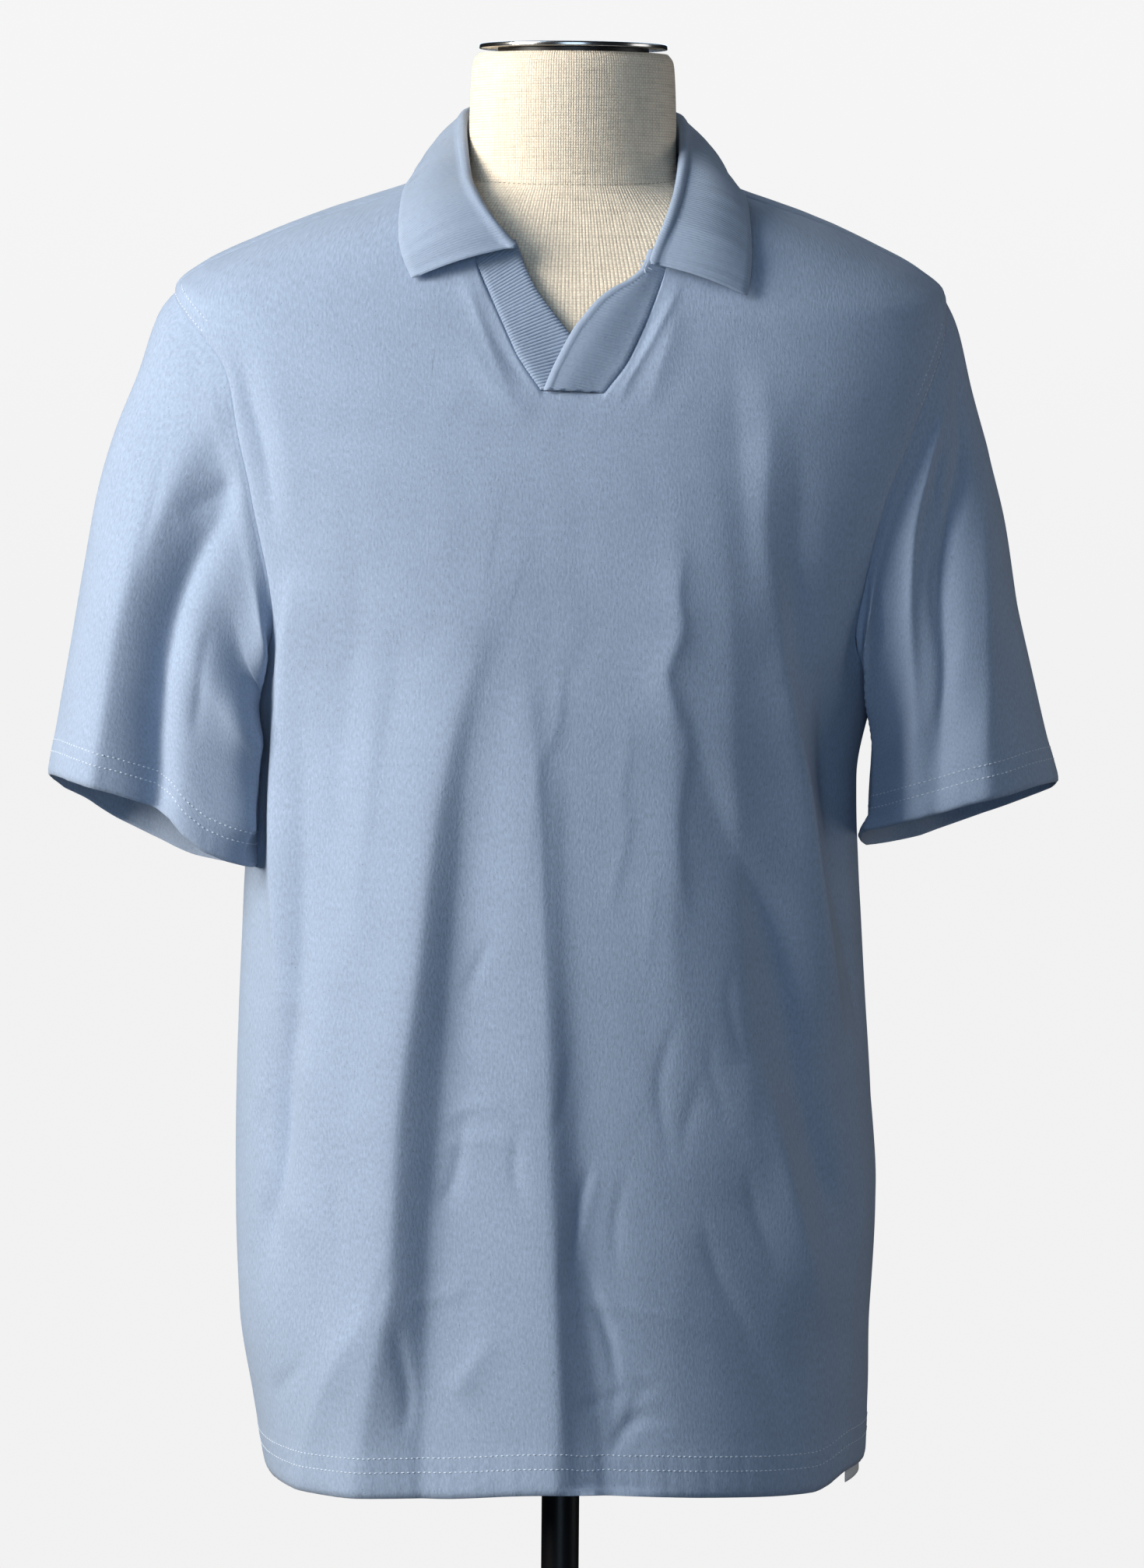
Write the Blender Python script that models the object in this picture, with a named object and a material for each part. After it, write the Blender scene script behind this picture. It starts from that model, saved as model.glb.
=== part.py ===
"""A short-sleeved jersey polo shirt with an open rib collar, worn on a limbless linen dress form on a pole.

Metres, +Z up, the shirt's front faces -Y and +X is the wearer's left. The origin is the centre of the foot's
underside. The shirt is a thin wall of cloth over rings: level superellipses whose half width and depths are set
by height. A point of the body lies at a ring height and an angle, 0 at the wearer's left side, 90 degrees at the
centre of the front, 180 at the right side and 270 at the centre of the back.
"""

import math

import bpy
import numpy as np

# ---- cloth
JERSEY_WALL = 0.0015
RIB_WALL = 0.0020
SEAM_PULL = 0.00020  # each piece stops this far short of the seam line
CREASE_PULL = 4.0  # how many times further where two pieces meet folded flat on each other
RING_POWER = 2.3
DEEPEST_MITRE = 1.5  # the most a wall grows where two pieces meet at a sharp angle

# ---- heights
HEM_Z = 0.480
ARMPIT_Z = 0.932
TIP_Z = 1.1567  # shoulder tips, where the sleeves start
NECK_POINT_Z = 1.227  # where the shoulder seams meet the collar
LEAN_FROM_Z = 1.030  # over this height the rings start to lean, so that the shoulder seams lie forward of the top
LEAN_FULL_Z = 1.150
LEAN = 0.20

HEM_LINE_REACH = 0.14  # the hem's rise and fall fades out over this height

# ---- grids
SHOULDER_COLUMNS = 8
NECK_SHARE = {"front": 0.54, "back": 0.42}  # of the half panel's width, for the columns that end at the neck
SIDE_ROWS = 14
ARMHOLE_ROWS = 14
SLEEVE_ROWS = 12
FINE_ROWS = 80  # steps in which an edge or a column is followed before its rows are spaced out
RING_STEPS = 61
NECK_BEND = 2.4  # over 1, columns run up straight and turn in towards the neck near its edge

BODY_RINGS = (
    # height, half_width, front_depth, back_depth, centre_x, centre_y
    (0.480, 0.1745, 0.137, 0.126, 0.0026, 0.000),
    (0.520, 0.1788, 0.135, 0.123, -0.0005, 0.000),
    (0.570, 0.1832, 0.134, 0.120, -0.0044, 0.000),
    (0.640, 0.1858, 0.132, 0.117, -0.0043, 0.000),
    (0.700, 0.1838, 0.131, 0.116, -0.0062, 0.000),
    (0.790, 0.1793, 0.130, 0.115, -0.0078, 0.000),
    (0.830, 0.1774, 0.129, 0.114, -0.0081, 0.000),
    (0.880, 0.1755, 0.128, 0.114, -0.0075, 0.000),
    (0.932, 0.1810, 0.126, 0.114, -0.0035, -0.001),
    (0.990, 0.1990, 0.123, 0.114, -0.0035, -0.003),
    (1.040, 0.2160, 0.117, 0.113, -0.0040, -0.005),
    (1.080, 0.2240, 0.109, 0.110, -0.0050, -0.007),
    (1.120, 0.2258, 0.098, 0.104, -0.0060, -0.010),
    (1.1567, 0.2215, 0.085, 0.097, -0.0065, -0.010),
    (1.1687, 0.2080, 0.079, 0.093, -0.0060, -0.010),
    (1.1828, 0.1800, 0.072, 0.088, -0.0045, -0.010),
    (1.1955, 0.1505, 0.065, 0.082, -0.0030, -0.010),
    (1.2148, 0.0935, 0.054, 0.072, -0.0010, -0.010),
    (1.227, 0.0630, 0.046, 0.064, 0.0, -0.010),
)

HEM_LINE = (
    # angle, rise of the hem over its level
    (-90.0, -0.001),
    (-40.0, 0.000),
    (0.0, 0.005),
    (22.0, 0.004),
    (38.0, -0.004),
    (65.0, -0.001),
    (90.0, 0.002),
    (112.0, -0.003),
    (150.0, -0.006),
    (180.0, -0.003),
    (220.0, 0.000),
    (270.0, -0.001),
)

# The V of the front panel and the neckline up to the shoulder seam, by column from the centre out.
FRONT_NECK_LEFT = (
    # x, height
    (0.0010, 1.1000),
    (0.0186, 1.0993),
    (0.0310, 1.1160),
    (0.0430, 1.1420),
    (0.0530, 1.1690),
    (0.0575, 1.1980),
    (0.0602, 1.2121),
    (0.0624, 1.2214),
)
FRONT_NECK_RIGHT = (
    # x, height
    (0.0010, 1.1000),
    (-0.0162, 1.1004),
    (-0.0300, 1.1210),
    (-0.0422, 1.1467),
    (-0.0533, 1.1717),
    (-0.0575, 1.1990),
    (-0.0602, 1.2121),
    (-0.0624, 1.2214),
)
BACK_NECK = (
    # x, height on its ring
    (0.0, 1.2180),
    (0.0200, 1.2183),
    (0.0380, 1.2197),
    (0.0520, 1.2218),
    (0.0605, 1.2248),
)

ARMHOLE_FRONT_LEFT = (
    # height, angle from the side
    (0.932, 0.0),
    (0.941, 17.0),
    (0.958, 28.5),
    (0.990, 32.2),
    (1.039, 33.7),
    (1.088, 27.6),
    (1.123, 17.7),
    (1.145, 7.5),
    (1.1567, 0.0),
)
ARMHOLE_FRONT_RIGHT = (
    # height, angle from the side
    (0.932, 0.0),
    (0.941, 17.0),
    (0.955, 28.6),
    (0.980, 34.3),
    (1.039, 37.3),
    (1.085, 37.0),
    (1.125, 33.7),
    (1.146, 19.0),
    (1.1567, 0.0),
)
ARMHOLE_BACK = (
    # height, angle from the side
    (0.932, 0.0),
    (0.941, 16.0),
    (0.956, 27.0),
    (0.985, 31.0),
    (1.040, 31.0),
    (1.090, 27.5),
    (1.125, 19.5),
    (1.146, 9.0),
    (1.1567, 0.0),
)

SLEEVE_LEFT_SECTIONS = (
    # along, outer_x, outer_z, inner_x, inner_z, half_depth, centre_y, lean_y
    (0.00, 0.2150, 1.1567, 0.1775, 0.932, 0.076, -0.006, 0.00),
    (0.07, 0.2225, 1.1410, 0.1788, 0.927, 0.074, -0.006, 0.00),
    (0.19, 0.2313, 1.1040, 0.1786, 0.917, 0.072, -0.007, -0.02),
    (0.33, 0.2425, 1.0630, 0.1772, 0.905, 0.070, -0.008, -0.04),
    (0.46, 0.2515, 1.0270, 0.1760, 0.894, 0.068, -0.009, -0.07),
    (0.63, 0.2600, 0.9790, 0.1748, 0.879, 0.066, -0.010, -0.10),
    (0.76, 0.2685, 0.9426, 0.1742, 0.868, 0.064, -0.011, -0.13),
    (0.89, 0.2770, 0.9068, 0.1738, 0.857, 0.063, -0.012, -0.15),
    (1.00, 0.2850, 0.8780, 0.1735, 0.8476, 0.062, -0.012, -0.16),
)
SLEEVE_RIGHT_SECTIONS = (
    # along, outer_x, outer_z, inner_x, inner_z, half_depth, centre_y, lean_y
    (0.00, -0.2280, 1.1567, -0.1845, 0.932, 0.076, -0.006, 0.00),
    (0.06, -0.2374, 1.1441, -0.1872, 0.926, 0.074, -0.006, 0.00),
    (0.20, -0.2501, 1.1066, -0.1889, 0.914, 0.072, -0.007, -0.02),
    (0.31, -0.2620, 1.0755, -0.1891, 0.903, 0.070, -0.008, -0.04),
    (0.43, -0.2713, 1.0417, -0.1891, 0.890, 0.068, -0.009, -0.07),
    (0.59, -0.2792, 0.9957, -0.1892, 0.873, 0.066, -0.010, -0.10),
    (0.73, -0.2860, 0.9548, -0.1892, 0.858, 0.064, -0.011, -0.13),
    (0.85, -0.2920, 0.9187, -0.1892, 0.844, 0.063, -0.012, -0.15),
    (1.00, -0.2994, 0.8760, -0.1892, 0.828, 0.062, -0.012, -0.16),
)

# Folds are soft ridges (height over 0) and troughs (under 0) along a line, with their own width on each side.
# A fold's x is where its line lies as seen square from that side of the shirt, so minus is the wearer's right.
FRONT_FOLDS = (
    # x_top, z_top, x_low, z_low, width_right, width_left, height_top, height_low
    (-0.068, 0.960, -0.107, 0.480, 0.028, 0.016, 0.0040, 0.0125),
    (-0.040, 0.920, -0.076, 0.480, 0.014, 0.015, -0.0015, -0.0050),
    (-0.012, 0.880, -0.006, 0.480, 0.024, 0.013, 0.0015, 0.0075),
    (0.008, 0.800, 0.018, 0.480, 0.012, 0.014, -0.0010, -0.0040),
    (0.055, 0.960, 0.058, 0.560, 0.020, 0.018, 0.0030, 0.0025),
    (0.072, 0.900, 0.150, 0.600, 0.016, 0.018, -0.0035, -0.0050),
    (0.112, 0.960, 0.152, 0.760, 0.016, 0.016, 0.0045, 0.0060),
    (0.120, 0.740, 0.148, 0.540, 0.016, 0.016, 0.0040, 0.0050),
    (-0.158, 0.920, -0.160, 0.700, 0.016, 0.018, 0.0040, 0.0045),
    (-0.140, 0.780, -0.160, 0.580, 0.014, 0.016, -0.0040, -0.0050),
    (0.050, 0.620, 0.056, 0.480, 0.020, 0.020, 0.0010, 0.0045),
    (-0.148, 0.600, -0.150, 0.480, 0.018, 0.018, 0.0015, 0.0050),
)
BACK_FOLDS = (
    # x_top, z_top, x_low, z_low, width_right, width_left, height_top, height_low
    (-0.110, 0.980, -0.128, 0.480, 0.020, 0.018, 0.0045, 0.0090),
    (-0.062, 0.920, -0.066, 0.480, 0.017, 0.016, -0.0020, -0.0055),
    (-0.022, 0.940, -0.014, 0.480, 0.022, 0.018, 0.0025, 0.0080),
    (0.030, 0.880, 0.032, 0.480, 0.016, 0.016, -0.0020, -0.0050),
    (0.078, 0.940, 0.086, 0.480, 0.020, 0.022, 0.0035, 0.0095),
    (0.128, 0.960, 0.142, 0.540, 0.016, 0.016, 0.0045, 0.0055),
)

SLEEVE_LEFT_FOLDS = (
    # angle_top, along_top, angle_low, along_low, width_deg, height_top, height_low
    (66.0, 0.16, 96.0, 0.98, 15.0, 0.0035, 0.0040),
    (40.0, 0.22, 52.0, 1.05, 16.0, 0.0020, 0.0045),
    (52.0, 0.18, 74.0, 1.05, 10.0, -0.0030, -0.0030),
    (128.0, 0.20, 132.0, 0.95, 16.0, -0.0040, -0.0020),
    (236.0, 0.18, 244.0, 1.05, 17.0, -0.0040, -0.0035),
    (288.0, 0.20, 280.0, 1.05, 17.0, 0.0040, 0.0040),
)
SLEEVE_RIGHT_FOLDS = (
    # angle_top, along_top, angle_low, along_low, width_deg, height_top, height_low
    (62.0, 0.30, 66.0, 1.05, 15.0, -0.0060, -0.0080),
    (92.0, 0.16, 98.0, 1.05, 16.0, 0.0040, 0.0060),
    (34.0, 0.25, 40.0, 1.05, 16.0, 0.0020, 0.0035),
    (128.0, 0.22, 134.0, 0.95, 14.0, -0.0040, -0.0030),
    (242.0, 0.20, 250.0, 1.05, 17.0, -0.0045, -0.0040),
    (286.0, 0.20, 284.0, 1.05, 17.0, 0.0040, 0.0045),
)

# ---- the open collar: base on the neckline, roll where it folds over, edge of the leaf
COLLAR_LEFT = (
    # base_x, base_y, base_z, roll_x, roll_y, roll_z, edge_x, edge_y, edge_z
    (0.0520, -0.0775, 1.1770, 0.0436, -0.0850, 1.1745, 0.0986, -0.0850, 1.1553),
    (0.0555, -0.0715, 1.1865, 0.0468, -0.0800, 1.1835, 0.1005, -0.0778, 1.1680),
    (0.0578, -0.0620, 1.2001, 0.0535, -0.0705, 1.2000, 0.1012, -0.0685, 1.1815),
    (0.0602, -0.0475, 1.2139, 0.0580, -0.0550, 1.2145, 0.1005, -0.0530, 1.1975),
    (0.0622, -0.0295, 1.2244, 0.0606, -0.0315, 1.2310, 0.0985, -0.0340, 1.2110),
    (0.0634, -0.0100, 1.2294, 0.0618, -0.0020, 1.2460, 0.0930, -0.0060, 1.2185),
    (0.0624, 0.0160, 1.2331, 0.0612, 0.0230, 1.2560, 0.0865, 0.0210, 1.2250),
    (0.0550, 0.0415, 1.2346, 0.0550, 0.0450, 1.2615, 0.0740, 0.0500, 1.2260),
    (0.0300, 0.0575, 1.2346, 0.0305, 0.0600, 1.2655, 0.0420, 0.0705, 1.2215),
)
COLLAR_BACK = (
    # base_x, base_y, base_z, roll_x, roll_y, roll_z, edge_x, edge_y, edge_z
    (0.0, 0.0612, 1.2341, 0.0, 0.0635, 1.2670, 0.0, 0.0765, 1.2195),
)
COLLAR_RIGHT = (
    # base_x, base_y, base_z, roll_x, roll_y, roll_z, edge_x, edge_y, edge_z
    (-0.0390, -0.0745, 1.1845, -0.0308, -0.0835, 1.1823, -0.0894, -0.0838, 1.1633),
    (-0.0510, -0.0700, 1.1880, -0.0431, -0.0745, 1.1960, -0.0945, -0.0765, 1.1744),
    (-0.0575, -0.0605, 1.2006, -0.0518, -0.0630, 1.2094, -0.0973, -0.0675, 1.1856),
    (-0.0602, -0.0470, 1.2139, -0.0568, -0.0450, 1.2205, -0.0975, -0.0490, 1.2020),
    (-0.0622, -0.0290, 1.2244, -0.0600, -0.0200, 1.2380, -0.0955, -0.0290, 1.2144),
    (-0.0634, -0.0100, 1.2294, -0.0616, 0.0060, 1.2520, -0.0905, -0.0040, 1.2215),
    (-0.0624, 0.0160, 1.2331, -0.0608, 0.0260, 1.2595, -0.0840, 0.0230, 1.2275),
    (-0.0550, 0.0415, 1.2346, -0.0540, 0.0460, 1.2635, -0.0725, 0.0510, 1.2275),
    (-0.0300, 0.0575, 1.2346, -0.0303, 0.0605, 1.2660, -0.0415, 0.0710, 1.2225),
)
COLLAR_COLUMNS = 42
COLLAR_STAND_ROWS = 3
COLLAR_ROLL_ROWS = 4
COLLAR_LEAF_ROWS = 6
COLLAR_ROLL_RADIUS = 0.0030
COLLAR_CLEAR = 0.0016  # least gap from the collar's middle line to the cloth under it, past half its wall
LEAF_BOW = 0.0035

# ---- the two rib strips of the V, from the top end down
PLACKET_LEFT_EDGES = (
    # outer_z, inner_x, inner_z, lift_inner
    (1.1765, 0.0440, 1.1800, 0.0012),
    (1.1682, 0.0400, 1.1700, 0.0016),
    (1.1575, 0.0327, 1.1629, 0.0022),
    (1.1460, 0.0234, 1.1575, 0.0028),
    (1.1346, 0.0152, 1.1507, 0.0034),
    (1.1245, 0.0074, 1.1414, 0.0036),
    (1.1150, 0.0013, 1.1333, 0.0036),
    (1.1065, -0.0085, 1.1146, 0.0034),
    (1.1004, -0.0143, 1.1008, 0.0032),
)
PLACKET_RIGHT_EDGES = (
    # outer_z, inner_x, inner_z, lift_inner
    (1.1790, -0.0325, 1.1850, 0.0000),
    (1.1705, -0.0300, 1.1790, 0.0000),
    (1.1615, -0.0262, 1.1690, 0.0000),
    (1.1510, -0.0205, 1.1580, 0.0000),
    (1.1390, -0.0141, 1.1490, 0.0000),
    (1.1275, -0.0061, 1.1390, -0.0008),
    (1.1160, 0.0020, 1.1285, -0.0018),
    (1.1080, 0.0080, 1.1150, -0.0024),
    (1.1014, 0.0120, 1.1014, -0.0026),
)
PLACKET_CLEAR = 0.0005  # from the V's edge in the panel to the strip
PLACKET_ACROSS = 5
PLACKET_ALONG = 14

# ---- the bare label that hangs inside the left side and shows under the hem
LABEL_ANGLES = (4.0, 21.0)
LABEL_TOP_Z = 0.522
LABEL_LOW_Z = 0.4715
LABEL_THICK = 0.0010
LABEL_INSIDE = 0.0025  # from the shirt's outer face to the label's

# ---- the dress form
FORM_AROUND = 36
FORM_GAPS = (
    # height, gap from the shirt's outer face to the form
    (0.560, 0.024),
    (0.640, 0.022),
    (0.750, 0.026),
    (0.860, 0.018),
    (0.960, 0.0080),
    (1.060, 0.0065),
    (1.160, 0.0065),
    (1.227, 0.0055),
)
SHOULDER_GAP = 0.0026  # where the shirt hangs from the form, along the tops of the shoulders
SHOULDER_REST = (1.180, 1.220)  # ring heights between which it rests
SHOULDER_REST_HALF = 0.016  # how far to the front and back of the shoulder line
FORM_TOP_RING = 1.2140  # the last ring that follows the shirt
NECK_RINGS = (
    # height, half_width, front_depth, back_depth, centre_y, lean
    (1.2230, 0.0610, 0.0460, 0.0560, -0.005, 0.17),
    (1.2320, 0.0596, 0.0480, 0.0545, -0.002, 0.12),
    (1.2430, 0.0594, 0.0510, 0.0545, 0.000, 0.06),
    (1.2580, 0.0594, 0.0540, 0.0555, 0.002, 0.00),
    (1.2780, 0.0586, 0.0545, 0.0560, 0.002, 0.00),
    (1.2880, 0.0575, 0.0535, 0.0550, 0.002, 0.00),
    (1.2925, 0.0545, 0.0505, 0.0520, 0.002, 0.00),
)
FORM_BOTTOM_Z = 0.545
FORM_BOTTOM_ROUND = 0.018
FORM_ROWS = 22
PLATE_RADIUS = 0.0435
PLATE_THICK = 0.0022
CAP_RADIUS = 0.0543
CAP_THICK = 0.0026
CAP_Y = 0.002
REST_GAP = 0.0003  # between two pieces that rest on each other

POLE_RADIUS = 0.0110
POLE_INTO_FORM = 0.060
SOCKET_RADIUS = 0.0210
SOCKET_HEIGHT = 0.032
BASE_RADIUS = 0.165
BASE_THICK = 0.009
HUB_RADIUS = 0.024
HUB_HEIGHT = 0.030
ROUND_SIDES = 40

COLOURS = {
    # node: (red, green, blue, roughness, metallic)
    "jersey": (0.40, 0.47, 0.58, 0.90, 0.0),
    "rib": (0.38, 0.45, 0.56, 0.92, 0.0),
    "tab": (0.60, 0.61, 0.62, 0.80, 0.0),
    "linen": (0.72, 0.66, 0.56, 0.95, 0.0),
    "dark_metal": (0.08, 0.08, 0.08, 0.45, 0.9),
    "bright_metal": (0.75, 0.75, 0.74, 0.18, 1.0),
    "black_gloss": (0.012, 0.012, 0.013, 0.22, 0.0),
}


# ---- small helpers


def smooth(t):
    t = np.clip(t, 0.0, 1.0)
    return t * t * (3.0 - 2.0 * t)


def curve_through(table, key, at):
    """Columns of a table as smooth functions of its key column: a monotone-limited cubic through its rows."""
    rows = np.array(table, float)
    keys = rows[:, key]
    others = np.delete(rows, key, axis=1)
    at = np.clip(np.asarray(at, float), keys[0], keys[-1])
    steps = np.diff(keys)[:, None]
    slopes = np.diff(others, axis=0) / steps
    tangents = np.zeros_like(others)
    tangents[0] = slopes[0]
    tangents[-1] = slopes[-1]
    before, after = slopes[:-1], slopes[1:]
    weight = (2.0 * steps[1:] + steps[:-1], steps[1:] + 2.0 * steps[:-1])
    total = weight[0] + weight[1]
    with np.errstate(divide="ignore", invalid="ignore"):
        harmonic = total / (weight[0] / before + weight[1] / after)
    tangents[1:-1] = np.where(before * after > 0.0, harmonic, 0.0)
    span = np.clip(np.searchsorted(keys, at, side="right") - 1, 0, len(keys) - 2)
    size = steps[span, 0]
    t = (at - keys[span]) / size
    t = t[..., None]
    size = size[..., None]
    start = (1.0 + 2.0 * t) * (1.0 - t) ** 2 * others[span] + t * (1.0 - t) ** 2 * size * tangents[span]
    end = t * t * (3.0 - 2.0 * t) * others[span + 1] + t * t * (t - 1.0) * size * tangents[span + 1]
    return start + end


def smooth_path(points, count):
    """Points spaced evenly in parameter along a smooth curve through the given ones."""
    points = np.asarray(points, float)
    n = len(points)
    at = np.linspace(0.0, n - 1.0, count)
    i = np.clip(at.astype(int), 0, n - 2)
    t = (at - i)[:, None]
    padded = np.vstack([2.0 * points[0] - points[1], points, 2.0 * points[-1] - points[-2]])
    a, b, c, d = (padded[i + k] for k in range(4))
    return 0.5 * (2.0 * b + (c - a) * t + (2.0 * a - 5.0 * b + 4.0 * c - d) * t**2 + (3.0 * b - a - 3.0 * c + d) * t**3)


def by_length(points, count):
    """The same polyline with count + 1 points at equal distances along it, and where each one lies."""
    lengths = np.linalg.norm(np.diff(points, axis=0), axis=1)
    run = np.concatenate([[0.0], np.cumsum(lengths)])
    wanted = np.linspace(0.0, run[-1], count + 1)
    return np.interp(wanted, run, np.arange(len(points)))


def unit(v):
    return v / np.maximum(np.linalg.norm(v, axis=-1, keepdims=True), 1e-12)


# ---- the rings of the body


def ring_sizes(height):
    return curve_through(BODY_RINGS, 0, height)


def lean_at(height):
    return LEAN * smooth((np.asarray(height) - LEAN_FROM_Z) / (LEAN_FULL_Z - LEAN_FROM_Z))


def body_point(height, angle):
    """A point of the shirt's smooth outer face, at a ring height and an angle in radians."""
    height = np.asarray(height, float)
    sizes = ring_sizes(height)
    c, s = np.cos(angle), np.sin(angle)
    power = 2.0 / RING_POWER
    x = sizes[..., 3] + sizes[..., 0] * np.sign(c) * np.abs(c) ** power
    deep = np.where(s > 0.0, sizes[..., 1], sizes[..., 2])
    off = -deep * np.sign(s) * np.abs(s) ** power
    y = sizes[..., 4] + off
    turn = (np.degrees(angle) + 90.0) % 360.0 - 90.0
    hem = curve_through(HEM_LINE, 0, turn)[..., 0] * (1.0 - smooth((height - HEM_Z) / HEM_LINE_REACH))
    z = height + lean_at(height) * off + hem
    return np.stack(np.broadcast_arrays(x, y, z), axis=-1)


def body_normal(height, angle):
    """The outward normal of the smooth face."""
    da, dz = math.radians(0.6), 0.0012
    high = np.minimum(np.asarray(height, float) + dz, NECK_POINT_Z)
    low = np.maximum(np.asarray(height, float) - dz, HEM_Z)
    round_it = body_point(height, angle + da) - body_point(height, angle - da)
    up_it = body_point(high, angle) - body_point(low, angle)
    return unit(np.cross(up_it, round_it))


def angle_of_x(height, x, front=True):
    """The angle on a ring of a point with this x, on the front or the back."""
    sizes = ring_sizes(height)
    share = np.clip((x - sizes[..., 3]) / sizes[..., 0], -1.0, 1.0)
    c = np.sign(share) * np.abs(share) ** (RING_POWER / 2.0)
    angle = np.arccos(c)
    return angle if front else 2.0 * math.pi - angle


def ring_height_for(x, z, front=True):
    """The ring height whose point at this x stands at real height z, where the rings lean."""
    height = np.asarray(z, float) + 0.0
    for _ in range(40):
        at = body_point(height, angle_of_x(height, x, front))
        height = np.clip(height + 0.6 * (z - at[..., 2]), HEM_Z, NECK_POINT_Z)
    return height


def ring_run(height, angle):
    """How far a point lies along its ring from the centre of the front, plus towards the wearer's left."""
    angle = np.atleast_1d(angle)
    height = np.broadcast_to(np.atleast_1d(height), angle.shape)
    steps = np.linspace(0.0, 1.0, 49)
    centre = angle_of_x(height, 0.0)
    path = centre[..., None] + (angle - centre)[..., None] * steps
    points = body_point(np.repeat(height[..., None], len(steps), axis=-1), path)
    length = np.linalg.norm(np.diff(points, axis=-2), axis=-1).sum(axis=-1)
    return np.where(angle < centre, length, -length)


def half_ring(height):
    """Length along the ring from the centre of the front to the centre of the back, on the left and the right."""
    height = np.atleast_1d(height)
    back = angle_of_x(height, 0.0, front=False)
    return -ring_run(height, back), ring_run(height, back - 2.0 * math.pi)


def fold_height(height, angle):
    """How far the folds push the cloth out at each point."""
    shape = np.shape(height)
    height, angle = np.ravel(height), np.ravel(angle)
    angle = np.where(angle > math.pi * 1.5, angle - 2.0 * math.pi, angle)
    run = ring_run(height, angle)
    right_half, left_half = half_ring(height)
    from_back = np.where(run > 0.0, left_half - run, -(right_half + run))
    total = np.zeros(len(height))
    for front, folds in ((True, FRONT_FOLDS), (False, BACK_FOLDS)):
        place = run if front else from_back
        for x_top, z_top, x_low, z_low, wide_right, wide_left, rise_top, rise_low in folds:
            t = (z_top - height) / (z_top - z_low)
            x = x_top + (x_low - x_top) * np.clip(t, 0.0, 1.0)
            line = np.abs(ring_run(height, angle_of_x(height, x, True)))
            if not front:
                line = np.abs(np.where(x > 0.0, left_half, right_half))
                line = line - np.abs(ring_run(height, back_angle(height, x)))
            line = np.sign(x) * line
            off = place - line
            wide = np.where(off < 0.0, wide_right, wide_left)
            rise = rise_top + (rise_low - rise_top) * np.clip(t, 0.0, 1.0)
            fade = smooth(t / 0.22 + 0.15) * smooth((1.22 - t) / 0.22)
            if z_low <= HEM_Z:
                fade = smooth(t / 0.22 + 0.15)
            total += rise * fade * np.exp(-0.5 * (off / wide) ** 2)
    return total.reshape(shape)


def back_angle(height, x):
    """The angle of a point on the back, kept between minus 90 and 270 degrees so that a ring run to it is short."""
    angle = angle_of_x(height, x, front=False)
    return np.where(x > 0.0, angle - 2.0 * math.pi, angle)


# ---- walls


class Mesh:
    """Points and faces of one closed solid."""

    def __init__(self):
        self.points = []
        self.faces = []

    def add(self, points):
        first = sum(len(p) for p in self.points)
        self.points.append(np.asarray(points, float).reshape(-1, 3))
        return first

    def make(self, name, material):
        points = np.vstack(self.points)
        mesh = bpy.data.meshes.new(name)
        mesh.from_pydata(points.tolist(), [], self.faces)
        mesh.validate()
        mesh.update()
        mesh.materials.append(material)
        made = bpy.data.objects.new(name, mesh)
        bpy.context.scene.collection.objects.link(made)
        return made


def wall(name, outer, inner, material, ring=False):
    """A closed wall between two matching grids of points. A ring wall joins its last column to its first."""
    rows, columns = outer.shape[:2]
    mesh = Mesh()
    out = mesh.add(outer)
    within = mesh.add(inner)

    def at(first, j, i):
        return first + j * columns + i % columns

    for j in range(rows - 1):
        for i in range(columns if ring else columns - 1):
            k = (i + 1) % columns
            rising = np.linalg.norm(outer[j + 1, k] - outer[j, i])
            falling = np.linalg.norm(outer[j + 1, i] - outer[j, k])
            for first, turn in ((out, 1), (within, -1)):
                a, b, c, d = (at(first, j, i), at(first, j, k), at(first, j + 1, k), at(first, j + 1, i))
                pair = ((a, b, c), (a, c, d)) if rising < falling else ((a, b, d), (b, c, d))
                mesh.faces.extend(corner[::turn] for corner in pair)
    for i in range(columns if ring else columns - 1):
        mesh.faces.append((at(out, 0, i + 1), at(out, 0, i), at(within, 0, i), at(within, 0, i + 1)))
        last = rows - 1
        mesh.faces.append((at(out, last, i), at(out, last, i + 1), at(within, last, i + 1), at(within, last, i)))
    if not ring:
        for j in range(rows - 1):
            mesh.faces.append((at(out, j, 0), at(out, j + 1, 0), at(within, j + 1, 0), at(within, j, 0)))
            far = columns - 1
            mesh.faces.append((at(out, j + 1, far), at(out, j, far), at(within, j, far), at(within, j + 1, far)))
    return mesh.make(name, material)


def seam_side(edge, beside):
    """Directions square to an edge, towards the line of points beside it."""
    run = unit(np.gradient(edge, axis=0))
    away = beside - edge
    return unit(away - run * (away * run).sum(axis=1, keepdims=True))


def open_seams(grid, amounts):
    """The grid with its edges moved in by these amounts, each a number or one per point, so that seams stay open."""
    moved = grid.copy()
    edges = {
        "first_column": (np.s_[:, 0], np.s_[:, 1]),
        "last_column": (np.s_[:, -1], np.s_[:, -2]),
        "first_row": (np.s_[0], np.s_[1]),
        "last_row": (np.s_[-1], np.s_[-2]),
    }
    for side, amount in amounts.items():
        edge, beside = edges[side]
        amount = np.broadcast_to(amount, len(grid[edge]))
        moved[edge] += amount[:, None] * seam_side(grid[edge], grid[beside])
    return moved


def grid_normals(grid, ring=False):
    """Normals of a grid of points, facing out where columns run anticlockwise seen from outside and rows up."""
    if ring:
        across = np.roll(grid, -1, axis=1) - np.roll(grid, 1, axis=1)
    else:
        across = np.gradient(grid, axis=1)
    along = np.gradient(grid, axis=0)
    return unit(np.cross(across, along))


# ---- panels


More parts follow.
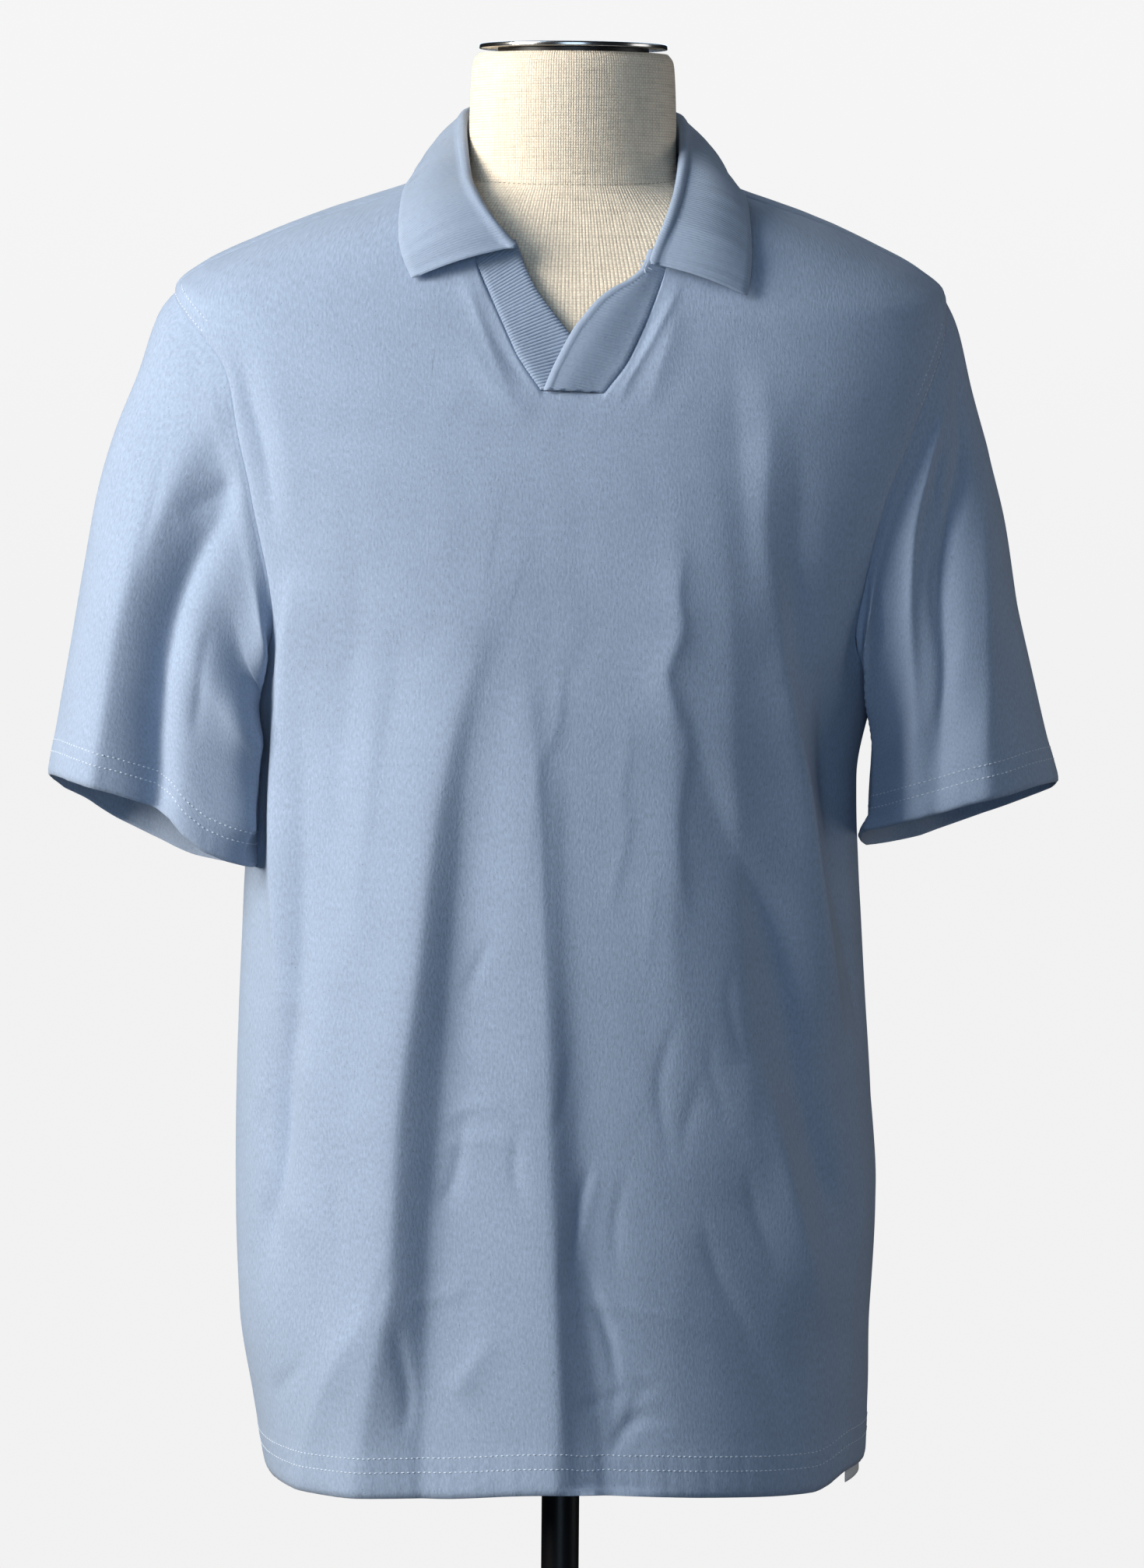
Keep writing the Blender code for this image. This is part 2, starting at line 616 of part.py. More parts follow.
def armhole_edge(table, side, count):
    """Ring heights and angles along one armhole edge, at equal distances from the armpit up to the tip."""
    rows = smooth_path(np.array(table), 241)
    height = rows[:, 0]
    angle = side(np.radians(np.maximum(rows[:, 1], 0.0)))
    at = by_length(body_point(height, angle), count)
    return np.interp(at, np.arange(241), height), np.interp(at, np.arange(241), angle)


SIDES = {
    # where an angle measured from the side lies on the ring
    ("front", "left"): lambda a: a,
    ("front", "right"): lambda a: math.pi - a,
    ("back", "left"): lambda a: -a,
    ("back", "right"): lambda a: math.pi + a,
}
ARMHOLES = {
    ("front", "left"): ARMHOLE_FRONT_LEFT,
    ("front", "right"): ARMHOLE_FRONT_RIGHT,
    ("back", "left"): ARMHOLE_BACK,
    ("back", "right"): ARMHOLE_BACK,
}


def neck_targets(face, hand):
    """Where the columns of one half panel end at the neck: ring heights and x."""
    if face == "front":
        table = FRONT_NECK_LEFT if hand == "left" else FRONT_NECK_RIGHT
        x = np.array([row[0] for row in table])
        z = np.array([row[1] for row in table])
        return ring_height_for(x, z), x
    sign = 1.0 if hand == "left" else -1.0
    x = np.array([sign * row[0] for row in BACK_NECK])
    return np.array([row[1] for row in BACK_NECK]), x


def shoulder_heights(hand):
    """Ring heights of the shoulder seam's points, from the neck point to the tip, at equal distances."""
    height = np.linspace(NECK_POINT_Z, TIP_Z, 121)
    at = by_length(body_point(height, SIDES["front", hand](0.0)), SHOULDER_COLUMNS)
    return np.interp(at, np.arange(121), height)


def run_to_side(height, centre, side):
    """Angles from a panel's centre to its side at each height, and how far along the ring each one lies."""
    steps = np.linspace(0.0, 1.0, RING_STEPS)
    angles = np.broadcast_to(centre + (side - centre) * steps, (len(height), RING_STEPS))
    points = body_point(np.repeat(height[:, None], RING_STEPS, axis=1), angles)
    pieces = np.linalg.norm(np.diff(points, axis=1), axis=2)
    return angles, np.concatenate([np.zeros((len(height), 1)), np.cumsum(pieces, axis=1)], axis=1)


def read_across(height, value, centre, side, want_angle):
    """Turns a distance along the ring into an angle, or back again, at each height."""
    angles, runs = run_to_side(height, centre, side)
    if want_angle:
        return np.array([np.interp(v, run, angle) for v, run, angle in zip(value, runs, angles)])
    turned = (value - centre) / (side - centre)
    return np.array([np.interp(v, np.linspace(0.0, 1.0, RING_STEPS), run) for v, run in zip(turned, runs)])


def half_panel(face, hand):
    """Ring heights and angles of half a panel: rows from the hem up, columns from the centre out.

    Over the armpit the columns fill the space between the centre line, the armhole's edge, the level of the
    armpit and the neckline with its shoulder seam, each measured along the rings.
    """
    side = SIDES[face, hand](0.0)
    centre = {"frontleft": 0.5, "frontright": 0.5, "backleft": -0.5, "backright": 1.5}[face + hand] * math.pi
    neck_height, neck_x = neck_targets(face, hand)
    ridge_height = shoulder_heights(hand)
    top_height = np.concatenate([neck_height, ridge_height])
    neck_angle = angle_of_x(neck_height, neck_x, face == "front")
    if face == "back" and hand == "left":
        neck_angle = neck_angle - 2.0 * math.pi
    top_angle = np.concatenate([neck_angle, np.full(len(ridge_height), side)])
    top_run = read_across(top_height, top_angle, centre, side, False)
    top_run[0] = 0.0
    columns = len(top_height)
    at_neck = len(neck_height)
    neck_share = NECK_SHARE[face]
    share = np.concatenate([
        np.linspace(0.0, neck_share, at_neck, endpoint=False),
        np.linspace(neck_share, 1.0, len(ridge_height)),
    ])

    low_heights = np.linspace(HEM_Z, ARMPIT_Z, SIDE_ROWS + 1)
    heights = np.repeat(low_heights[:, None], columns, axis=1)
    full = run_to_side(low_heights, centre, side)[1][:, -1]
    heights = heights.ravel()
    angles = read_across(heights, (full[:, None] * share).ravel(), centre, side, True)
    heights, angles = heights.reshape(-1, columns), angles.reshape(-1, columns)
    heights[:, -1], angles[:, -1] = low_heights, side

    edge_height, edge_angle = armhole_edge(ARMHOLES[face, hand], SIDES[face, hand], FINE_ROWS)
    edge_run = read_across(edge_height, edge_angle, centre, side, False)
    v = np.linspace(0.0, 1.0, FINE_ROWS + 1)[:, None]
    u = share[None, :]
    bottom = np.stack([full[-1] * share, np.full(columns, ARMPIT_Z)], axis=1)[None]
    top = np.stack([top_run, top_height], axis=1)[None]
    left = np.stack([np.zeros(FINE_ROWS + 1), ARMPIT_Z + (top_height[0] - ARMPIT_Z) * v[:, 0]], axis=1)[:, None]
    right = np.stack([edge_run, edge_height], axis=1)[:, None]
    u, v = u[..., None], v[..., None]
    corners = (1 - u) * (1 - v) * bottom[:, :1] + u * (1 - v) * bottom[:, -1:]
    corners = corners + (1 - u) * v * top[:, :1] + u * v * top[:, -1:]
    filled = (1 - v) * bottom + v * top + (1 - u) * left + u * right - corners
    straight = (1 - v) * bottom[..., :1] + v * top[..., :1]
    bent = bottom[..., :1] + (top[..., :1] - bottom[..., :1]) * v**NECK_BEND
    filled[..., :1] += (bent - straight) * (1 - u) ** 0.5 * np.minimum(4 * u, 1.0)
    upper_height, upper_angle = [], []
    for i in range(columns):
        height = filled[:, i, 1]
        angle = read_across(height, filled[:, i, 0], centre, side, True)
        angle[-1] = top_angle[i]
        if i == columns - 1:
            height, angle = edge_height, edge_angle
        at = by_length(body_point(height, angle), ARMHOLE_ROWS)
        upper_height.append(np.interp(at, np.arange(FINE_ROWS + 1), height))
        upper_angle.append(np.interp(at, np.arange(FINE_ROWS + 1), angle))
    heights = np.vstack([heights[:-1], np.array(upper_height).T])
    angles = np.vstack([angles[:-1], np.array(upper_angle).T])
    return heights, angles


def panel(face):
    """Ring heights and angles of a whole panel, columns anticlockwise as seen from outside."""
    left_height, left_angle = half_panel(face, "left")
    right_height, right_angle = half_panel(face, "right")
    if face == "front":
        return (
            np.hstack([right_height[:, ::-1], left_height[:, 1:]]),
            np.hstack([right_angle[:, ::-1], left_angle[:, 1:]]),
        )
    return (
        np.hstack([left_height[:, ::-1], right_height[:, 1:]]),
        np.hstack([left_angle[:, ::-1], right_angle[:, 1:] - 2.0 * math.pi]),
    )


def panel_faces(face):
    """Outer points and wall directions of a panel, before the seams are opened."""
    height, angle = panel(face)
    normal = body_normal(height, angle)
    return body_point(height, angle) + fold_height(height, angle)[..., None] * normal, normal


# ---- sleeves


def sleeve_section(table, along):
    return curve_through(table, 0, along)


def sleeve_points(table, along, angle):
    """Points of the plain sleeve tube. The angle runs from the top over the front, in radians."""
    outer_x, outer_z, inner_x, inner_z, deep, centre_y, lean = np.moveaxis(sleeve_section(table, along), -1, 0)
    half_x, half_z = (outer_x - inner_x) / 2.0, (outer_z - inner_z) / 2.0
    c, s = np.cos(angle), np.sin(angle)
    off = -deep * s
    x = (outer_x + inner_x) / 2.0 + half_x * c
    z = (outer_z + inner_z) / 2.0 + half_z * c + lean * off
    return np.stack(np.broadcast_arrays(x, centre_y + off, z), axis=-1)


def sleeve_grid(table, folds, edge):
    """The outer points of a sleeve. edge holds the armhole's points, from the tip down the front and up the back."""
    count = len(edge)
    base = sleeve_section(table, 0.0)
    outer, inner = np.array([base[0], base[1]]), np.array([base[2], base[3]])
    middle, axis = (outer + inner) / 2.0, (outer - inner) / 2.0
    reach = ((edge[:, [0, 2]] - middle) @ axis) / (axis @ axis)
    start = np.arccos(np.clip(reach, -1.0, 1.0))
    half = count // 2
    start[half + 1 :] = 2.0 * math.pi - start[half + 1 :]
    start[0], start[half] = 0.0, math.pi
    even = np.linspace(0.0, 2.0 * math.pi, count, endpoint=False)
    shift = edge - sleeve_points(table, np.zeros(count), start)
    alongs = np.linspace(0.0, 1.0, SLEEVE_ROWS + 1) ** 1.12
    rows = []
    for along in alongs:
        turn = smooth(along / 0.8)
        angle = start + (even - start) * turn
        points = sleeve_points(table, np.full(count, along), angle)
        points = points + shift * (1.0 - smooth(along / 0.62))
        rows.append((points, angle))
    grid = np.array([r[0] for r in rows])
    angles = np.array([r[1] for r in rows])
    rise = np.zeros(angles.shape)
    for angle_top, along_top, angle_low, along_low, wide, rise_top, rise_low in folds:
        t = (alongs[:, None] - along_top) / (along_low - along_top)
        line = angle_top + (angle_low - angle_top) * np.clip(t, 0.0, 1.0)
        off = (np.degrees(angles) - line + 180.0) % 360.0 - 180.0
        high = rise_top + (rise_low - rise_top) * np.clip(t, 0.0, 1.0)
        rise += high * smooth(t / 0.3 + 0.1) * np.exp(-0.5 * (off / wide) ** 2)
    rise *= smooth(alongs[:, None] / 0.15)
    return grid, rise


# ---- the cloth


def close_collar(points, floor_points, floor_normals, least):
    """Points moved out where they lie less than the given distance over the nearest face under them."""
    flat = points.reshape(-1, 3)
    for _ in range(3):
        gaps = np.linalg.norm(flat[:, None, :] - floor_points[None, :, :], axis=2)
        near = gaps.argmin(axis=1)
        over = ((flat - floor_points[near]) * floor_normals[near]).sum(axis=1)
        close = gaps[np.arange(len(flat)), near] < 0.03
        short = np.where(close, np.maximum(least - over, 0.0), 0.0)
        flat = flat + short[:, None] * floor_normals[near]
    return flat.reshape(points.shape)


def dense_body(face):
    """A fine grid of the shirt's smooth face, and its normals, to keep other pieces clear of it."""
    height = np.linspace(1.09, NECK_POINT_Z, 60)[:, None]
    start, end = (0.0, math.pi) if face == "front" else (-math.pi, 0.0)
    angle = np.linspace(start, end, 161)[None, :]
    height, angle = np.broadcast_arrays(height, angle)
    return body_point(height, angle).reshape(-1, 3), body_normal(height, angle).reshape(-1, 3)


def collar_rows():
    """The middle line of the collar's cloth: rows from its sewn base over the roll to the leaf's edge."""
    stations = np.array(COLLAR_LEFT + COLLAR_BACK + COLLAR_RIGHT[::-1])
    path = smooth_path(stations, COLLAR_COLUMNS + 1)
    base, roll, edge = path[:, 0:3], path[:, 3:6], path[:, 6:9]
    down = unit(edge - roll)
    rise = unit(roll - base)
    apart = unit(down - rise * (down * rise).sum(axis=1, keepdims=True))
    rows = []
    for k in range(COLLAR_STAND_ROWS):
        t = k / COLLAR_STAND_ROWS
        rows.append(base + (roll - base) * t * 0.92)
    for k in range(COLLAR_ROLL_ROWS + 1):
        turn = math.pi * k / COLLAR_ROLL_ROWS
        offset = -rise * (1.0 - math.sin(turn)) * COLLAR_ROLL_RADIUS
        offset = offset + apart * (1.0 - math.cos(turn)) * COLLAR_ROLL_RADIUS * 0.8
        rows.append(roll + offset)
    last = rows[-1]
    out = unit(np.cross(down, np.gradient(roll, axis=0)))
    for k in range(1, COLLAR_LEAF_ROWS + 1):
        t = k / COLLAR_LEAF_ROWS
        rows.append(last + (edge - last) * t + out * LEAF_BOW * math.sin(math.pi * t))
    return np.array(rows)


def placket_points(table, neckline):
    """A strip of rib knit laid on the chest from the panel's V to its own inner edge, rows from its top end down."""
    rows = smooth_path(np.array(table), PLACKET_ALONG + 1)
    share = np.linspace(0.0, 1.0, PLACKET_ACROSS + 1)[None, :]
    edge = np.array(neckline[1:])
    outer_x = np.interp(rows[:, 0:1], edge[:, 1], edge[:, 0])
    outer_x = outer_x - np.sign(outer_x) * PLACKET_CLEAR
    x = outer_x + (rows[:, 1:2] - outer_x) * share
    z = rows[:, 0:1] + (rows[:, 2:3] - rows[:, 0:1]) * share
    lift = rows[:, 3:4] * smooth(share / 0.75)
    height = ring_height_for(x, z)
    angle = angle_of_x(height, x)
    normal = body_normal(height, angle)
    return body_point(height, angle) + lift[..., None] * normal, normal


def shirt(materials):
    faces = {face: panel_faces(face) for face in ("front", "back")}
    edges = {}
    for hand, column, other in (("left", -1, 0), ("right", 0, -1)):
        front = faces["front"][0][SIDE_ROWS:, column]
        back = faces["back"][0][SIDE_ROWS:, other]
        edges[hand] = np.vstack([front[::-1], back[1:-1]])
    sleeves = {
        "left": (SLEEVE_LEFT_SECTIONS, SLEEVE_LEFT_FOLDS),
        "right": (SLEEVE_RIGHT_SECTIONS, SLEEVE_RIGHT_FOLDS),
    }
    mitres, pulls = {}, {}
    for hand, (table, folds) in sleeves.items():
        plain, rise = sleeve_grid(table, folds, edges[hand])
        sign = 1.0 if hand == "left" else -1.0
        normal = sign * grid_normals(plain, ring=True)
        outer = plain + rise[..., None] * normal
        body = seam_normals(faces, hand)
        mitre = unit(normal[0] + body)
        grow = np.minimum(1.0 / np.maximum((mitre * body).sum(axis=1), 0.3), DEEPEST_MITRE)
        mitres[hand] = mitre * grow[:, None]
        folded = 0.5 - 0.5 * (normal[0] * body).sum(axis=1)
        pulls[hand] = SEAM_PULL * (1.0 + CREASE_PULL * folded)
        directions = normal.copy()
        directions[0] = mitres[hand]
        outer = open_seams(outer, {"first_row": pulls[hand]})
        inner = outer - JERSEY_WALL * directions
        if hand == "right":
            outer, inner = outer[::-1], inner[::-1]
        wall("sleeve_" + hand, outer, inner, materials["jersey"], ring=True)
    for face, (outer, normal) in faces.items():
        directions = normal.copy()
        amounts = {"last_row": SEAM_PULL}
        for hand in ("left", "right"):
            first = face + hand in ("frontright", "backleft")
            if face == "front":
                around = np.arange(ARMHOLE_ROWS, -1, -1)
            else:
                around = np.append(np.arange(ARMHOLE_ROWS, 2 * ARMHOLE_ROWS), 0)
            directions[SIDE_ROWS:, 0 if first else -1] = mitres[hand][around]
            plain = np.full(SIDE_ROWS, SEAM_PULL)
            amounts["first_column" if first else "last_column"] = np.append(plain, pulls[hand][around])
        outer = open_seams(outer, amounts)
        wall(face, outer, outer - JERSEY_WALL * directions, materials["jersey"])


def seam_normals(faces, hand):
    """The body's normals at an armhole, in the order of the sleeve's columns."""
    front = faces["front"][1][SIDE_ROWS:, -1 if hand == "left" else 0]
    back = faces["back"][1][SIDE_ROWS:, 0 if hand == "left" else -1]
    return np.vstack([front[::-1], back[1:-1]])


def collar(materials):
    floor = [dense_body("front"), dense_body("back")]
    floor_points = np.vstack([f[0] for f in floor])
    floor_normals = np.vstack([f[1] for f in floor])
    rows = collar_rows()
    stand = COLLAR_STAND_ROWS + 1
    clear = COLLAR_CLEAR + RIB_WALL / 2.0
    rows[stand:] = close_collar(rows[stand:], floor_points, floor_normals, clear)
    normal = grid_normals(rows)
    wall("collar", rows + normal * RIB_WALL / 2.0, rows - normal * RIB_WALL / 2.0, materials["rib"])


def plackets(materials):
    left, left_normal = placket_points(PLACKET_LEFT_EDGES, FRONT_NECK_LEFT)
    right, right_normal = placket_points(PLACKET_RIGHT_EDGES, FRONT_NECK_RIGHT)
    wall("placket_left", left, left - left_normal * RIB_WALL, materials["rib"])
    wall("placket_right", right[:, ::-1], (right - right_normal * RIB_WALL)[:, ::-1], materials["rib"])


# ---- the form and its stand


def form_rings():
    """Rings of the linen torso and neck, each a row of points."""
    angle = np.linspace(0.0, 2.0 * math.pi, FORM_AROUND, endpoint=False)
    rows = []
    heights = np.concatenate([
        np.linspace(FORM_BOTTOM_Z + FORM_BOTTOM_ROUND, ARMPIT_Z, FORM_ROWS // 2, endpoint=False),
        np.linspace(ARMPIT_Z, 1.150, FORM_ROWS // 3, endpoint=False),
        np.linspace(1.150, FORM_TOP_RING, FORM_ROWS // 3),
    ])
    for height in heights:
        gap = curve_through(FORM_GAPS, 0, height)[0]
        full = np.full(FORM_AROUND, height)
        points = body_point(full, angle)
        low, high = SHOULDER_REST
        rest = smooth((height - low) / 0.012 + 1.0) * smooth((high - height) / 0.012 + 1.0)
        rest = rest * np.exp(-(((points[:, 1] - ring_sizes(height)[4]) / SHOULDER_REST_HALF) ** 2))
        gap = gap + (SHOULDER_GAP - gap) * rest
        rows.append(points - gap[:, None] * body_normal(full, angle))
    first = rows[0]
    middle = first.mean(axis=0)
    bottom = []
    for turn in (0.0, 25.0, 50.0, 75.0):
        t = math.radians(turn)
        ring = middle + (first - middle) * (1.0 - FORM_BOTTOM_ROUND * (1.0 - math.sin(t)) / middle_radius(first))
        ring[:, 2] = FORM_BOTTOM_Z + FORM_BOTTOM_ROUND * (1.0 - math.cos(t))
        bottom.append(ring)
    neck = []
    for height, wide, front, back, centre_y, lean in NECK_RINGS:
        c, s = np.cos(angle), np.sin(angle)
        off = -np.where(s > 0.0, front, back) * s
        neck.append(np.stack([wide * c, centre_y + off, height + lean * off], axis=1))
    return np.array(bottom + rows + neck)


def middle_radius(ring):
    """The mean distance of a ring's points from its middle."""
    return np.linalg.norm(ring - ring.mean(axis=0), axis=1).mean()


def form_body(materials):
    """The torso and neck as one solid, with a blind hole up its underside for the pole."""
    rings = form_rings()
    angle = np.linspace(0.0, 2.0 * math.pi, FORM_AROUND, endpoint=False)
    hole = POLE_RADIUS + REST_GAP
    circle = np.stack([hole * np.cos(angle), -hole * np.sin(angle), np.zeros(FORM_AROUND)], axis=1)
    low = circle + (0.0, 0.0, FORM_BOTTOM_Z)
    high = circle + (0.0, 0.0, FORM_BOTTOM_Z + POLE_INTO_FORM)
    mesh = Mesh()
    stack = np.concatenate([[high], [low], rings])
    first = mesh.add(stack)
    rows = len(stack)
    for j in range(rows - 1):
        for i in range(FORM_AROUND):
            k = (i + 1) % FORM_AROUND
            a, b = first + j * FORM_AROUND + i, first + j * FORM_AROUND + k
            mesh.faces.append((b, a, a + FORM_AROUND, b + FORM_AROUND))
    mesh.faces.append(tuple(range(first, first + FORM_AROUND)))
    last = first + (rows - 1) * FORM_AROUND
    mesh.faces.append(tuple(range(last + FORM_AROUND - 1, last - 1, -1)))
    mesh.make("form_body", materials["linen"])


def turned(name, profile, material, centre=(0.0, 0.0)):
    """A round piece turned from (radius, height) pairs, from the middle of its underside to that of its top."""
    mesh = Mesh()
    angle = np.linspace(0.0, 2.0 * math.pi, ROUND_SIDES, endpoint=False)
    rings = [
        np.stack([centre[0] + r * np.cos(angle), centre[1] + r * np.sin(angle), np.full(ROUND_SIDES, z)], axis=1)
        for r, z in profile
    ]
    first = mesh.add(np.array(rings))
    for j in range(len(profile) - 1):
        for i in range(ROUND_SIDES):
            k = (i + 1) % ROUND_SIDES
            a, b = first + j * ROUND_SIDES + i, first + j * ROUND_SIDES + k
            mesh.faces.append((a, b, b + ROUND_SIDES, a + ROUND_SIDES))
    mesh.faces.append(tuple(range(first + ROUND_SIDES - 1, first - 1, -1)))
    last = first + (len(profile) - 1) * ROUND_SIDES
    mesh.faces.append(tuple(range(last, last + ROUND_SIDES)))
    return mesh.make(name, material)


def stand(materials):
    foot_top = BASE_THICK
    edge = 0.002
    hub_top = foot_top + HUB_HEIGHT
    turned("base", (
        (BASE_RADIUS - edge, 0.0),
        (BASE_RADIUS, edge * 0.6),
        (BASE_RADIUS, foot_top - edge),
        (BASE_RADIUS - edge, foot_top),
        (HUB_RADIUS + 0.004, foot_top + 0.001),
        (HUB_RADIUS, foot_top + 0.006),
        (HUB_RADIUS - 0.002, hub_top - 0.002),
        (HUB_RADIUS - 0.004, hub_top),
        (POLE_RADIUS + REST_GAP, hub_top),
        (POLE_RADIUS + REST_GAP, foot_top - 0.004),
    ), materials["black_gloss"])
    turned("pole", (
        (POLE_RADIUS, foot_top - 0.004 + REST_GAP),
        (POLE_RADIUS, FORM_BOTTOM_Z + POLE_INTO_FORM - REST_GAP),
    ), materials["black_gloss"])
    top = FORM_BOTTOM_Z - REST_GAP
    bore = POLE_RADIUS + REST_GAP
    ring(
        "pole_socket", bore,
        ((SOCKET_RADIUS - 0.003, top - SOCKET_HEIGHT), (SOCKET_RADIUS, top - SOCKET_HEIGHT + 0.003),
         (SOCKET_RADIUS, top - 0.006), (SOCKET_RADIUS + 0.012, top - 0.003), (SOCKET_RADIUS + 0.012, top)),
        materials["black_gloss"],
    )
    neck_top = NECK_RINGS[-1][0]
    plate_z = neck_top + REST_GAP
    turned("neck_plate", (
        (PLATE_RADIUS, plate_z),
        (PLATE_RADIUS, plate_z + PLATE_THICK),
    ), materials["dark_metal"], (0.0, CAP_Y))
    cap_z = plate_z + PLATE_THICK + REST_GAP
    turned("neck_cap", (
        (CAP_RADIUS - 0.0006, cap_z),
        (CAP_RADIUS, cap_z + 0.0006),
        (CAP_RADIUS, cap_z + CAP_THICK - 0.0008),
        (CAP_RADIUS - 0.0010, cap_z + CAP_THICK),
    ), materials["bright_metal"], (0.0, CAP_Y))


def ring(name, bore, profile, material):
    """A turned ring with a plain bore, its outside from (radius, height) pairs, from below up."""
    loop = list(profile) + [(bore, profile[-1][1]), (bore, profile[0][1])]
    mesh = Mesh()
    angle = np.linspace(0.0, 2.0 * math.pi, ROUND_SIDES, endpoint=False)
    first = mesh.add(np.array([
        np.stack([r * np.cos(angle), r * np.sin(angle), np.full(ROUND_SIDES, z)], axis=1) for r, z in loop
    ]))
    for j in range(len(loop)):
        low, high = first + j * ROUND_SIDES, first + (j + 1) % len(loop) * ROUND_SIDES
        for i in range(ROUND_SIDES):
            k = (i + 1) % ROUND_SIDES
            mesh.faces.append((low + i, low + k, high + k, high + i))
    return mesh.make(name, material)


def label(materials):
    """A bare strip that lies along the inside of the left side seam and reaches past the hem."""
    height = np.linspace(LABEL_LOW_Z, LABEL_TOP_Z, 6)[:, None]
    angle = np.radians(np.linspace(LABEL_ANGLES[1], LABEL_ANGLES[0], 7))[None, :]
    height, angle = np.broadcast_arrays(height, angle)
    normal = body_normal(np.maximum(height, HEM_Z + 0.002), angle)
    outer = body_point(height, angle) - LABEL_INSIDE * normal
    outer = outer + fold_height(np.maximum(height, HEM_Z), angle)[..., None] * normal
    wall("label", outer, outer - LABEL_THICK * normal, materials["tab"])


def main():
    for old in list(bpy.data.objects):
        bpy.data.objects.remove(old)
    materials = {}
    for name, (red, green, blue, rough, metal) in COLOURS.items():
        material = bpy.data.materials.new(name)
        material.use_nodes = True
        shader = material.node_tree.nodes["Principled BSDF"]
        shader.inputs["Base Color"].default_value = (red, green, blue, 1.0)
        shader.inputs["Roughness"].default_value = rough
        shader.inputs["Metallic"].default_value = metal
        materials[name] = material
    shirt(materials)
    collar(materials)
    plackets(materials)
    label(materials)
    form_body(materials)
    stand(materials)


main()
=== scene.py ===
# %% [markdown]
# # A jersey polo shirt on a linen dress form
#
# The shirt is a thin knitted jersey, cut as a front, a back and two short sleeves, with a flat-knit rib collar and
# two rib strips along an open V. It hangs from the shoulders of a padded form, so its look comes from three things:
# the rings of the body that it falls over, the long creases that start at the chest and the armholes, and the seams.
# Everything here is in metres, with +Z up and the front facing -Y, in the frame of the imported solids.

import math

import bpy
import numpy as np
from mathutils import Matrix, Vector


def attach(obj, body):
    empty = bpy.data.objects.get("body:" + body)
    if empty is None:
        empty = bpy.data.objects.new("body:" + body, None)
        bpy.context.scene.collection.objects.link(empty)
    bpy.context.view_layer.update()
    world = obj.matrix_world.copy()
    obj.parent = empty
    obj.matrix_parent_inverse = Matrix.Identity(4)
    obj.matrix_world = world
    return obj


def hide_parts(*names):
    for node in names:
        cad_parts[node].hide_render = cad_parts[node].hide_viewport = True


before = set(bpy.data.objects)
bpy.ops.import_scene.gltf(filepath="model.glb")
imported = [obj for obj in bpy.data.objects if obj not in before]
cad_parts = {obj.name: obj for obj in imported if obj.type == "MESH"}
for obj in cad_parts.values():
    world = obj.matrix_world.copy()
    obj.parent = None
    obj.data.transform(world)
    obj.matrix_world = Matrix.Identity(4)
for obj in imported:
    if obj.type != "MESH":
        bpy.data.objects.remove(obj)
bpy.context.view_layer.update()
scene = bpy.context.scene
print("solids loaded:", len(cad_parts), "nodes")

# %% [markdown]
# ## The camera
#
# The photograph looks at the shirt from the height of its chest with a long lens, which keeps the hem and the collar
# at nearly the same scale. The camera is tilted down by four degrees, so that the middle of the picture lies on the
# shirt's waist, and it is rolled by half a degree, as the verticals of the picture show.

# %% Camera
CAMERA_PLACE = (0.0, -3.7, 1.13)
CAMERA_ROLL = 0.52  # degrees
FILM_HIGH = 36.0  # millimetres
FOCAL_ROWS = 8230  # the focal length, in rows of a picture 2014 rows high
PICTURE_ROWS = 2014
AIM_ROW, AIM_COLUMN = 573, 6.6  # how far the middle of the picture lies from the level line and the centre line

lens = bpy.data.cameras.new("view")
lens.sensor_fit = "VERTICAL"
lens.sensor_height = FILM_HIGH
lens.lens = FOCAL_ROWS / PICTURE_ROWS * FILM_HIGH
camera = bpy.data.objects.new("view", lens)
scene.collection.objects.link(camera)
pitch = math.atan(AIM_ROW / FOCAL_ROWS)
yaw = math.atan(AIM_COLUMN / FOCAL_ROWS)
turn = Matrix.Rotation(-yaw, 3, "Z") @ Matrix.Rotation(math.pi / 2 - pitch, 3, "X")
camera.rotation_euler = (turn @ Matrix.Rotation(math.radians(CAMERA_ROLL), 3, "Z")).to_euler()
camera.location = CAMERA_PLACE
scene.camera = camera
print("lens:", round(lens.lens, 1), "mm, tilted down by", round(math.degrees(pitch), 2), "degrees")

# %% [markdown]
# ## The body under the cloth
#
# A torso can be read as a stack of level rings. Each ring is a superellipse: rounder than a box and squarer than an
# ellipse, as a ribcage is. A table gives each ring's half width and depths, and a smooth curve through the table
# gives every ring between. Near the shoulders the rings lean forward, so that the shoulder seams lie a little in
# front of the top of the shoulder, as they do on a real shirt.

# %% Rings of the body
RING_POWER = 2.3
HEM_Z = 0.480
ARMPIT_Z = 0.932
TIP_Z = 1.1567  # shoulder tips, where the sleeves start
NECK_POINT_Z = 1.227  # where the shoulder seams meet the collar
LEAN_FROM_Z = 1.030  # over this height the rings start to lean, so that the shoulder seams lie forward of the top
LEAN_FULL_Z = 1.150
LEAN = 0.20
HEM_LINE_REACH = 0.14  # the hem's rise and fall fades out over this height

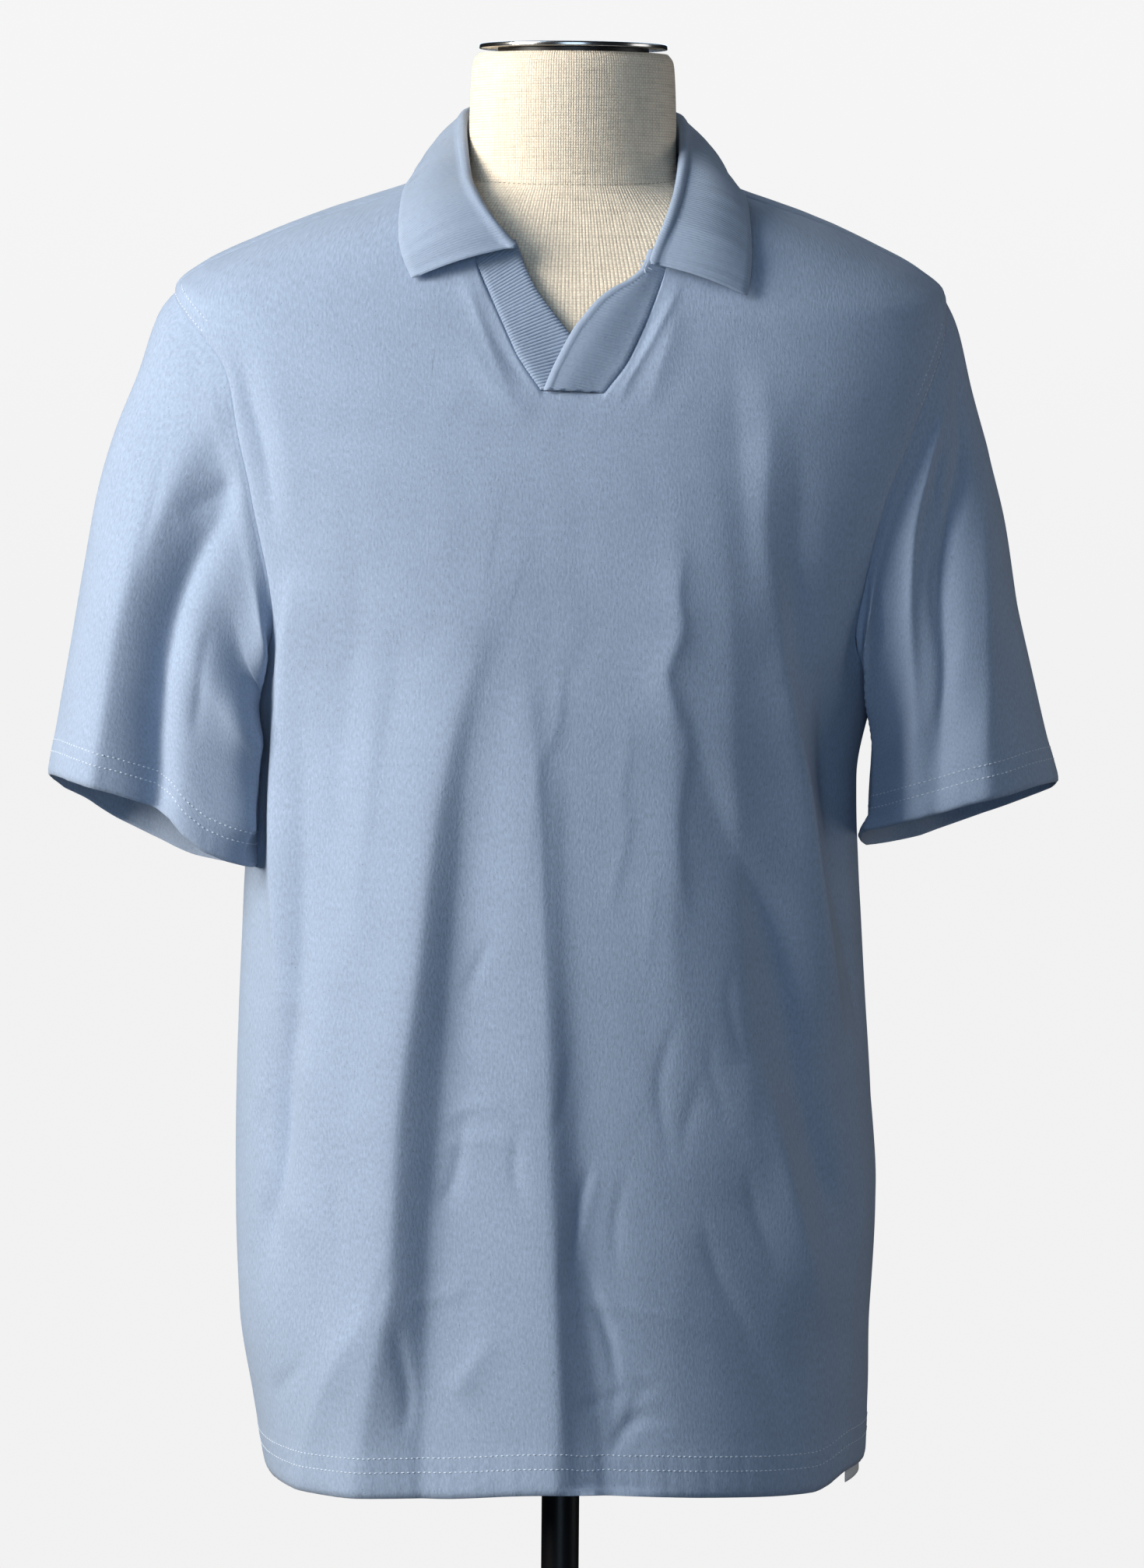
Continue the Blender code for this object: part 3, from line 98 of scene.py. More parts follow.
BODY_RINGS = (
    # height, half_width, front_depth, back_depth, centre_x, centre_y
    (0.480, 0.1745, 0.137, 0.126, 0.0026, 0.000),
    (0.520, 0.1788, 0.135, 0.123, -0.0005, 0.000),
    (0.570, 0.1832, 0.134, 0.120, -0.0044, 0.000),
    (0.640, 0.1858, 0.132, 0.117, -0.0043, 0.000),
    (0.700, 0.1838, 0.131, 0.116, -0.0062, 0.000),
    (0.790, 0.1793, 0.130, 0.115, -0.0078, 0.000),
    (0.830, 0.1774, 0.129, 0.114, -0.0081, 0.000),
    (0.880, 0.1755, 0.128, 0.114, -0.0075, 0.000),
    (0.932, 0.1810, 0.126, 0.114, -0.0035, -0.001),
    (0.990, 0.1990, 0.123, 0.114, -0.0035, -0.003),
    (1.040, 0.2160, 0.117, 0.113, -0.0040, -0.005),
    (1.080, 0.2240, 0.109, 0.110, -0.0050, -0.007),
    (1.120, 0.2258, 0.098, 0.104, -0.0060, -0.010),
    (1.1567, 0.2215, 0.085, 0.097, -0.0065, -0.010),
    (1.1687, 0.2080, 0.079, 0.093, -0.0060, -0.010),
    (1.1828, 0.1800, 0.072, 0.088, -0.0045, -0.010),
    (1.1955, 0.1505, 0.065, 0.082, -0.0030, -0.010),
    (1.2148, 0.0935, 0.054, 0.072, -0.0010, -0.010),
    (1.227, 0.0630, 0.046, 0.064, 0.0, -0.010),
)

HEM_LINE = (
    # angle, rise of the hem over its level
    (-90, -0.001), (-40, 0), (0, 0.005), (22, 0.004), (38, -0.004), (65, -0.001), (90, 0.002), (112, -0.003),
    (150, -0.006), (180, -0.003), (220, 0), (270, -0.001),
)


def smooth(t):
    t = np.clip(t, 0.0, 1.0)
    return t * t * (3.0 - 2.0 * t)


def curve_through(table, key, at):
    """Columns of a table as smooth functions of its key column: a monotone-limited cubic through its rows."""
    rows = np.array(table, float)
    keys = rows[:, key]
    others = np.delete(rows, key, axis=1)
    at = np.clip(np.asarray(at, float), keys[0], keys[-1])
    steps = np.diff(keys)[:, None]
    slopes = np.diff(others, axis=0) / steps
    tangents = np.zeros_like(others)
    tangents[0], tangents[-1] = slopes[0], slopes[-1]
    before, after = slopes[:-1], slopes[1:]
    weight = (2.0 * steps[1:] + steps[:-1], steps[1:] + 2.0 * steps[:-1])
    total = weight[0] + weight[1]
    with np.errstate(divide="ignore", invalid="ignore"):
        harmonic = total / (weight[0] / before + weight[1] / after)
    tangents[1:-1] = np.where(before * after > 0.0, harmonic, 0.0)
    span = np.clip(np.searchsorted(keys, at, side="right") - 1, 0, len(keys) - 2)
    size = steps[span]
    t = (at - keys[span])[..., None] / size
    start = (1.0 + 2.0 * t) * (1.0 - t) ** 2 * others[span] + t * (1.0 - t) ** 2 * size * tangents[span]
    end = t * t * (3.0 - 2.0 * t) * others[span + 1] + t * t * (t - 1.0) * size * tangents[span + 1]
    return start + end


def smooth_path(points, count):
    """Points spaced evenly in parameter along a smooth curve through the given ones."""
    points = np.asarray(points, float)
    n = len(points)
    at = np.linspace(0.0, n - 1.0, count)
    i = np.clip(at.astype(int), 0, n - 2)
    t = (at - i)[:, None]
    padded = np.vstack([2.0 * points[0] - points[1], points, 2.0 * points[-1] - points[-2]])
    a, b, c, d = (padded[i + k] for k in range(4))
    square, cube = 2.0 * a - 5.0 * b + 4.0 * c - d, 3.0 * b - a - 3.0 * c + d
    return 0.5 * (2.0 * b + (c - a) * t + square * t**2 + cube * t**3)


def unit(v):
    return v / np.maximum(np.linalg.norm(v, axis=-1, keepdims=True), 1e-12)


def ring_sizes(height):
    return curve_through(BODY_RINGS, 0, height)


def lean_at(height):
    return LEAN * smooth((np.asarray(height) - LEAN_FROM_Z) / (LEAN_FULL_Z - LEAN_FROM_Z))


def body_point(height, angle):
    """A point of the shirt's smooth outer face, at a ring height and an angle in radians."""
    height = np.asarray(height, float)
    sizes = ring_sizes(height)
    c, s = np.cos(angle), np.sin(angle)
    power = 2.0 / RING_POWER
    x = sizes[..., 3] + sizes[..., 0] * np.sign(c) * np.abs(c) ** power
    deep = np.where(s > 0.0, sizes[..., 1], sizes[..., 2])
    off = -deep * np.sign(s) * np.abs(s) ** power
    y = sizes[..., 4] + off
    turn = (np.degrees(angle) + 90.0) % 360.0 - 90.0
    hem = curve_through(HEM_LINE, 0, turn)[..., 0] * (1.0 - smooth((height - HEM_Z) / HEM_LINE_REACH))
    z = height + lean_at(height) * off + hem
    return np.stack(np.broadcast_arrays(x, y, z), axis=-1)


def body_normal(height, angle):
    """The outward normal of the smooth face."""
    da, dz = math.radians(0.6), 0.0012
    high = np.minimum(np.asarray(height, float) + dz, NECK_POINT_Z)
    low = np.maximum(np.asarray(height, float) - dz, HEM_Z)
    round_it = body_point(height, angle + da) - body_point(height, angle - da)
    up_it = body_point(high, angle) - body_point(low, angle)
    return unit(np.cross(up_it, round_it))


def angle_of_x(height, x, front=True):
    """The angle on a ring of a point with this x, on the front or the back."""
    sizes = ring_sizes(height)
    share = np.clip((x - sizes[..., 3]) / sizes[..., 0], -1.0, 1.0)
    c = np.sign(share) * np.abs(share) ** (RING_POWER / 2.0)
    angle = np.arccos(c)
    return angle if front else math.tau - angle


HEIGHT_ROUNDS, HEIGHT_STEP = 40, 0.6  # a ring height is found by stepping towards it this often, by this share


def ring_height_for(x, z, front=True):
    """The ring height whose point at this x stands at real height z, where the rings lean."""
    height = np.asarray(z, float) + 0.0
    for _ in range(HEIGHT_ROUNDS):
        at = body_point(height, angle_of_x(height, x, front))
        height = np.clip(height + HEIGHT_STEP * (z - at[..., 2]), HEM_Z, NECK_POINT_Z)
    return height


# %% [markdown]
# ## Places on the cloth
#
# Creases and stitches are laid out as a cutter chalks them: by how far along the cloth they lie. A place on the front
# or the back is a distance along the ring from the panel's centre line, plus towards the wearer's left, and a ring
# height. The next helpers turn such distances into angles on the ring, and back.

# %% Distances along a ring
RING_STEPS = 61  # points along a ring, from a panel's centre to its side
PATH_STEPS = 41  # points from the centre to one place
CENTRE_LINE = {"front": 0.5 * math.pi, "back": -0.5 * math.pi}


def ring_lengths(height, centre, side):
    """Angles from a panel's centre to its side at each height, and how far along the ring each one lies."""
    steps = np.linspace(0.0, 1.0, RING_STEPS)
    angles = np.broadcast_to(centre + (side - centre) * steps, (len(height), RING_STEPS))
    points = body_point(np.repeat(height[:, None], RING_STEPS, axis=1), angles)
    pieces = np.linalg.norm(np.diff(points, axis=1), axis=2)
    return angles, np.concatenate([np.zeros((len(height), 1)), np.cumsum(pieces, axis=1)], axis=1)


def to_angle(height, run, centre, side):
    """The angle that lies this far along the ring from the centre, at each height."""
    angles, lengths = ring_lengths(height, centre, side)
    return np.array([np.interp(r, length, angle) for r, length, angle in zip(run, lengths, angles)])


def to_run(height, angle, centre, side):
    """How far along the ring from the centre an angle lies, at each height."""
    lengths = ring_lengths(height, centre, side)[1]
    share = (angle - centre) / (side - centre)
    return np.array([np.interp(s, np.linspace(0.0, 1.0, RING_STEPS), length) for s, length in zip(share, lengths)])


def cloth_place(x, z, face):
    """A point seen square from the front or the back, as its distance from the centre line and its ring height."""
    height = ring_height_for(x, z, face == "front")
    angle = angle_of_x(height, x, face == "front")
    if face == "back":
        angle = angle - math.tau
    centre = CENTRE_LINE[face]
    path = centre + (angle - centre)[:, None] * np.linspace(0.0, 1.0, PATH_STEPS)
    points = body_point(np.repeat(height[:, None], PATH_STEPS, axis=1), path)
    run = np.linalg.norm(np.diff(points, axis=1), axis=2).sum(axis=1)
    return np.where(x > body_point(height, np.full(len(x), centre))[:, 0], run, -run), height


# %% [markdown]
# ## Cutting the front and the back
#
# Each panel is a grid of cloth: rows from the hem up and columns from the centre line out. Below the armpit the
# columns are spread evenly along each ring. Over it they fill the space between the centre line, the armhole and the
# neck, in the way that a draughtsman fills a patch between four curves. The grid is fine enough to carry creases a
# few millimetres wide.

# %% Panel outlines
FRONT_NECK_LEFT = (
    # x, height
    (0.001, 1.1), (0.0186, 1.0993), (0.031, 1.116), (0.043, 1.142), (0.053, 1.169), (0.0575, 1.198), (0.0602, 1.2121),
    (0.0624, 1.2214),
)
FRONT_NECK_RIGHT = (
    # x, height
    (0.001, 1.1), (-0.0162, 1.1004), (-0.03, 1.121), (-0.0422, 1.1467), (-0.0533, 1.1717), (-0.0575, 1.199),
    (-0.0602, 1.2121), (-0.0624, 1.2214),
)
BACK_NECK = (
    # x, height on its ring
    (0, 1.218), (0.02, 1.2183), (0.038, 1.2197), (0.052, 1.2218), (0.0605, 1.2248),
)
ARMHOLE_FRONT_LEFT = (
    # height, angle from the side
    (0.932, 0), (0.941, 17), (0.958, 28.5), (0.99, 32.2), (1.039, 33.7), (1.088, 27.6), (1.123, 17.7), (1.145, 7.5),
    (1.1567, 0),
)
ARMHOLE_FRONT_RIGHT = (
    # height, angle from the side
    (0.932, 0), (0.941, 17), (0.955, 28.6), (0.98, 34.3), (1.039, 37.3), (1.085, 37), (1.125, 33.7), (1.146, 19),
    (1.1567, 0),
)
ARMHOLE_BACK = (
    # height, angle from the side
    (0.932, 0), (0.941, 16), (0.956, 27), (0.985, 31), (1.04, 31), (1.09, 27.5), (1.125, 19.5), (1.146, 9),
    (1.1567, 0),
)

SIDES = {
    # where an angle measured from the side lies on the ring
    ("front", "left"): lambda a: a,
    ("front", "right"): lambda a: math.pi - a,
    ("back", "left"): lambda a: -a,
    ("back", "right"): lambda a: a - math.pi,
}
ARMHOLES = {
    ("front", "left"): ARMHOLE_FRONT_LEFT,
    ("front", "right"): ARMHOLE_FRONT_RIGHT,
    ("back", "left"): ARMHOLE_BACK,
    ("back", "right"): ARMHOLE_BACK,
}
NECK_POINT_X = BODY_RINGS[-1][1]
NECK_SHARE = {"front": 0.54, "back": 0.42}  # of a half panel's width, for the columns that end at the neck
NECK_BEND = 2.4  # over 1, columns run straight up and turn in towards the neck near its edge

# %% Fine grids
SIDE_ROWS = {"front": 146, "back": 110}
ARMHOLE_ROWS = 88
NECK_COLUMNS = {"front": 66, "back": 44}
CORNER_COLUMNS = 9  # of the front's, from the centre to the V's lower corner
CORNER_SHARE = 1.0 / 8.0  # how much of the neck's share they take
SHOULDER_COLUMNS = {"front": 54, "back": 52}
FINE_ROWS = 90
EDGE_POINTS, RIDGE_POINTS = 241, 121  # of the armhole's edge and the shoulder's ridge, before they are evened out


def by_length(points, count):
    """Where count + 1 points at equal distances along a line lie, as places between the line's own points."""
    lengths = np.linalg.norm(np.diff(points, axis=0), axis=1)
    run = np.concatenate([[0.0], np.cumsum(lengths)])
    wanted = np.linspace(0.0, run[-1], count + 1)
    return np.interp(wanted, run, np.arange(len(points)))


def armhole_edge(face, hand):
    """Ring heights and angles along one armhole edge, at equal distances from the armpit up to the tip."""
    rows = smooth_path(ARMHOLES[face, hand], EDGE_POINTS)
    height = rows[:, 0]
    angle = SIDES[face, hand](np.radians(np.maximum(rows[:, 1], 0.0)))
    at = by_length(body_point(height, angle), FINE_ROWS)
    places = np.arange(EDGE_POINTS)
    return np.interp(at, places, height), np.interp(at, places, angle)


def neck_line(face, hand):
    """Where the columns of half a panel end at the neck: ring heights and angles, from the centre out."""
    count = NECK_COLUMNS[face]
    if face == "back":
        sign = 1.0 if hand == "left" else -1.0
        rows = np.array([(sign * x, z) for x, z in BACK_NECK] + [(sign * NECK_POINT_X, NECK_POINT_Z)])
        path = smooth_path(rows, count + 1)[:-1]
        return path[:, 1], angle_of_x(path[:, 1], path[:, 0], False) - math.tau
    rows = np.array(FRONT_NECK_LEFT if hand == "left" else FRONT_NECK_RIGHT)
    rows = np.vstack([rows, [math.copysign(NECK_POINT_X, rows[-1, 0]), NECK_POINT_Z]])
    low = rows[0] + (rows[1] - rows[0]) * np.linspace(0.0, 1.0, CORNER_COLUMNS, endpoint=False)[:, None]
    path = np.vstack([low, smooth_path(rows[1:], count - CORNER_COLUMNS + 1)[:-1]])
    height = ring_height_for(path[:, 0], path[:, 1])
    return height, angle_of_x(height, path[:, 0])


def half_panel(face, hand):
    """Half a panel: ring heights, angles and distances from the centre line, by row and column."""
    side, centre = SIDES[face, hand](0.0), CENTRE_LINE[face]
    neck_height, neck_angle = neck_line(face, hand)
    ridge = np.linspace(NECK_POINT_Z, TIP_Z, RIDGE_POINTS)
    at = by_length(body_point(ridge, np.full(RIDGE_POINTS, side)), SHOULDER_COLUMNS[face])
    ridge = np.interp(at, np.arange(RIDGE_POINTS), ridge)
    top_height = np.concatenate([neck_height, ridge])
    top_angle = np.concatenate([neck_angle, np.full(len(ridge), side)])
    top_run = to_run(top_height, top_angle, centre, side)
    top_run[0] = 0.0
    neck = NECK_SHARE[face]
    parts = [np.linspace(0.0, neck, len(neck_height), endpoint=False), np.linspace(neck, 1.0, len(ridge))]
    if face == "front":
        corner = neck * CORNER_SHARE
        parts[0] = np.concatenate([
            np.linspace(0.0, corner, CORNER_COLUMNS, endpoint=False),
            np.linspace(corner, neck, len(neck_height) - CORNER_COLUMNS, endpoint=False),
        ])
    share = np.concatenate(parts)
    columns = len(share)

    low = np.linspace(HEM_Z, ARMPIT_Z, SIDE_ROWS[face] + 1)
    angles, lengths = ring_lengths(low, centre, side)
    low_run = lengths[:, -1:] * share
    low_angle = np.array([np.interp(r, length, a) for r, length, a in zip(low_run, lengths, angles)])
    low_height = np.repeat(low[:, None], columns, axis=1)

    edge_height, edge_angle = armhole_edge(face, hand)
    edge_run = to_run(edge_height, edge_angle, centre, side)
    v = np.linspace(0.0, 1.0, FINE_ROWS + 1)[:, None, None]
    u = share[None, :, None]
    bottom = np.stack([low_run[-1], np.full(columns, ARMPIT_Z)], axis=1)[None]
    top = np.stack([top_run, top_height], axis=1)[None]
    start = np.stack([np.zeros(FINE_ROWS + 1), ARMPIT_Z + (top_height[0] - ARMPIT_Z) * v[:, 0, 0]], axis=1)[:, None]
    end = np.stack([edge_run, edge_height], axis=1)[:, None]
    corners = (1 - u) * (1 - v) * bottom[:, :1] + u * (1 - v) * bottom[:, -1:]
    corners = corners + (1 - u) * v * top[:, :1] + u * v * top[:, -1:]
    filled = (1 - v) * bottom + v * top + (1 - u) * start + u * end - corners
    bend = (bottom[..., :1] - top[..., :1]) * (v - v**NECK_BEND)
    filled[..., :1] += bend * (1 - u) ** 0.5 * np.minimum(4 * u, 1.0)
    high_height, high_angle, high_run = [], [], []
    for i in range(columns):
        height = filled[:, i, 1]
        angle = to_angle(height, filled[:, i, 0], centre, side)
        angle[-1] = top_angle[i]
        if i == columns - 1:
            height, angle = edge_height, edge_angle
        at = by_length(body_point(height, angle), ARMHOLE_ROWS)
        steps = np.arange(FINE_ROWS + 1)
        high_height.append(np.interp(at, steps, height))
        high_angle.append(np.interp(at, steps, angle))
        high_run.append(np.interp(at, steps, filled[:, i, 0]))
    return (
        np.vstack([low_height[:-1], np.array(high_height).T]),
        np.vstack([low_angle[:-1], np.array(high_angle).T]),
        np.vstack([low_run[:-1], np.array(high_run).T]),
    )


def whole_panel(face):
    """A whole panel, its columns anticlockwise as seen from outside: ring heights, angles and signed distances."""
    left, right = half_panel(face, "left"), half_panel(face, "right")
    right = (right[0], right[1], -right[2])
    first, second = (right, left) if face == "front" else (left, right)
    return [np.hstack([a[:, ::-1], b[:, 1:]]) for a, b in zip(first, second)]


panels = {face: whole_panel(face) for face in ("front", "back")}
print("grids:", {face: grid[0].shape for face, grid in panels.items()})

# %% [markdown]
# ## Creases
#
# Loose jersey on a form breaks into long soft ridges that start at the chest and the armholes and run down to the
# hem. Each crease here is a line of points on the cloth, read from the photograph on the front and made up in the
# same spirit on the back. A crease has its own width on each side, because a fold leans: one flank is broad and the
# other steep. Its height changes along its length and fades at the ends.

# %% Creases of the front
# Each row: width on the wearer's right, width on the left, then points of x, z and how far the cloth stands out
# there. All of it is in millimetres. A crease that runs off the cloth has its last point below the hem.
FRONT_CREASES = (
    # long ridge left of the middle, its crest
    (28, 13, ((-47, 988, 0.5), (-56, 940, 3), (-68, 890, 5.5), (-76, 836, 7.5), (-82, 775, 9.5), (-91, 701, 10.5),
     (-94, 640, 10.5), (-97, 588, 10), (-106, 540, 8.5), (-112, 501, 7), (-115, 464, 7))),
    # trough under its steep side
    (9, 26, ((-35, 971, -0.3), (-48, 927, -1.5), (-56, 884, -2.5), (-59, 836, -3.5), (-64, 775, -4), (-69, 692, -4),
     (-74, 632, -4.2), (-76, 579, -4.5), (-77, 536, -4), (-78, 501, -3.5), (-79, 464, -3.5))),
    # soft step beyond it
    (14, 18, ((-25, 945, 0), (-27, 910, 0.8), (-27, 858, 1), (-27, 814, 0.8), (-29, 771, 0))),
    # ridge in the middle
    (26, 7.5, ((-27, 958, 0), (-21, 919, 1.5), (-15, 858, 3), (-12, 797, 4), (-9, 736, 4.8), (-7, 667, 5.4),
     (-5, 619, 6), (-4, 580, 6.2), (-2, 537, 6.4), (-1, 502, 6), (0, 465, 6))),
    # trough right of it
    (7, 20, ((4, 780, 0), (5, 736, -1), (8, 689, -1.6), (9, 641, -2), (11, 598, -2.4), (18, 554, -3), (25, 502, -3),
     (28, 465, -3))),
    # soft light ridge right
    (20, 12, ((56, 1041, 0), (60, 989, 1.8), (58, 928, 2.6), (60, 867, 2.4), (59, 798, 1.8), (67, 741, 1),
     (72, 702, 0))),
    # where the front turns to the right side
    (30, 14, ((81, 1059, 0), (86, 1015, 2), (89, 963, 3.6), (90, 902, 4.8), (94, 842, 5.2), (97, 785, 5),
     (101, 729, 4.2), (103, 685, 3), (104, 642, 0))),
    # crisp crease on it
    (9, 2.8, ((66, 1015, 0), (61, 989, 0.9), (63, 967, 1.2), (55, 945, 1.5), (59, 924, 1.3), (66, 906, 1),
     (64, 880, 0.9), (62, 859, 0.9), (64, 826, 0.8), (69, 798, 0))),
    # long diagonal trough
    (20, 9, ((62, 946, 0), (71, 902, -2), (82, 868, -3.6), (98, 833, -5), (114, 796, -6.4), (125, 755, -6.6),
     (134, 712, -6.4), (142, 677, -6), (150, 642, -3.6), (157, 616, 0))),
    # ridge under the armhole
    (14, 5, ((110, 1024, 0), (116, 989, 2.4), (120, 950, 5), (126, 911, 8), (131, 881, 9.8), (136, 846, 10),
     (142, 807, 9), (150, 764, 6.5), (159, 725, 0))),
    # hollow behind it, under the sleeve
    (7, 12, ((142, 951, 0), (146, 925, -5), (150, 901, -9), (153, 877, -10), (155, 855, -8), (158, 829, -4),
     (161, 799, 0))),
    # side crease
    (2.9, 4.3, ((140, 855, 0), (147, 838, -2.16), (154, 816, -2.74), (160, 788, -2.74), (166, 755, -1.87),
     (170, 729, 0))),
    # ridge low on the right
    (11, 8, ((107, 729, 0), (116, 703, 4), (124, 672, 6.4), (132, 638, 7.2), (140, 607, 5), (152, 564, 0))),
    # trough beside it
    (9, 8, ((141, 703, 0), (147, 673, -3), (154, 647, -4), (165, 632, -2.5), (172, 625, 0))),
    # soft slope low right
    (16, 14, ((82, 629, 0), (88, 598, -1.5), (103, 568, -2.4), (121, 538, -2.6), (127, 512, -1.5), (128, 499, -1),
     (129, 466, -1))),
    # left side trough
    (7, 9, ((-151, 752, 0), (-155, 731, -4), (-158, 709, -7), (-159, 679, -9), (-161, 652, -8.5), (-166, 626, -6),
     (-170, 605, -2.5), (-173, 579, 0))),
    # ridge right of it
    (10, 15, ((-141, 753, 0), (-145, 718, 2), (-152, 679, 3.5), (-160, 639, 4), (-165, 618, 2.5), (-167, 587, 1),
     (-165, 553, 0))),
    # side facet
    (2.9, 2.9, ((-169, 698, 0), (-172, 682, -1.15), (-170, 668, -1.01), (-166, 660, 0))),
    # side facet low
    (2.9, 2.9, ((-173, 635, 0), (-169, 634, -1.08), (-166, 637, 0))),
    # front edge fold by the armhole
    (5, 13, ((-155, 1000, 0), (-157, 974, 3.5), (-159, 952, 5.5), (-160, 926, 6.5), (-162, 904, 7), (-163, 883, 7),
     (-164, 857, 7), (-164, 835, 6.5), (-164, 813, 5.5), (-163, 783, 4), (-161, 757, 3), (-159, 726, 1.5),
     (-157, 696, 0))),
    # hollow outside it
    (5, 6, ((-170, 974, 0), (-172, 948, -0.8), (-172, 913, -0.8), (-172, 878, -0.8), (-173, 843, -1.4),
     (-172, 804, -1), (-172, 770, 0))),
    # facet above the armhole fold
    (3.5, 8, ((-187, 1121, 0), (-183, 1100, -1.4), (-177, 1080, -2), (-172, 1061, -1.8), (-168, 1039, -1),
     (-165, 1017, 0))),
    # its light edge
    (2.5, 5, ((-180, 1113, 0), (-176, 1091, 0.86), (-170, 1069, 1.08), (-166, 1048, 0.72), (-161, 1022, 0))),
    # trough beside it
    (7, 9, ((-150, 944, 0), (-149, 900, -2), (-149, 848, -3), (-150, 796, -4.2), (-151, 757, -3.8),
     (-154, 726, -1.5), (-156, 705, 0))),
    # soft trough high left
    (12, 12, ((-117, 1018, 0), (-119, 979, -1.2), (-122, 944, -1.6), (-127, 900, -1.8), (-132, 857, -1.6),
     (-135, 813, -1.2), (-137, 770, 0))),
    # another beside it
    (9, 10, ((-93, 975, 0), (-96, 940, -1.2), (-102, 901, -1.2), (-106, 861, -0.8), (-112, 818, 0))),
    # soft ridge between
    (10, 10, ((-106, 948, 0), (-109, 905, 1.2), (-112, 857, 1.6), (-118, 805, 1.2), (-124, 753, 0))),
    # small crease high in the middle
    (5, 2, ((-2, 949, 0), (-4, 934, 0.5), (-5, 917, 0.58), (-8, 904, 0.43), (-13, 891, 0))),
    # small sharp ones low in the middle, and their bright lips
    (2.9, 3.6, ((17, 670, 0), (11, 654, -1.37), (6, 628, -1.73), (3, 606, -1.58), (0, 592, 0))),
    (2.5, 2.9, ((17, 671, 0), (17, 658, 0.72), (12, 637, 0.72), (9, 611, 0))),
    (2.6, 3.3, ((9, 614, 0), (15, 602, -1.15), (21, 585, -1.44), (27, 567, -1.58), (30, 552, -1.3), (31, 540, 0))),
    (2.9, 4.3, ((13, 611, 0), (20, 595, 0.65), (26, 580, 0.79), (32, 561, 0.65), (34, 546, 0))),
    (2.5, 3.2, ((4, 734, 0), (1, 715, -0.65), (-2, 696, -0.65), (-9, 679, 0))),
    # thin ones right of the middle
    (2.4, 3.3, ((64, 754, 0), (57, 733, -0.5), (53, 713, -0.65), (55, 694, -0.58), (59, 667, 0))),
    (2.3, 3, ((82, 746, 0), (81, 723, -0.43), (86, 707, -0.43), (92, 685, 0))),
    (2.2, 2.9, ((77, 721, 0), (72, 702, -0.36), (68, 685, -0.36), (68, 668, 0))),
    # crinkles near the hem, right of the middle
    (2.4, 3.2, ((51, 532, 0), (41, 523, -1.15), (32, 512, -1.3), (27, 502, 0))),
    (2.5, 2.5, ((50, 547, 0), (34, 539, -0.72), (17, 532, -0.72), (7, 528, 0))),
    (2.3, 2.9, ((33, 543, 0), (29, 530, -0.86), (28, 519, 0))),
    # long soft line low
    (2.9, 3.6, ((-3, 590, 0), (21, 589, 0.58), (51, 583, 0.58), (77, 574, 0.43), (99, 555, 0))),
    # thin one low on the left
    (2.2, 2.7, ((-143, 554, 0), (-152, 541, -1.08), (-160, 532, -1.08), (-165, 526, 0))),
    # ridges low on the left
    (9, 8, ((-103, 593, 0), (-111, 574, 1.8), (-124, 552, 2.6), (-134, 530, 3), (-141, 506, 2.4), (-144, 496, 2),
     (-148, 464, 2))),
    (5, 7, ((-36, 573, 0), (-46, 559, 1), (-56, 544, 1.4), (-65, 536, 0))),
    # nicks low on the left, and in the slope over them
    (3.6, 2.6, ((-91, 579, 0), (-90, 560, -1.44), (-87, 540, -1.73), (-87, 523, -1.15), (-91, 509, 0))),
    (2.5, 2.9, ((-92, 611, 0), (-98, 597, -0.58), (-104, 577, 0))),
    (2.9, 3.6, ((-56, 697, 0), (-59, 671, -0.94), (-64, 653, -0.94), (-73, 640, 0))),
    # lines across the slope
    (2.5, 3.6, ((-73, 685, 0), (-58, 697, 0.72), (-43, 700, 0.79), (-27, 695, 0))),
    (2.5, 3.2, ((-75, 673, 0), (-58, 679, 0.58), (-37, 680, 0.58), (-15, 675, 0))),
    (2.5, 3.2, ((-88, 586, 0), (-77, 590, 0.65), (-62, 593, 0.65), (-53, 601, 0))),
    # nick in the slope
    (2.5, 3.2, ((-40, 799, 0), (-47, 783, -0.65), (-53, 770, -0.58), (-58, 758, 0))),
    # fine ones: low in the middle, near the hem, in the slope, down the right side and on the left
    (2.3, 2.9, ((4, 606, 0), (8, 597, -0.72), (16, 587, -0.86), (25, 579, -0.58), (34, 577, 0))),
    (2.2, 2.9, ((22, 589, 0), (25, 575, -0.65), (33, 561, -0.86), (44, 553, -0.58), (52, 551, 0))),
    (2.3, 2.9, ((27, 513, 0), (35, 520, -0.86), (47, 524, -0.86), (66, 525, 0))),
    (2.2, 2.9, ((37, 520, 0), (41, 532, -0.72), (47, 540, -0.72), (57, 545, 0))),
    (2.2, 3, ((-25, 693, 0), (-27, 675, -0.65), (-27, 660, -0.79), (-21, 642, 0))),
    (2.2, 3.2, ((36, 667, 0), (31, 646, -0.58), (29, 624, -0.65), (32, 602, 0))),
    (2.4, 3.6, ((77, 642, 0), (82, 620, -0.65), (90, 598, -0.79), (102, 578, -0.58), (109, 559, 0))),
    (2.2, 3.2, ((103, 668, 0), (106, 646, -0.79), (113, 625, -0.86), (123, 607, 0))),
    (2.2, 3.2, ((93, 781, 0), (91, 759, -0.58), (96, 737, -0.72), (103, 720, 0))),
    (2.2, 3.6, ((-125, 666, 0), (-127, 640, -0.5), (-124, 614, -0.58), (-127, 588, 0))),
    # faint uprights
    (5, 2.2, ((50, 837, 0), (48, 815, 0.25), (47, 793, 0.25), (44, 767, 0))),
    (5, 2.2, ((31, 928, 0), (34, 902, 0.29), (31, 876, 0.29), (35, 850, 0))),
    (5, 2.2, ((-13, 910, 0), (-17, 884, 0.29), (-19, 858, 0.29), (-21, 832, 0))),
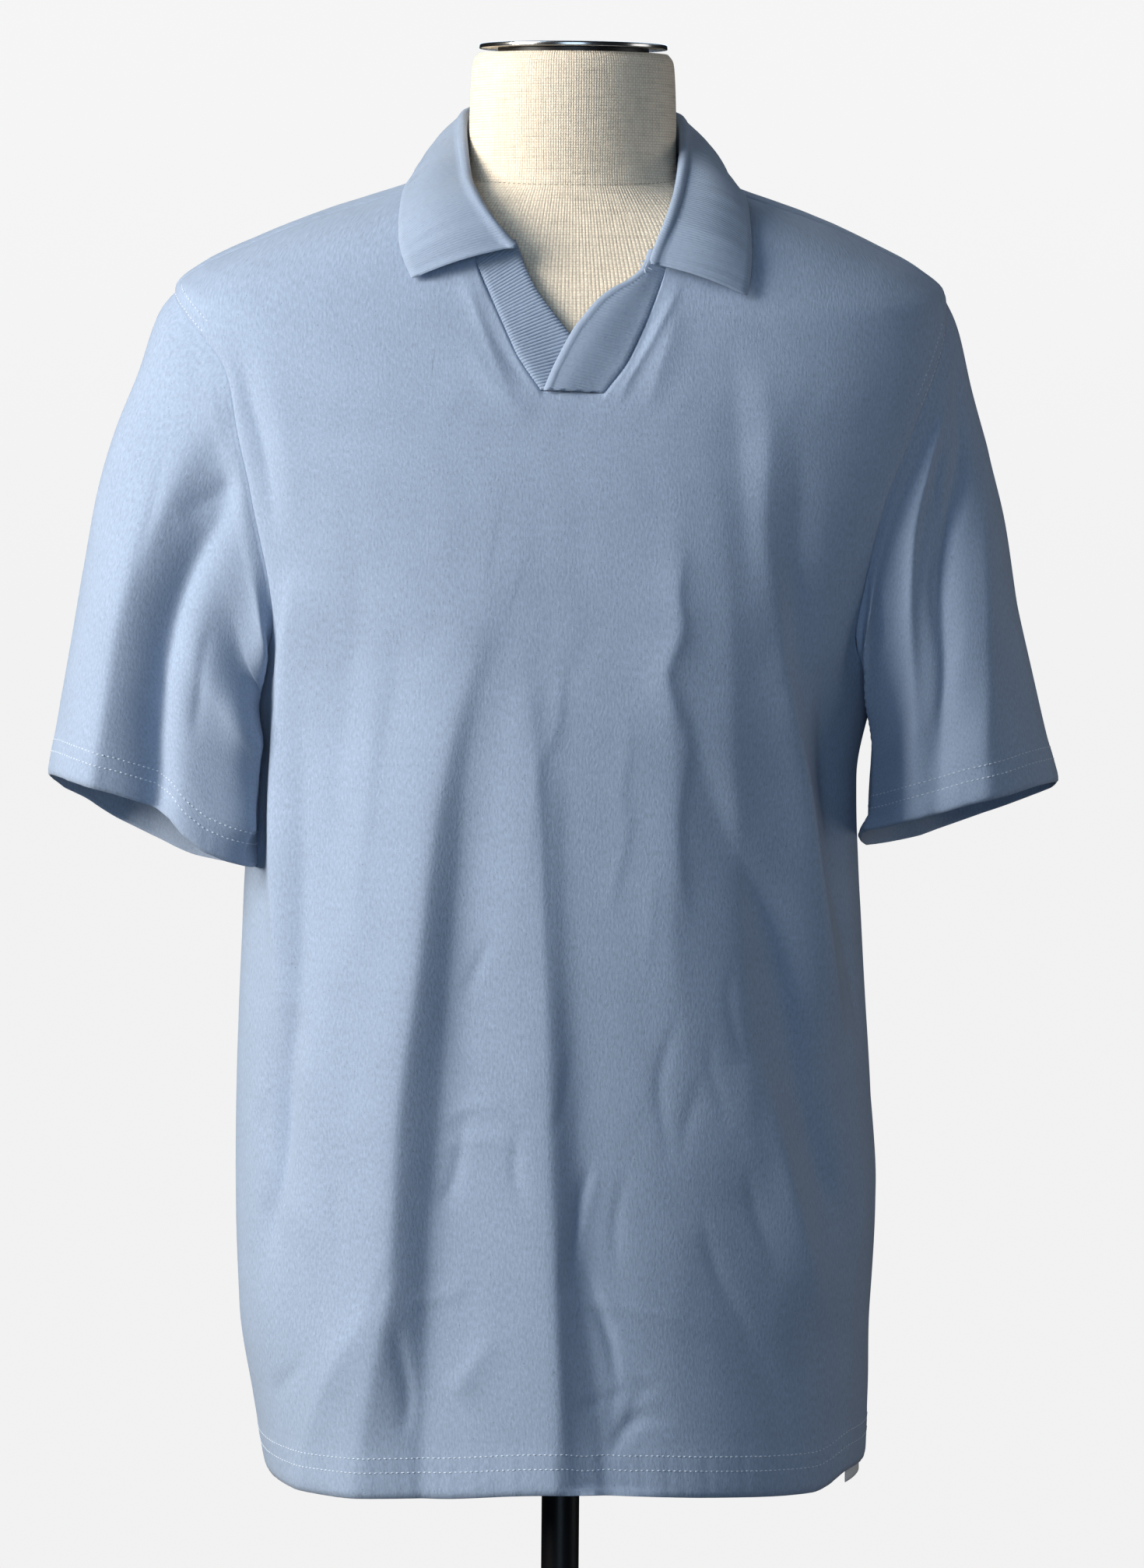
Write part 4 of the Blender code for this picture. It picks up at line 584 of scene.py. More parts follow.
    (4.3, 2.2, ((36, 871, 0), (32, 845, 0.36), (27, 824, 0.29), (25, 806, 0))),
    # drags from the left armhole
    (7, 8, ((-192, 1126, 0), (-183, 1100, -1.4), (-175, 1069, -1.8), (-170, 1039, -1.2), (-168, 1013, 0))),
    (8, 9, ((-181, 1126, 0), (-170, 1100, 1.2), (-163, 1074, 1.6), (-158, 1043, 1.2), (-155, 1017, 0))),
    # raised lines beside the strips
    (2.9, 4.3, ((-64, 1168, 0), (-56, 1151, 0.86), (-48, 1131, 0.94), (-40, 1112, 0.65), (-31, 1092, 0))),
    (2.9, 2.2, ((62, 1162, 0), (54, 1145, 1.15), (45, 1128, 1.3), (34, 1109, 1.08), (26, 1093, 0))),
    # hollows and ridges beside the V
    (5, 6, ((-53, 1153, 0), (-43, 1131, -1), (-32, 1114, -1.2), (-20, 1099, 0))),
    (6, 7, ((-62, 1136, 0), (-49, 1112, 0.9), (-35, 1096, 0.9), (-19, 1084, 0))),
    (6, 5, ((53, 1164, 0), (45, 1141, -1.1), (37, 1121, -1.3), (29, 1102, 0))),
    (5, 6, ((62, 1154, 0), (56, 1132, 1), (49, 1110, 1.1), (43, 1089, 0))),
    # right of the chest: the slope under the shoulder, a ridge, and a drag from the armhole
    (12, 10, ((90, 1137, 0), (93, 1102, -1), (96, 1059, -1.5), (99, 1015, -1.2), (102, 981, 0))),
    (10, 9, ((109, 1115, 0), (111, 1076, 1.6), (110, 1042, 2), (110, 1007, 1.6), (116, 959, 0))),
    (10, 8, ((129, 1076, 0), (130, 1037, -1.4), (128, 998, -1.8), (130, 955, -1.2), (137, 916, 0))),
)

# %% Creases of the back
BACK_CREASES = (
    # long ridge on the right
    (20, 17, ((-108, 1000, 0), (-112, 930, 4.5), (-116, 820, 7), (-121, 700, 9), (-127, 580, 9.5), (-131, 490, 8))),
    (13, 15, ((-70, 940, 0), (-66, 860, -2.5), (-62, 740, -5), (-68, 600, -6), (-67, 490, -5))),
    # ridge right of the middle
    (21, 14, ((-30, 975, 0), (-23, 900, 2.5), (-18, 780, 5), (-20, 640, 7.5), (-13, 490, 8))),
    (13, 15, ((18, 900, 0), (28, 800, -3), (32, 660, -5), (29, 490, -5))),
    # ridge on the left
    (19, 21, ((70, 975, 0), (76, 900, 3.5), (81, 760, 7), (85, 620, 9), (88, 490, 8))),
    (12, 12, ((110, 880, 0), (113, 800, -2.2), (118, 690, -3.5), (120, 590, -2), (121, 540, 0))),
    (14, 15, ((122, 990, 0), (130, 900, 4), (136, 790, 5.5), (142, 660, 5.5), (146, 560, 3), (146, 520, 0))),
    # drags from the armholes to the middle
    (9, 11, ((-140, 1000, 0), (-124, 965, 2), (-104, 930, 2), (-86, 900, 0))),
    (8, 10, ((-128, 1045, 0), (-112, 1005, 1.4), (-90, 965, 1.6), (-66, 935, 0))),
    (10, 9, ((143, 1010, 0), (126, 970, 1.8), (105, 936, 2), (82, 912, 0))),
    (8, 8, ((130, 1060, 0), (116, 1020, 1.2), (94, 985, 1.3), (70, 960, 0))),
    (16, 16, ((-52, 1130, 0), (-58, 1080, 1.2), (-60, 1020, 1.6), (-56, 960, 0))),
    (15, 17, ((50, 1140, 0), (57, 1085, 1.2), (58, 1030, 1.4), (52, 970, 0))),
    # the side beside the wearer's right arm, seen past the sleeve's edge
    (12, 12, ((-186, 975, 0), (-187, 935, 3.5), (-187, 900, 3.5), (-186, 860, 0))),
    # small sharp ones low down
    (4, 5, ((-42, 700, 0), (-46, 668, -1.6), (-53, 630, -1.6), (-62, 598, 0))),
    (3.5, 4.5, ((54, 720, 0), (49, 694, -1.3), (40, 664, -1.4), (37, 636, 0))),
    (4, 4, ((6, 640, 0), (10, 610, -1.5), (6, 575, -1.8), (8, 540, 0))),
    (4, 5, ((-96, 600, 0), (-100, 570, -1.4), (-108, 540, -1.6), (-110, 510, 0))),
    (3.5, 4, ((104, 576, 0), (98, 548, 1.1), (100, 520, 1.2), (104, 490, 0.6))),
    (4, 5, ((-150, 760, 0), (-154, 722, -2), (-152, 682, -2), (-157, 646, 0))),
    (4, 4, ((60, 560, 0), (66, 530, -1.4), (63, 502, -1.2))),
)

# %% Laying creases on a grid
MILLIMETRE = 0.001
CREASE_STEPS = 12  # pieces of smooth line between two points of a crease
SIGHT_LIMIT = 1.9  # a crease near the side is seen at a slant, so it is up to this much wider on the cloth
MIDDLE_BAND = 0.02  # so near to the middle nothing is seen at a slant
CREASE_REACH = 4.5  # a crease is felt up to so many times its width away
CREST_SOFT, CREST_FOLDED = 0.45, 0.55  # shares of a soft wave and of a folded edge in a crease's crest
FOLD_STEEP, FOLD_ROUND = 1.3, 0.3


def crease_line(points):
    return smooth_path(points, CREASE_STEPS * (len(points) - 1) + 1)


def crease_path(row, face):
    """The line of a crease on the cloth, in metres: distance, ring height, rise and the two widths at each point."""
    wide_right, wide_left, points = row
    path = crease_line(points) * MILLIMETRE
    run, height = cloth_place(path[:, 0], path[:, 1], face)
    beside, _ = cloth_place(path[:, 0] * 0.99, path[:, 1], face)
    slant = np.clip(np.abs(run - beside) / np.maximum(np.abs(path[:, 0]) * 0.01, 1e-5), 1.0, SIGHT_LIMIT)
    slant = np.where(np.abs(path[:, 0]) < MIDDLE_BAND, 1.0, slant) * MILLIMETRE
    return run, height, path[:, 2], wide_right * slant, wide_left * slant


def crease_profile(far):
    """The shape across a crease: 1 on its line, with a crest half way between a soft wave and a folded edge."""
    soft = np.exp(-0.5 * far**2)
    folded = np.exp(-FOLD_STEEP * (np.sqrt(far**2 + FOLD_ROUND**2) - FOLD_ROUND))
    return CREST_SOFT * soft + CREST_FOLDED * folded


def lay_crease(total, u, v, line):
    """Adds one crease to the heights of a grid whose points lie at u across and v up the cloth."""
    run, height, rise, wide_right, wide_left = line
    reach = CREASE_REACH * max(wide_right.max(), wide_left.max())
    near = (u > run.min() - reach) & (u < run.max() + reach) & (v > height.min() - reach) & (v < height.max() + reach)
    if not near.any():
        return
    place = np.stack([u[near], v[near]], axis=1)
    knots = np.stack([run, height], axis=1)
    best = np.full(len(place), 1e9)
    high, wide = np.zeros(len(place)), np.ones(len(place))
    for k in range(len(knots) - 1):
        step = knots[k + 1] - knots[k]
        long = max(float(step @ step), 1e-12)
        off = place - knots[k]
        t = np.clip(off @ step / long, 0.0, 1.0)
        gap = off - t[:, None] * step
        far = np.hypot(gap[:, 0], gap[:, 1])
        closer = far < best
        side = step[0] * off[:, 1] - step[1] * off[:, 0]
        widths = np.where(
            side > 0.0,
            wide_left[k] + (wide_left[k + 1] - wide_left[k]) * t,
            wide_right[k] + (wide_right[k + 1] - wide_right[k]) * t,
        )
        best = np.where(closer, far, best)
        high = np.where(closer, rise[k] + (rise[k + 1] - rise[k]) * t, high)
        wide = np.where(closer, widths, wide)
    total[near] += high * crease_profile(best / wide)


WAVE_HIGH, WAVE_ACROSS, WAVE_DOWN = 0.00012, 0.009, 0.035
WANDER_RATES = (1.0, 1.71, 2.63, 0.43)


def wander(t, seed):
    """A smooth uneven wave between -1 and 1, the same in every run."""
    return sum(np.sin(t * rate + seed * (3.1 + rate)) for rate in WANDER_RATES) / 2.6


def soft_waves(u, v, seed):
    """Faint unevenness of hanging jersey, drawn out down the cloth."""
    bent = u / WAVE_ACROSS + 1.5 * wander(v / WAVE_DOWN, seed + 1.0)
    return WAVE_HIGH * wander(bent, seed) * (0.65 + 0.35 * wander(v / (0.6 * WAVE_DOWN), seed + 2.0))


def crease_heights(face, u, v):
    """How far the creases of a face push each point of the grid out."""
    total = soft_waves(u, v, 7.0 if face == "front" else 9.0)
    for row in FRONT_CREASES if face == "front" else BACK_CREASES:
        lay_crease(total, u, v, crease_path(row, face))
    return total


# %% [markdown]
# ## Seams and hems
#
# Where two pieces of jersey are sewn, the seam pulls both a little inwards, and the cloth beside it puckers between
# the stitches. The hem is a turned band held by two rows of stitches: it is a little thicker, and each row sits in a
# shallow groove. All of this is real shape, less than a millimetre deep.

# %% Seam shapes
SEAM_DEEP, SEAM_WIDE = 0.0013, 0.0022
HEM_ROWS_AT = (0.0146, 0.0228)  # from the edge of the body's hem to its two rows of stitches
PUCKER_HIGH, PUCKER_LONG = 0.00016, 0.020
BAND_PAST, BAND_SOFT = 0.006, 0.010  # a hem's band ends this far past its inner row, and fades over this much
BAND_HIGH = 0.00035
LIP_DEEP, LIP_WIDE = 0.0008, 0.0022


def seam_dip(distance):
    """How far the cloth is drawn in at this distance from a seam."""
    return -SEAM_DEEP * np.exp(-((distance / SEAM_WIDE) ** 2))


def hem_shape(from_edge, along, rows_at, seed):
    """The band of a hem: puckers between its edge and its stitches, and a lip at the very edge."""
    band = smooth((rows_at[1] + BAND_PAST - from_edge) / BAND_SOFT)
    pucker = PUCKER_HIGH * wander(along / PUCKER_LONG * math.tau, seed) * band
    return pucker + BAND_HIGH * band - LIP_DEEP * np.exp(-((from_edge / LIP_WIDE) ** 2))


def edge_distance(points, column):
    """How far each point of a grid lies from one of its edge columns, along its row."""
    step = np.linalg.norm(np.diff(points, axis=1), axis=2)
    run = np.concatenate([np.zeros((len(points), 1)), np.cumsum(step, axis=1)], axis=1)
    return run if column == 0 else run[:, -1:] - run


# %% [markdown]
# ## Thin closed cloth
#
# Cloth has two faces and a turned edge. The outer face is the fine grid. The inner face is the same grid at half the
# resolution, one thickness further in, and a rounded rim joins the two, so that an edge catches light as a fold
# does. A second set of coordinates, in metres along and across the knit, is kept for the yarn's texture.

# %% Grid to cloth
RIM_ROUND = 0.45  # how far the rim bulges, as a share of the thickness
SHARP_FROM = 70.0  # degrees


def grid_normals(grid, ring=False):
    """Normals of a grid of points, facing out where columns run anticlockwise seen from outside and rows up."""
    if ring:
        across = np.roll(grid, -1, axis=1) - np.roll(grid, 1, axis=1)
    else:
        across = np.gradient(grid, axis=1)
    return unit(np.cross(across, np.gradient(grid, axis=0)))


def seam_side(edge, beside):
    """Directions square to an edge, towards the line of points beside it."""
    run = unit(np.gradient(edge, axis=0))
    away = beside - edge
    return unit(away - run * (away * run).sum(axis=1, keepdims=True))


def build_object(name, points, faces, places=None):
    """An object from arrays of points and faces, smooth apart from its sharp edges. places are cloth coordinates."""
    mesh = bpy.data.meshes.new(name)
    mesh.from_pydata(points.tolist(), [], faces)
    mesh.update()
    if places is not None:
        corners = np.zeros(len(mesh.loops), np.int32)
        mesh.loops.foreach_get("vertex_index", corners)
        layer = mesh.uv_layers.new(name="cloth")
        layer.data.foreach_set("uv", places[corners].astype(np.float32).ravel())
    mesh.polygons.foreach_set("use_smooth", np.ones(len(mesh.polygons), bool))
    mesh.set_sharp_from_angle(angle=math.radians(SHARP_FROM))
    made = bpy.data.objects.new(name, mesh)
    scene.collection.objects.link(made)
    return made


def perimeter(rows, columns):
    """The grid positions round the edge of a grid, anticlockwise."""
    low = [(0, i) for i in range(columns - 1)]
    right = [(j, columns - 1) for j in range(rows - 1)]
    high = [(rows - 1, i) for i in range(columns - 1, 0, -1)]
    left = [(j, 0) for j in range(rows - 1, 0, -1)]
    return low + right + high + left


def cloth(name, outer, thick, uv, directions=None):
    """A closed thin piece of cloth over an open grid. Rows and columns are odd in number."""
    rows, columns = outer.shape[:2]
    if directions is None:
        directions = grid_normals(outer)
    inner = (outer - thick * directions)[::2, ::2]
    half = inner.shape[1]
    size = rows * columns
    faces = []
    index = np.arange(size).reshape(rows, columns)
    a, b, c, d = index[:-1, :-1], index[:-1, 1:], index[1:, 1:], index[1:, :-1]
    faces += np.stack([a, b, c, d], axis=-1).reshape(-1, 4).tolist()
    under = size + np.arange(inner.shape[0] * half).reshape(inner.shape[:2])
    a, b, c, d = under[:-1, :-1], under[:-1, 1:], under[1:, 1:], under[1:, :-1]
    faces += np.stack([d, c, b, a], axis=-1).reshape(-1, 4).tolist()
    loop = perimeter(rows, columns)
    ring = np.array([index[p] for p in loop])
    step_in = {0: 1, rows - 1: rows - 2}
    out_way = []
    for j, i in loop:
        inside = (step_in.get(j, j), {0: 1, columns - 1: columns - 2}.get(i, i))
        out_way.append(outer[j, i] - outer[inside])
    edge = np.array([outer[p] for p in loop])
    ways = unit(np.array(out_way))
    normals = np.array([directions[p] for p in loop])
    middle = edge - normals * thick * 0.5 + ways * thick * RIM_ROUND
    first = size + inner.shape[0] * half
    count = len(loop)
    for k in range(count):
        n = (k + 1) % count
        faces.append((int(ring[n]), int(ring[k]), first + k, first + n))
    for k in range(0, count, 2):
        j, i = loop[k]
        jj, ii = loop[(k + 2) % count]
        here, there = int(under[j // 2, i // 2]), int(under[jj // 2, ii // 2])
        mid, n = first + k + 1, first + (k + 2) % count
        faces.append((mid, first + k, here))
        faces.append((mid, here, there))
        faces.append((n, mid, there))
    points = np.vstack([outer.reshape(-1, 3), inner.reshape(-1, 3), middle])
    places = np.vstack([uv.reshape(-1, 2), uv[::2, ::2].reshape(-1, 2), np.array([uv[p] for p in loop])])
    return build_object(name, points, faces, places)


# %% Front and back
JERSEY_THICK = 0.0012
TOP_SEAM = 0.8  # how deep the seams of the neck and shoulders are drawn in, beside the side seams
SEAM_GAP = 0.00015
FOLDED_GAP = 4.0  # how many times wider a seam stands open where its two pieces meet folded flat on each other


def shaped_panel(face):
    """The outer face of a panel with its creases, seams and hem."""
    height, angle, run = panels[face]
    smooth_face = body_point(height, angle)
    normal = body_normal(height, angle)
    rise = crease_heights(face, run, height)
    from_hem = height - HEM_Z
    rise += hem_shape(from_hem, run, HEM_ROWS_AT, 1.0 if face == "front" else 2.0)
    rise += seam_dip(edge_distance(smooth_face, 0)) + seam_dip(edge_distance(smooth_face, -1))
    top = np.linalg.norm(np.diff(smooth_face, axis=0), axis=2)[::-1].cumsum(axis=0)[::-1]
    top = np.vstack([top, np.zeros((1, top.shape[1]))])
    rise += TOP_SEAM * seam_dip(top)
    return smooth_face + rise[..., None] * normal, normal, np.stack([run, from_hem], axis=-1)


outer_faces = {face: shaped_panel(face) for face in panels}
print("creases laid:", len(FRONT_CREASES), "front,", len(BACK_CREASES), "back")

# %% [markdown]
# ## Sleeves
#
# A short set-in sleeve is one piece, closed under the arm. Empty, it hangs down from the armhole as a flattened tube
# with a soft fold down its middle. Each cross-section is an ellipse between an outer point and an inner point, read
# from the photograph's outline, and the first one is bent to meet the armhole exactly.

# %% Sleeve sections
SLEEVE_LEFT_SECTIONS = (
    # along, outer_x, outer_z, inner_x, inner_z, half_depth, centre_y, lean_y
    (0.00, 0.2150, 1.1567, 0.1775, 0.932, 0.076, -0.006, 0.00),
    (0.07, 0.2225, 1.1410, 0.1788, 0.927, 0.074, -0.006, 0.00),
    (0.19, 0.2313, 1.1040, 0.1786, 0.917, 0.072, -0.007, -0.02),
    (0.33, 0.2425, 1.0630, 0.1772, 0.905, 0.070, -0.008, -0.04),
    (0.46, 0.2515, 1.0270, 0.1760, 0.894, 0.068, -0.009, -0.07),
    (0.63, 0.2600, 0.9790, 0.1748, 0.879, 0.066, -0.010, -0.10),
    (0.76, 0.2685, 0.9426, 0.1742, 0.868, 0.064, -0.011, -0.13),
    (0.89, 0.2770, 0.9068, 0.1738, 0.857, 0.063, -0.012, -0.15),
    (1.00, 0.2850, 0.8780, 0.1735, 0.8476, 0.062, -0.012, -0.16),
)
SLEEVE_RIGHT_SECTIONS = (
    # along, outer_x, outer_z, inner_x, inner_z, half_depth, centre_y, lean_y
    (0.00, -0.2280, 1.1567, -0.1845, 0.932, 0.076, -0.006, 0.00),
    (0.06, -0.2374, 1.1441, -0.1872, 0.926, 0.074, -0.006, 0.00),
    (0.20, -0.2501, 1.1066, -0.1889, 0.914, 0.072, -0.007, -0.02),
    (0.31, -0.2620, 1.0755, -0.1891, 0.903, 0.070, -0.008, -0.04),
    (0.43, -0.2713, 1.0417, -0.1891, 0.890, 0.068, -0.009, -0.07),
    (0.59, -0.2792, 0.9957, -0.1892, 0.873, 0.066, -0.010, -0.10),
    (0.73, -0.2860, 0.9548, -0.1892, 0.858, 0.064, -0.011, -0.13),
    (0.85, -0.2920, 0.9187, -0.1892, 0.844, 0.063, -0.012, -0.15),
    (1.00, -0.2994, 0.8760, -0.1892, 0.828, 0.062, -0.012, -0.16),
)
SLEEVE_AROUND = 0.062  # metres of cloth for one radian round the sleeve, about
SLEEVE_LONG = 0.275


def sleeve_section(table, along):
    return curve_through(table, 0, along)


def sleeve_points(table, along, angle):
    """Points of the plain sleeve tube. The angle runs from the top over the front, in radians."""
    outer_x, outer_z, inner_x, inner_z, deep, centre_y, lean = np.moveaxis(sleeve_section(table, along), -1, 0)
    half_x, half_z = (outer_x - inner_x) / 2.0, (outer_z - inner_z) / 2.0
    c, s = np.cos(angle), np.sin(angle)
    off = -deep * s
    x = (outer_x + inner_x) / 2.0 + half_x * c
    z = (outer_z + inner_z) / 2.0 + half_z * c + lean * off
    return np.stack(np.broadcast_arrays(x, centre_y + off, z), axis=-1)


# %% Creases of the sleeves
# Each row: width before and after as the angle grows, in mm, then points of the angle in degrees, the percentage of
# the sleeve's length and the height in mm. The angle runs from the top of the sleeve over its front, and on round its
# back.
SLEEVE_LEFT_CREASES = (
    # inner crest, steep towards the arm
    (9, 3.5, ((69, 1, 0), (80, 0, 2.5), (93, 0, 5), (104, 1, 6.5), (118, 4, 7.5), (132, 13, 8), (142, 27, 7.5),
     (151, 44, 6), (155, 70, 4.5), (159, 99, 3.5))),
    # outer edge of that strip
    (4.5, 7, ((56, 8, 0), (64, 10, 2.5), (74, 12, 3.5), (84, 16, 4), (94, 24, 4), (104, 34, 3.5), (113, 49, 2.5),
     (118, 69, 1.5), (123, 92, 0))),
    # valley
    (9, 7, ((45, 20, 0), (57, 23, -3), (68, 28, -4.5), (79, 35, -5), (88, 46, -5), (96, 62, -4.5), (104, 79, -4),
     (111, 100, -3.5))),
    # broad outer ridge
    (13, 12, ((34, 30, 0), (47, 40, 2), (56, 52, 3.2), (64, 67, 3.8), (74, 83, 4), (80, 100, 3.6))),
    # hollow under the arm
    (4, 6, ((83, 0, 0), (94, 0, -3), (108, 0, -5), (126, 0, -6), (146, 0, -6), (189, 10, -4), (189, 30, 0))),
    # dark slope below the shoulder
    (8, 6, ((33, 5, 0), (43, 11, -2), (48, 18, -2.5), (54, 26, -1.5), (62, 33, 0))),
    # crisp line down the middle
    (2.4, 3.6, ((58, 13, 0), (69, 17, -0.8), (76, 26, -1.1), (88, 36, -0.9), (94, 51, 0))),
    # drag from the armhole
    (2.6, 4, ((76, 0, 0), (86, 0, -1), (96, 0, -1.2), (110, 5, -0.8), (114, 21, 0))),
    # short one by the hem
    (4, 5, ((109, 58, 0), (108, 74, -0.9), (114, 88, -0.9), (118, 100, 0))),
    # the back, in the same spirit
    (15, 16, ((232, 12, 0), (238, 30, -3.5), (242, 62, -4.5), (246, 100, -4.2))),
    (14, 15, ((288, 15, 0), (285, 36, 3.2), (281, 68, 4.2), (279, 100, 4.2))),
    (9, 10, ((262, 22, 0), (262, 45, 1.6), (258, 75, 2.2), (258, 100, 2))),
    (8, 9, ((312, 30, 0), (310, 55, -2), (308, 85, -2.6), (306, 100, -2.4))),
    (5, 6, ((300, 5, 0), (292, 14, 1.4), (282, 24, 1.3), (274, 33, 0))),
    (5, 5, ((222, 10, 0), (216, 24, 1.6), (212, 38, 0))),
    # the outer side, over the shoulder and down
    (10, 6, ((345, 16, 0), (342, 34, 2.2), (338, 62, 3.4), (336, 84, 3.2), (335, 100, 2.6))),
    (6, 10, ((8, 30, 0), (6, 48, -1.8), (2, 72, -2.8), (0, 100, -2.4))),
    (3, 4, ((330, 10, 0), (338, 20, -1.2), (348, 30, 0))),
    (2.6, 4, ((322, 52, 0), (328, 66, -1.1), (324, 80, -0.9), (330, 93, 0))),
)
SLEEVE_RIGHT_CREASES = (
    # outer ridge
    (17, 9, ((58, 16, 0), (63, 27, 2.5), (64, 40, 4.5), (64, 56, 6), (64, 71, 6.5), (65, 85, 7), (64, 99, 7))),
    # deep valley down the front
    (12, 7.5, ((88, 4, -2), (88, 14, -6), (88, 27, -9.5), (90, 42, -12.5), (92, 58, -14.5), (94, 74, -15.5),
     (97, 89, -15.5), (98, 99, -15))),
    # second ridge
    (17, 8, ((76, 0, 0), (94, 0, 3), (112, 0, 6), (130, 5, 8), (146, 21, 8.5), (154, 48, 8.5), (155, 83, 7.5))),
    # nick over the valley
    (4, 4, ((72, 28, 0), (76, 22, -1.5), (82, 14, -2.2), (86, 6, -2), (84, 3, 0))),
    # crease from the shoulder
    (2.6, 4.5, ((-20, 0, 0), (40, 0, -2), (48, 0, -2.6), (53, 1, -2), (54, 4, 0))),
    # short one beside it
    (3, 4, ((42, 1, 0), (46, 4, -1.3), (49, 6, -1), (50, 10, 0))),
    # light ridge beside them
    (5, 5, ((-20, 0, 0), (42, 0, 1.5), (51, 0, 1.5), (60, 0, 0))),
    # soft diagonal
    (7, 7, ((46, 10, 0), (60, 7, 0.9), (72, 5, 1.1), (82, 4, 0))),
    # soft ridge to the armpit
    (9, 8, ((62, 0, 0), (76, 0, 1.2), (94, 0, 1.6), (112, 0, 1.2), (131, 0, 0))),
    # hollow by the armpit
    (8, 7, ((106, 0, 0), (119, 0, -3), (130, 0, -4.5), (140, 0, -3), (197, 1, 0))),
    # crisp line beside the valley
    (2.4, 4, ((48, 22, 0), (54, 28, -0.8), (60, 34, -1.1), (64, 42, -0.8), (66, 50, 0))),
    # short crisp line low
    (2.2, 3.4, ((108, 30, 0), (110, 41, -0.9), (115, 54, -1.1), (115, 68, 0))),
    # drag from the armpit
    (2.6, 4, ((95, 0, 0), (102, 0, -1.2), (108, 0, -1.4), (109, 5, -0.8), (106, 14, 0))),
    # soft line low down
    (6, 5, ((144, 23, 0), (147, 44, -1.2), (153, 65, -1.6), (165, 88, -1.2))),
    # the back, in the same spirit
    (15, 16, ((238, 12, 0), (243, 30, -4), (248, 62, -4.8), (250, 100, -4.4))),
    (14, 15, ((287, 14, 0), (286, 36, 3.4), (285, 68, 4.6), (284, 100, 4.6))),
    (9, 9, ((266, 24, 0), (264, 48, 1.5), (266, 75, 2), (268, 100, 1.8))),
    (8, 9, ((314, 28, 0), (313, 55, -2.2), (311, 85, -2.8), (310, 100, -2.6))),
    (5, 6, ((304, 6, 0), (296, 16, 1.5), (286, 26, 1.2), (280, 35, 0))),
    (5, 5, ((218, 12, 0), (214, 25, 1.5), (208, 40, 0))),
    # the outer side, over the shoulder and down
    (10, 7, ((338, 14, 0), (336, 36, 2.4), (333, 60, 3.6), (330, 82, 3.4), (328, 100, 3))),
    (3, 4, ((326, 12, 0), (334, 22, -1.2), (342, 31, 0))),
    (2.6, 4, ((318, 50, 0), (323, 62, -1), (319, 78, -1), (324, 90, 0))),
)

# %% Sleeve grids
SLEEVE_ROWS = 112
HANG_FROM = 0.55  # share of the length from which the sleeve hangs off its plain sections
FREE_FROM, EVEN_FROM = 0.62, 0.8  # where the armhole's shape has left it, and where its columns are evenly spread
CREASED_FROM = 0.10  # from here on its creases have their full height
UNDER_ARM_SEAM = 0.6  # how deep the seam under the arm is drawn in, beside the others
SLEEVE_HEM_AT = (0.0130, 0.0200)
SLEEVE_DROP = {
    # angle in degrees, and how many mm lower the hem hangs there than the plain section
    "left": ((0, 0), (45, 2.5), (66, 4.4), (90, 4.4), (107, 5.3), (141, 3.5), (172, 1.5), (186, 3.5), (200, 6.8),
             (225, 6.4), (245, 6.0), (262, 4.5), (285, 2.5), (320, 1.0), (360, 0)),
    "right": ((0, 0), (45, 0), (75, -2.2), (98, -2.5), (106, -1.4), (114, 4.5), (126, 8.5), (140, 8.0), (155, 5.5),
              (180, 1.0), (200, 0), (240, 4.5), (270, 4.5), (290, 3.5), (315, 1.0), (360, 0)),
}
SLEEVE_SWAY = {
    # angle of the middle, its reach in degrees, share of the length where it starts and is full, and x and y in mm
    "left": (182, 40, 0.86, 1.00, -5.0, 0.0),
    "right": (170, 52, 0.22, 0.48, 12.5, -30.0),
}


def hang(hand, angles, alongs):
    """How the lower sleeve hangs off its plain sections, as x, y and z offsets."""
    degrees = np.degrees(angles) % 360.0
    table = np.array(SLEEVE_DROP[hand], float)
    drop = np.interp(degrees, table[:, 0], table[:, 1]) * smooth((alongs - HANG_FROM) / (1.0 - HANG_FROM))
    middle, reach, first, full, x, y = SLEEVE_SWAY[hand]
    near = np.exp(-(((degrees - middle) / reach) ** 2)) * smooth((alongs - first) / (full - first))
    return np.stack([x * near, y * near, -drop], axis=-1) * MILLIMETRE


def sleeve_rise(creases, angles, alongs, hand):
    """How far the creases push the sleeve's cloth out at each angle in degrees and share of its length."""
    u, v = np.radians(angles) * SLEEVE_AROUND, -alongs * SLEEVE_LONG
    total = soft_waves(u, v, 11.0 if hand == "left" else 13.0)
    for before, after, points in creases:
        path = crease_line(points)
        wide = np.full(len(path), MILLIMETRE)
        high = path[:, 1] / 100.0 * -SLEEVE_LONG
        for turn in (-360.0, 0.0, 360.0):
            run = np.radians(path[:, 0] + turn) * SLEEVE_AROUND
            lay_crease(total, u, v, (run, high, path[:, 2] * MILLIMETRE, before * wide, after * wide))
    return total


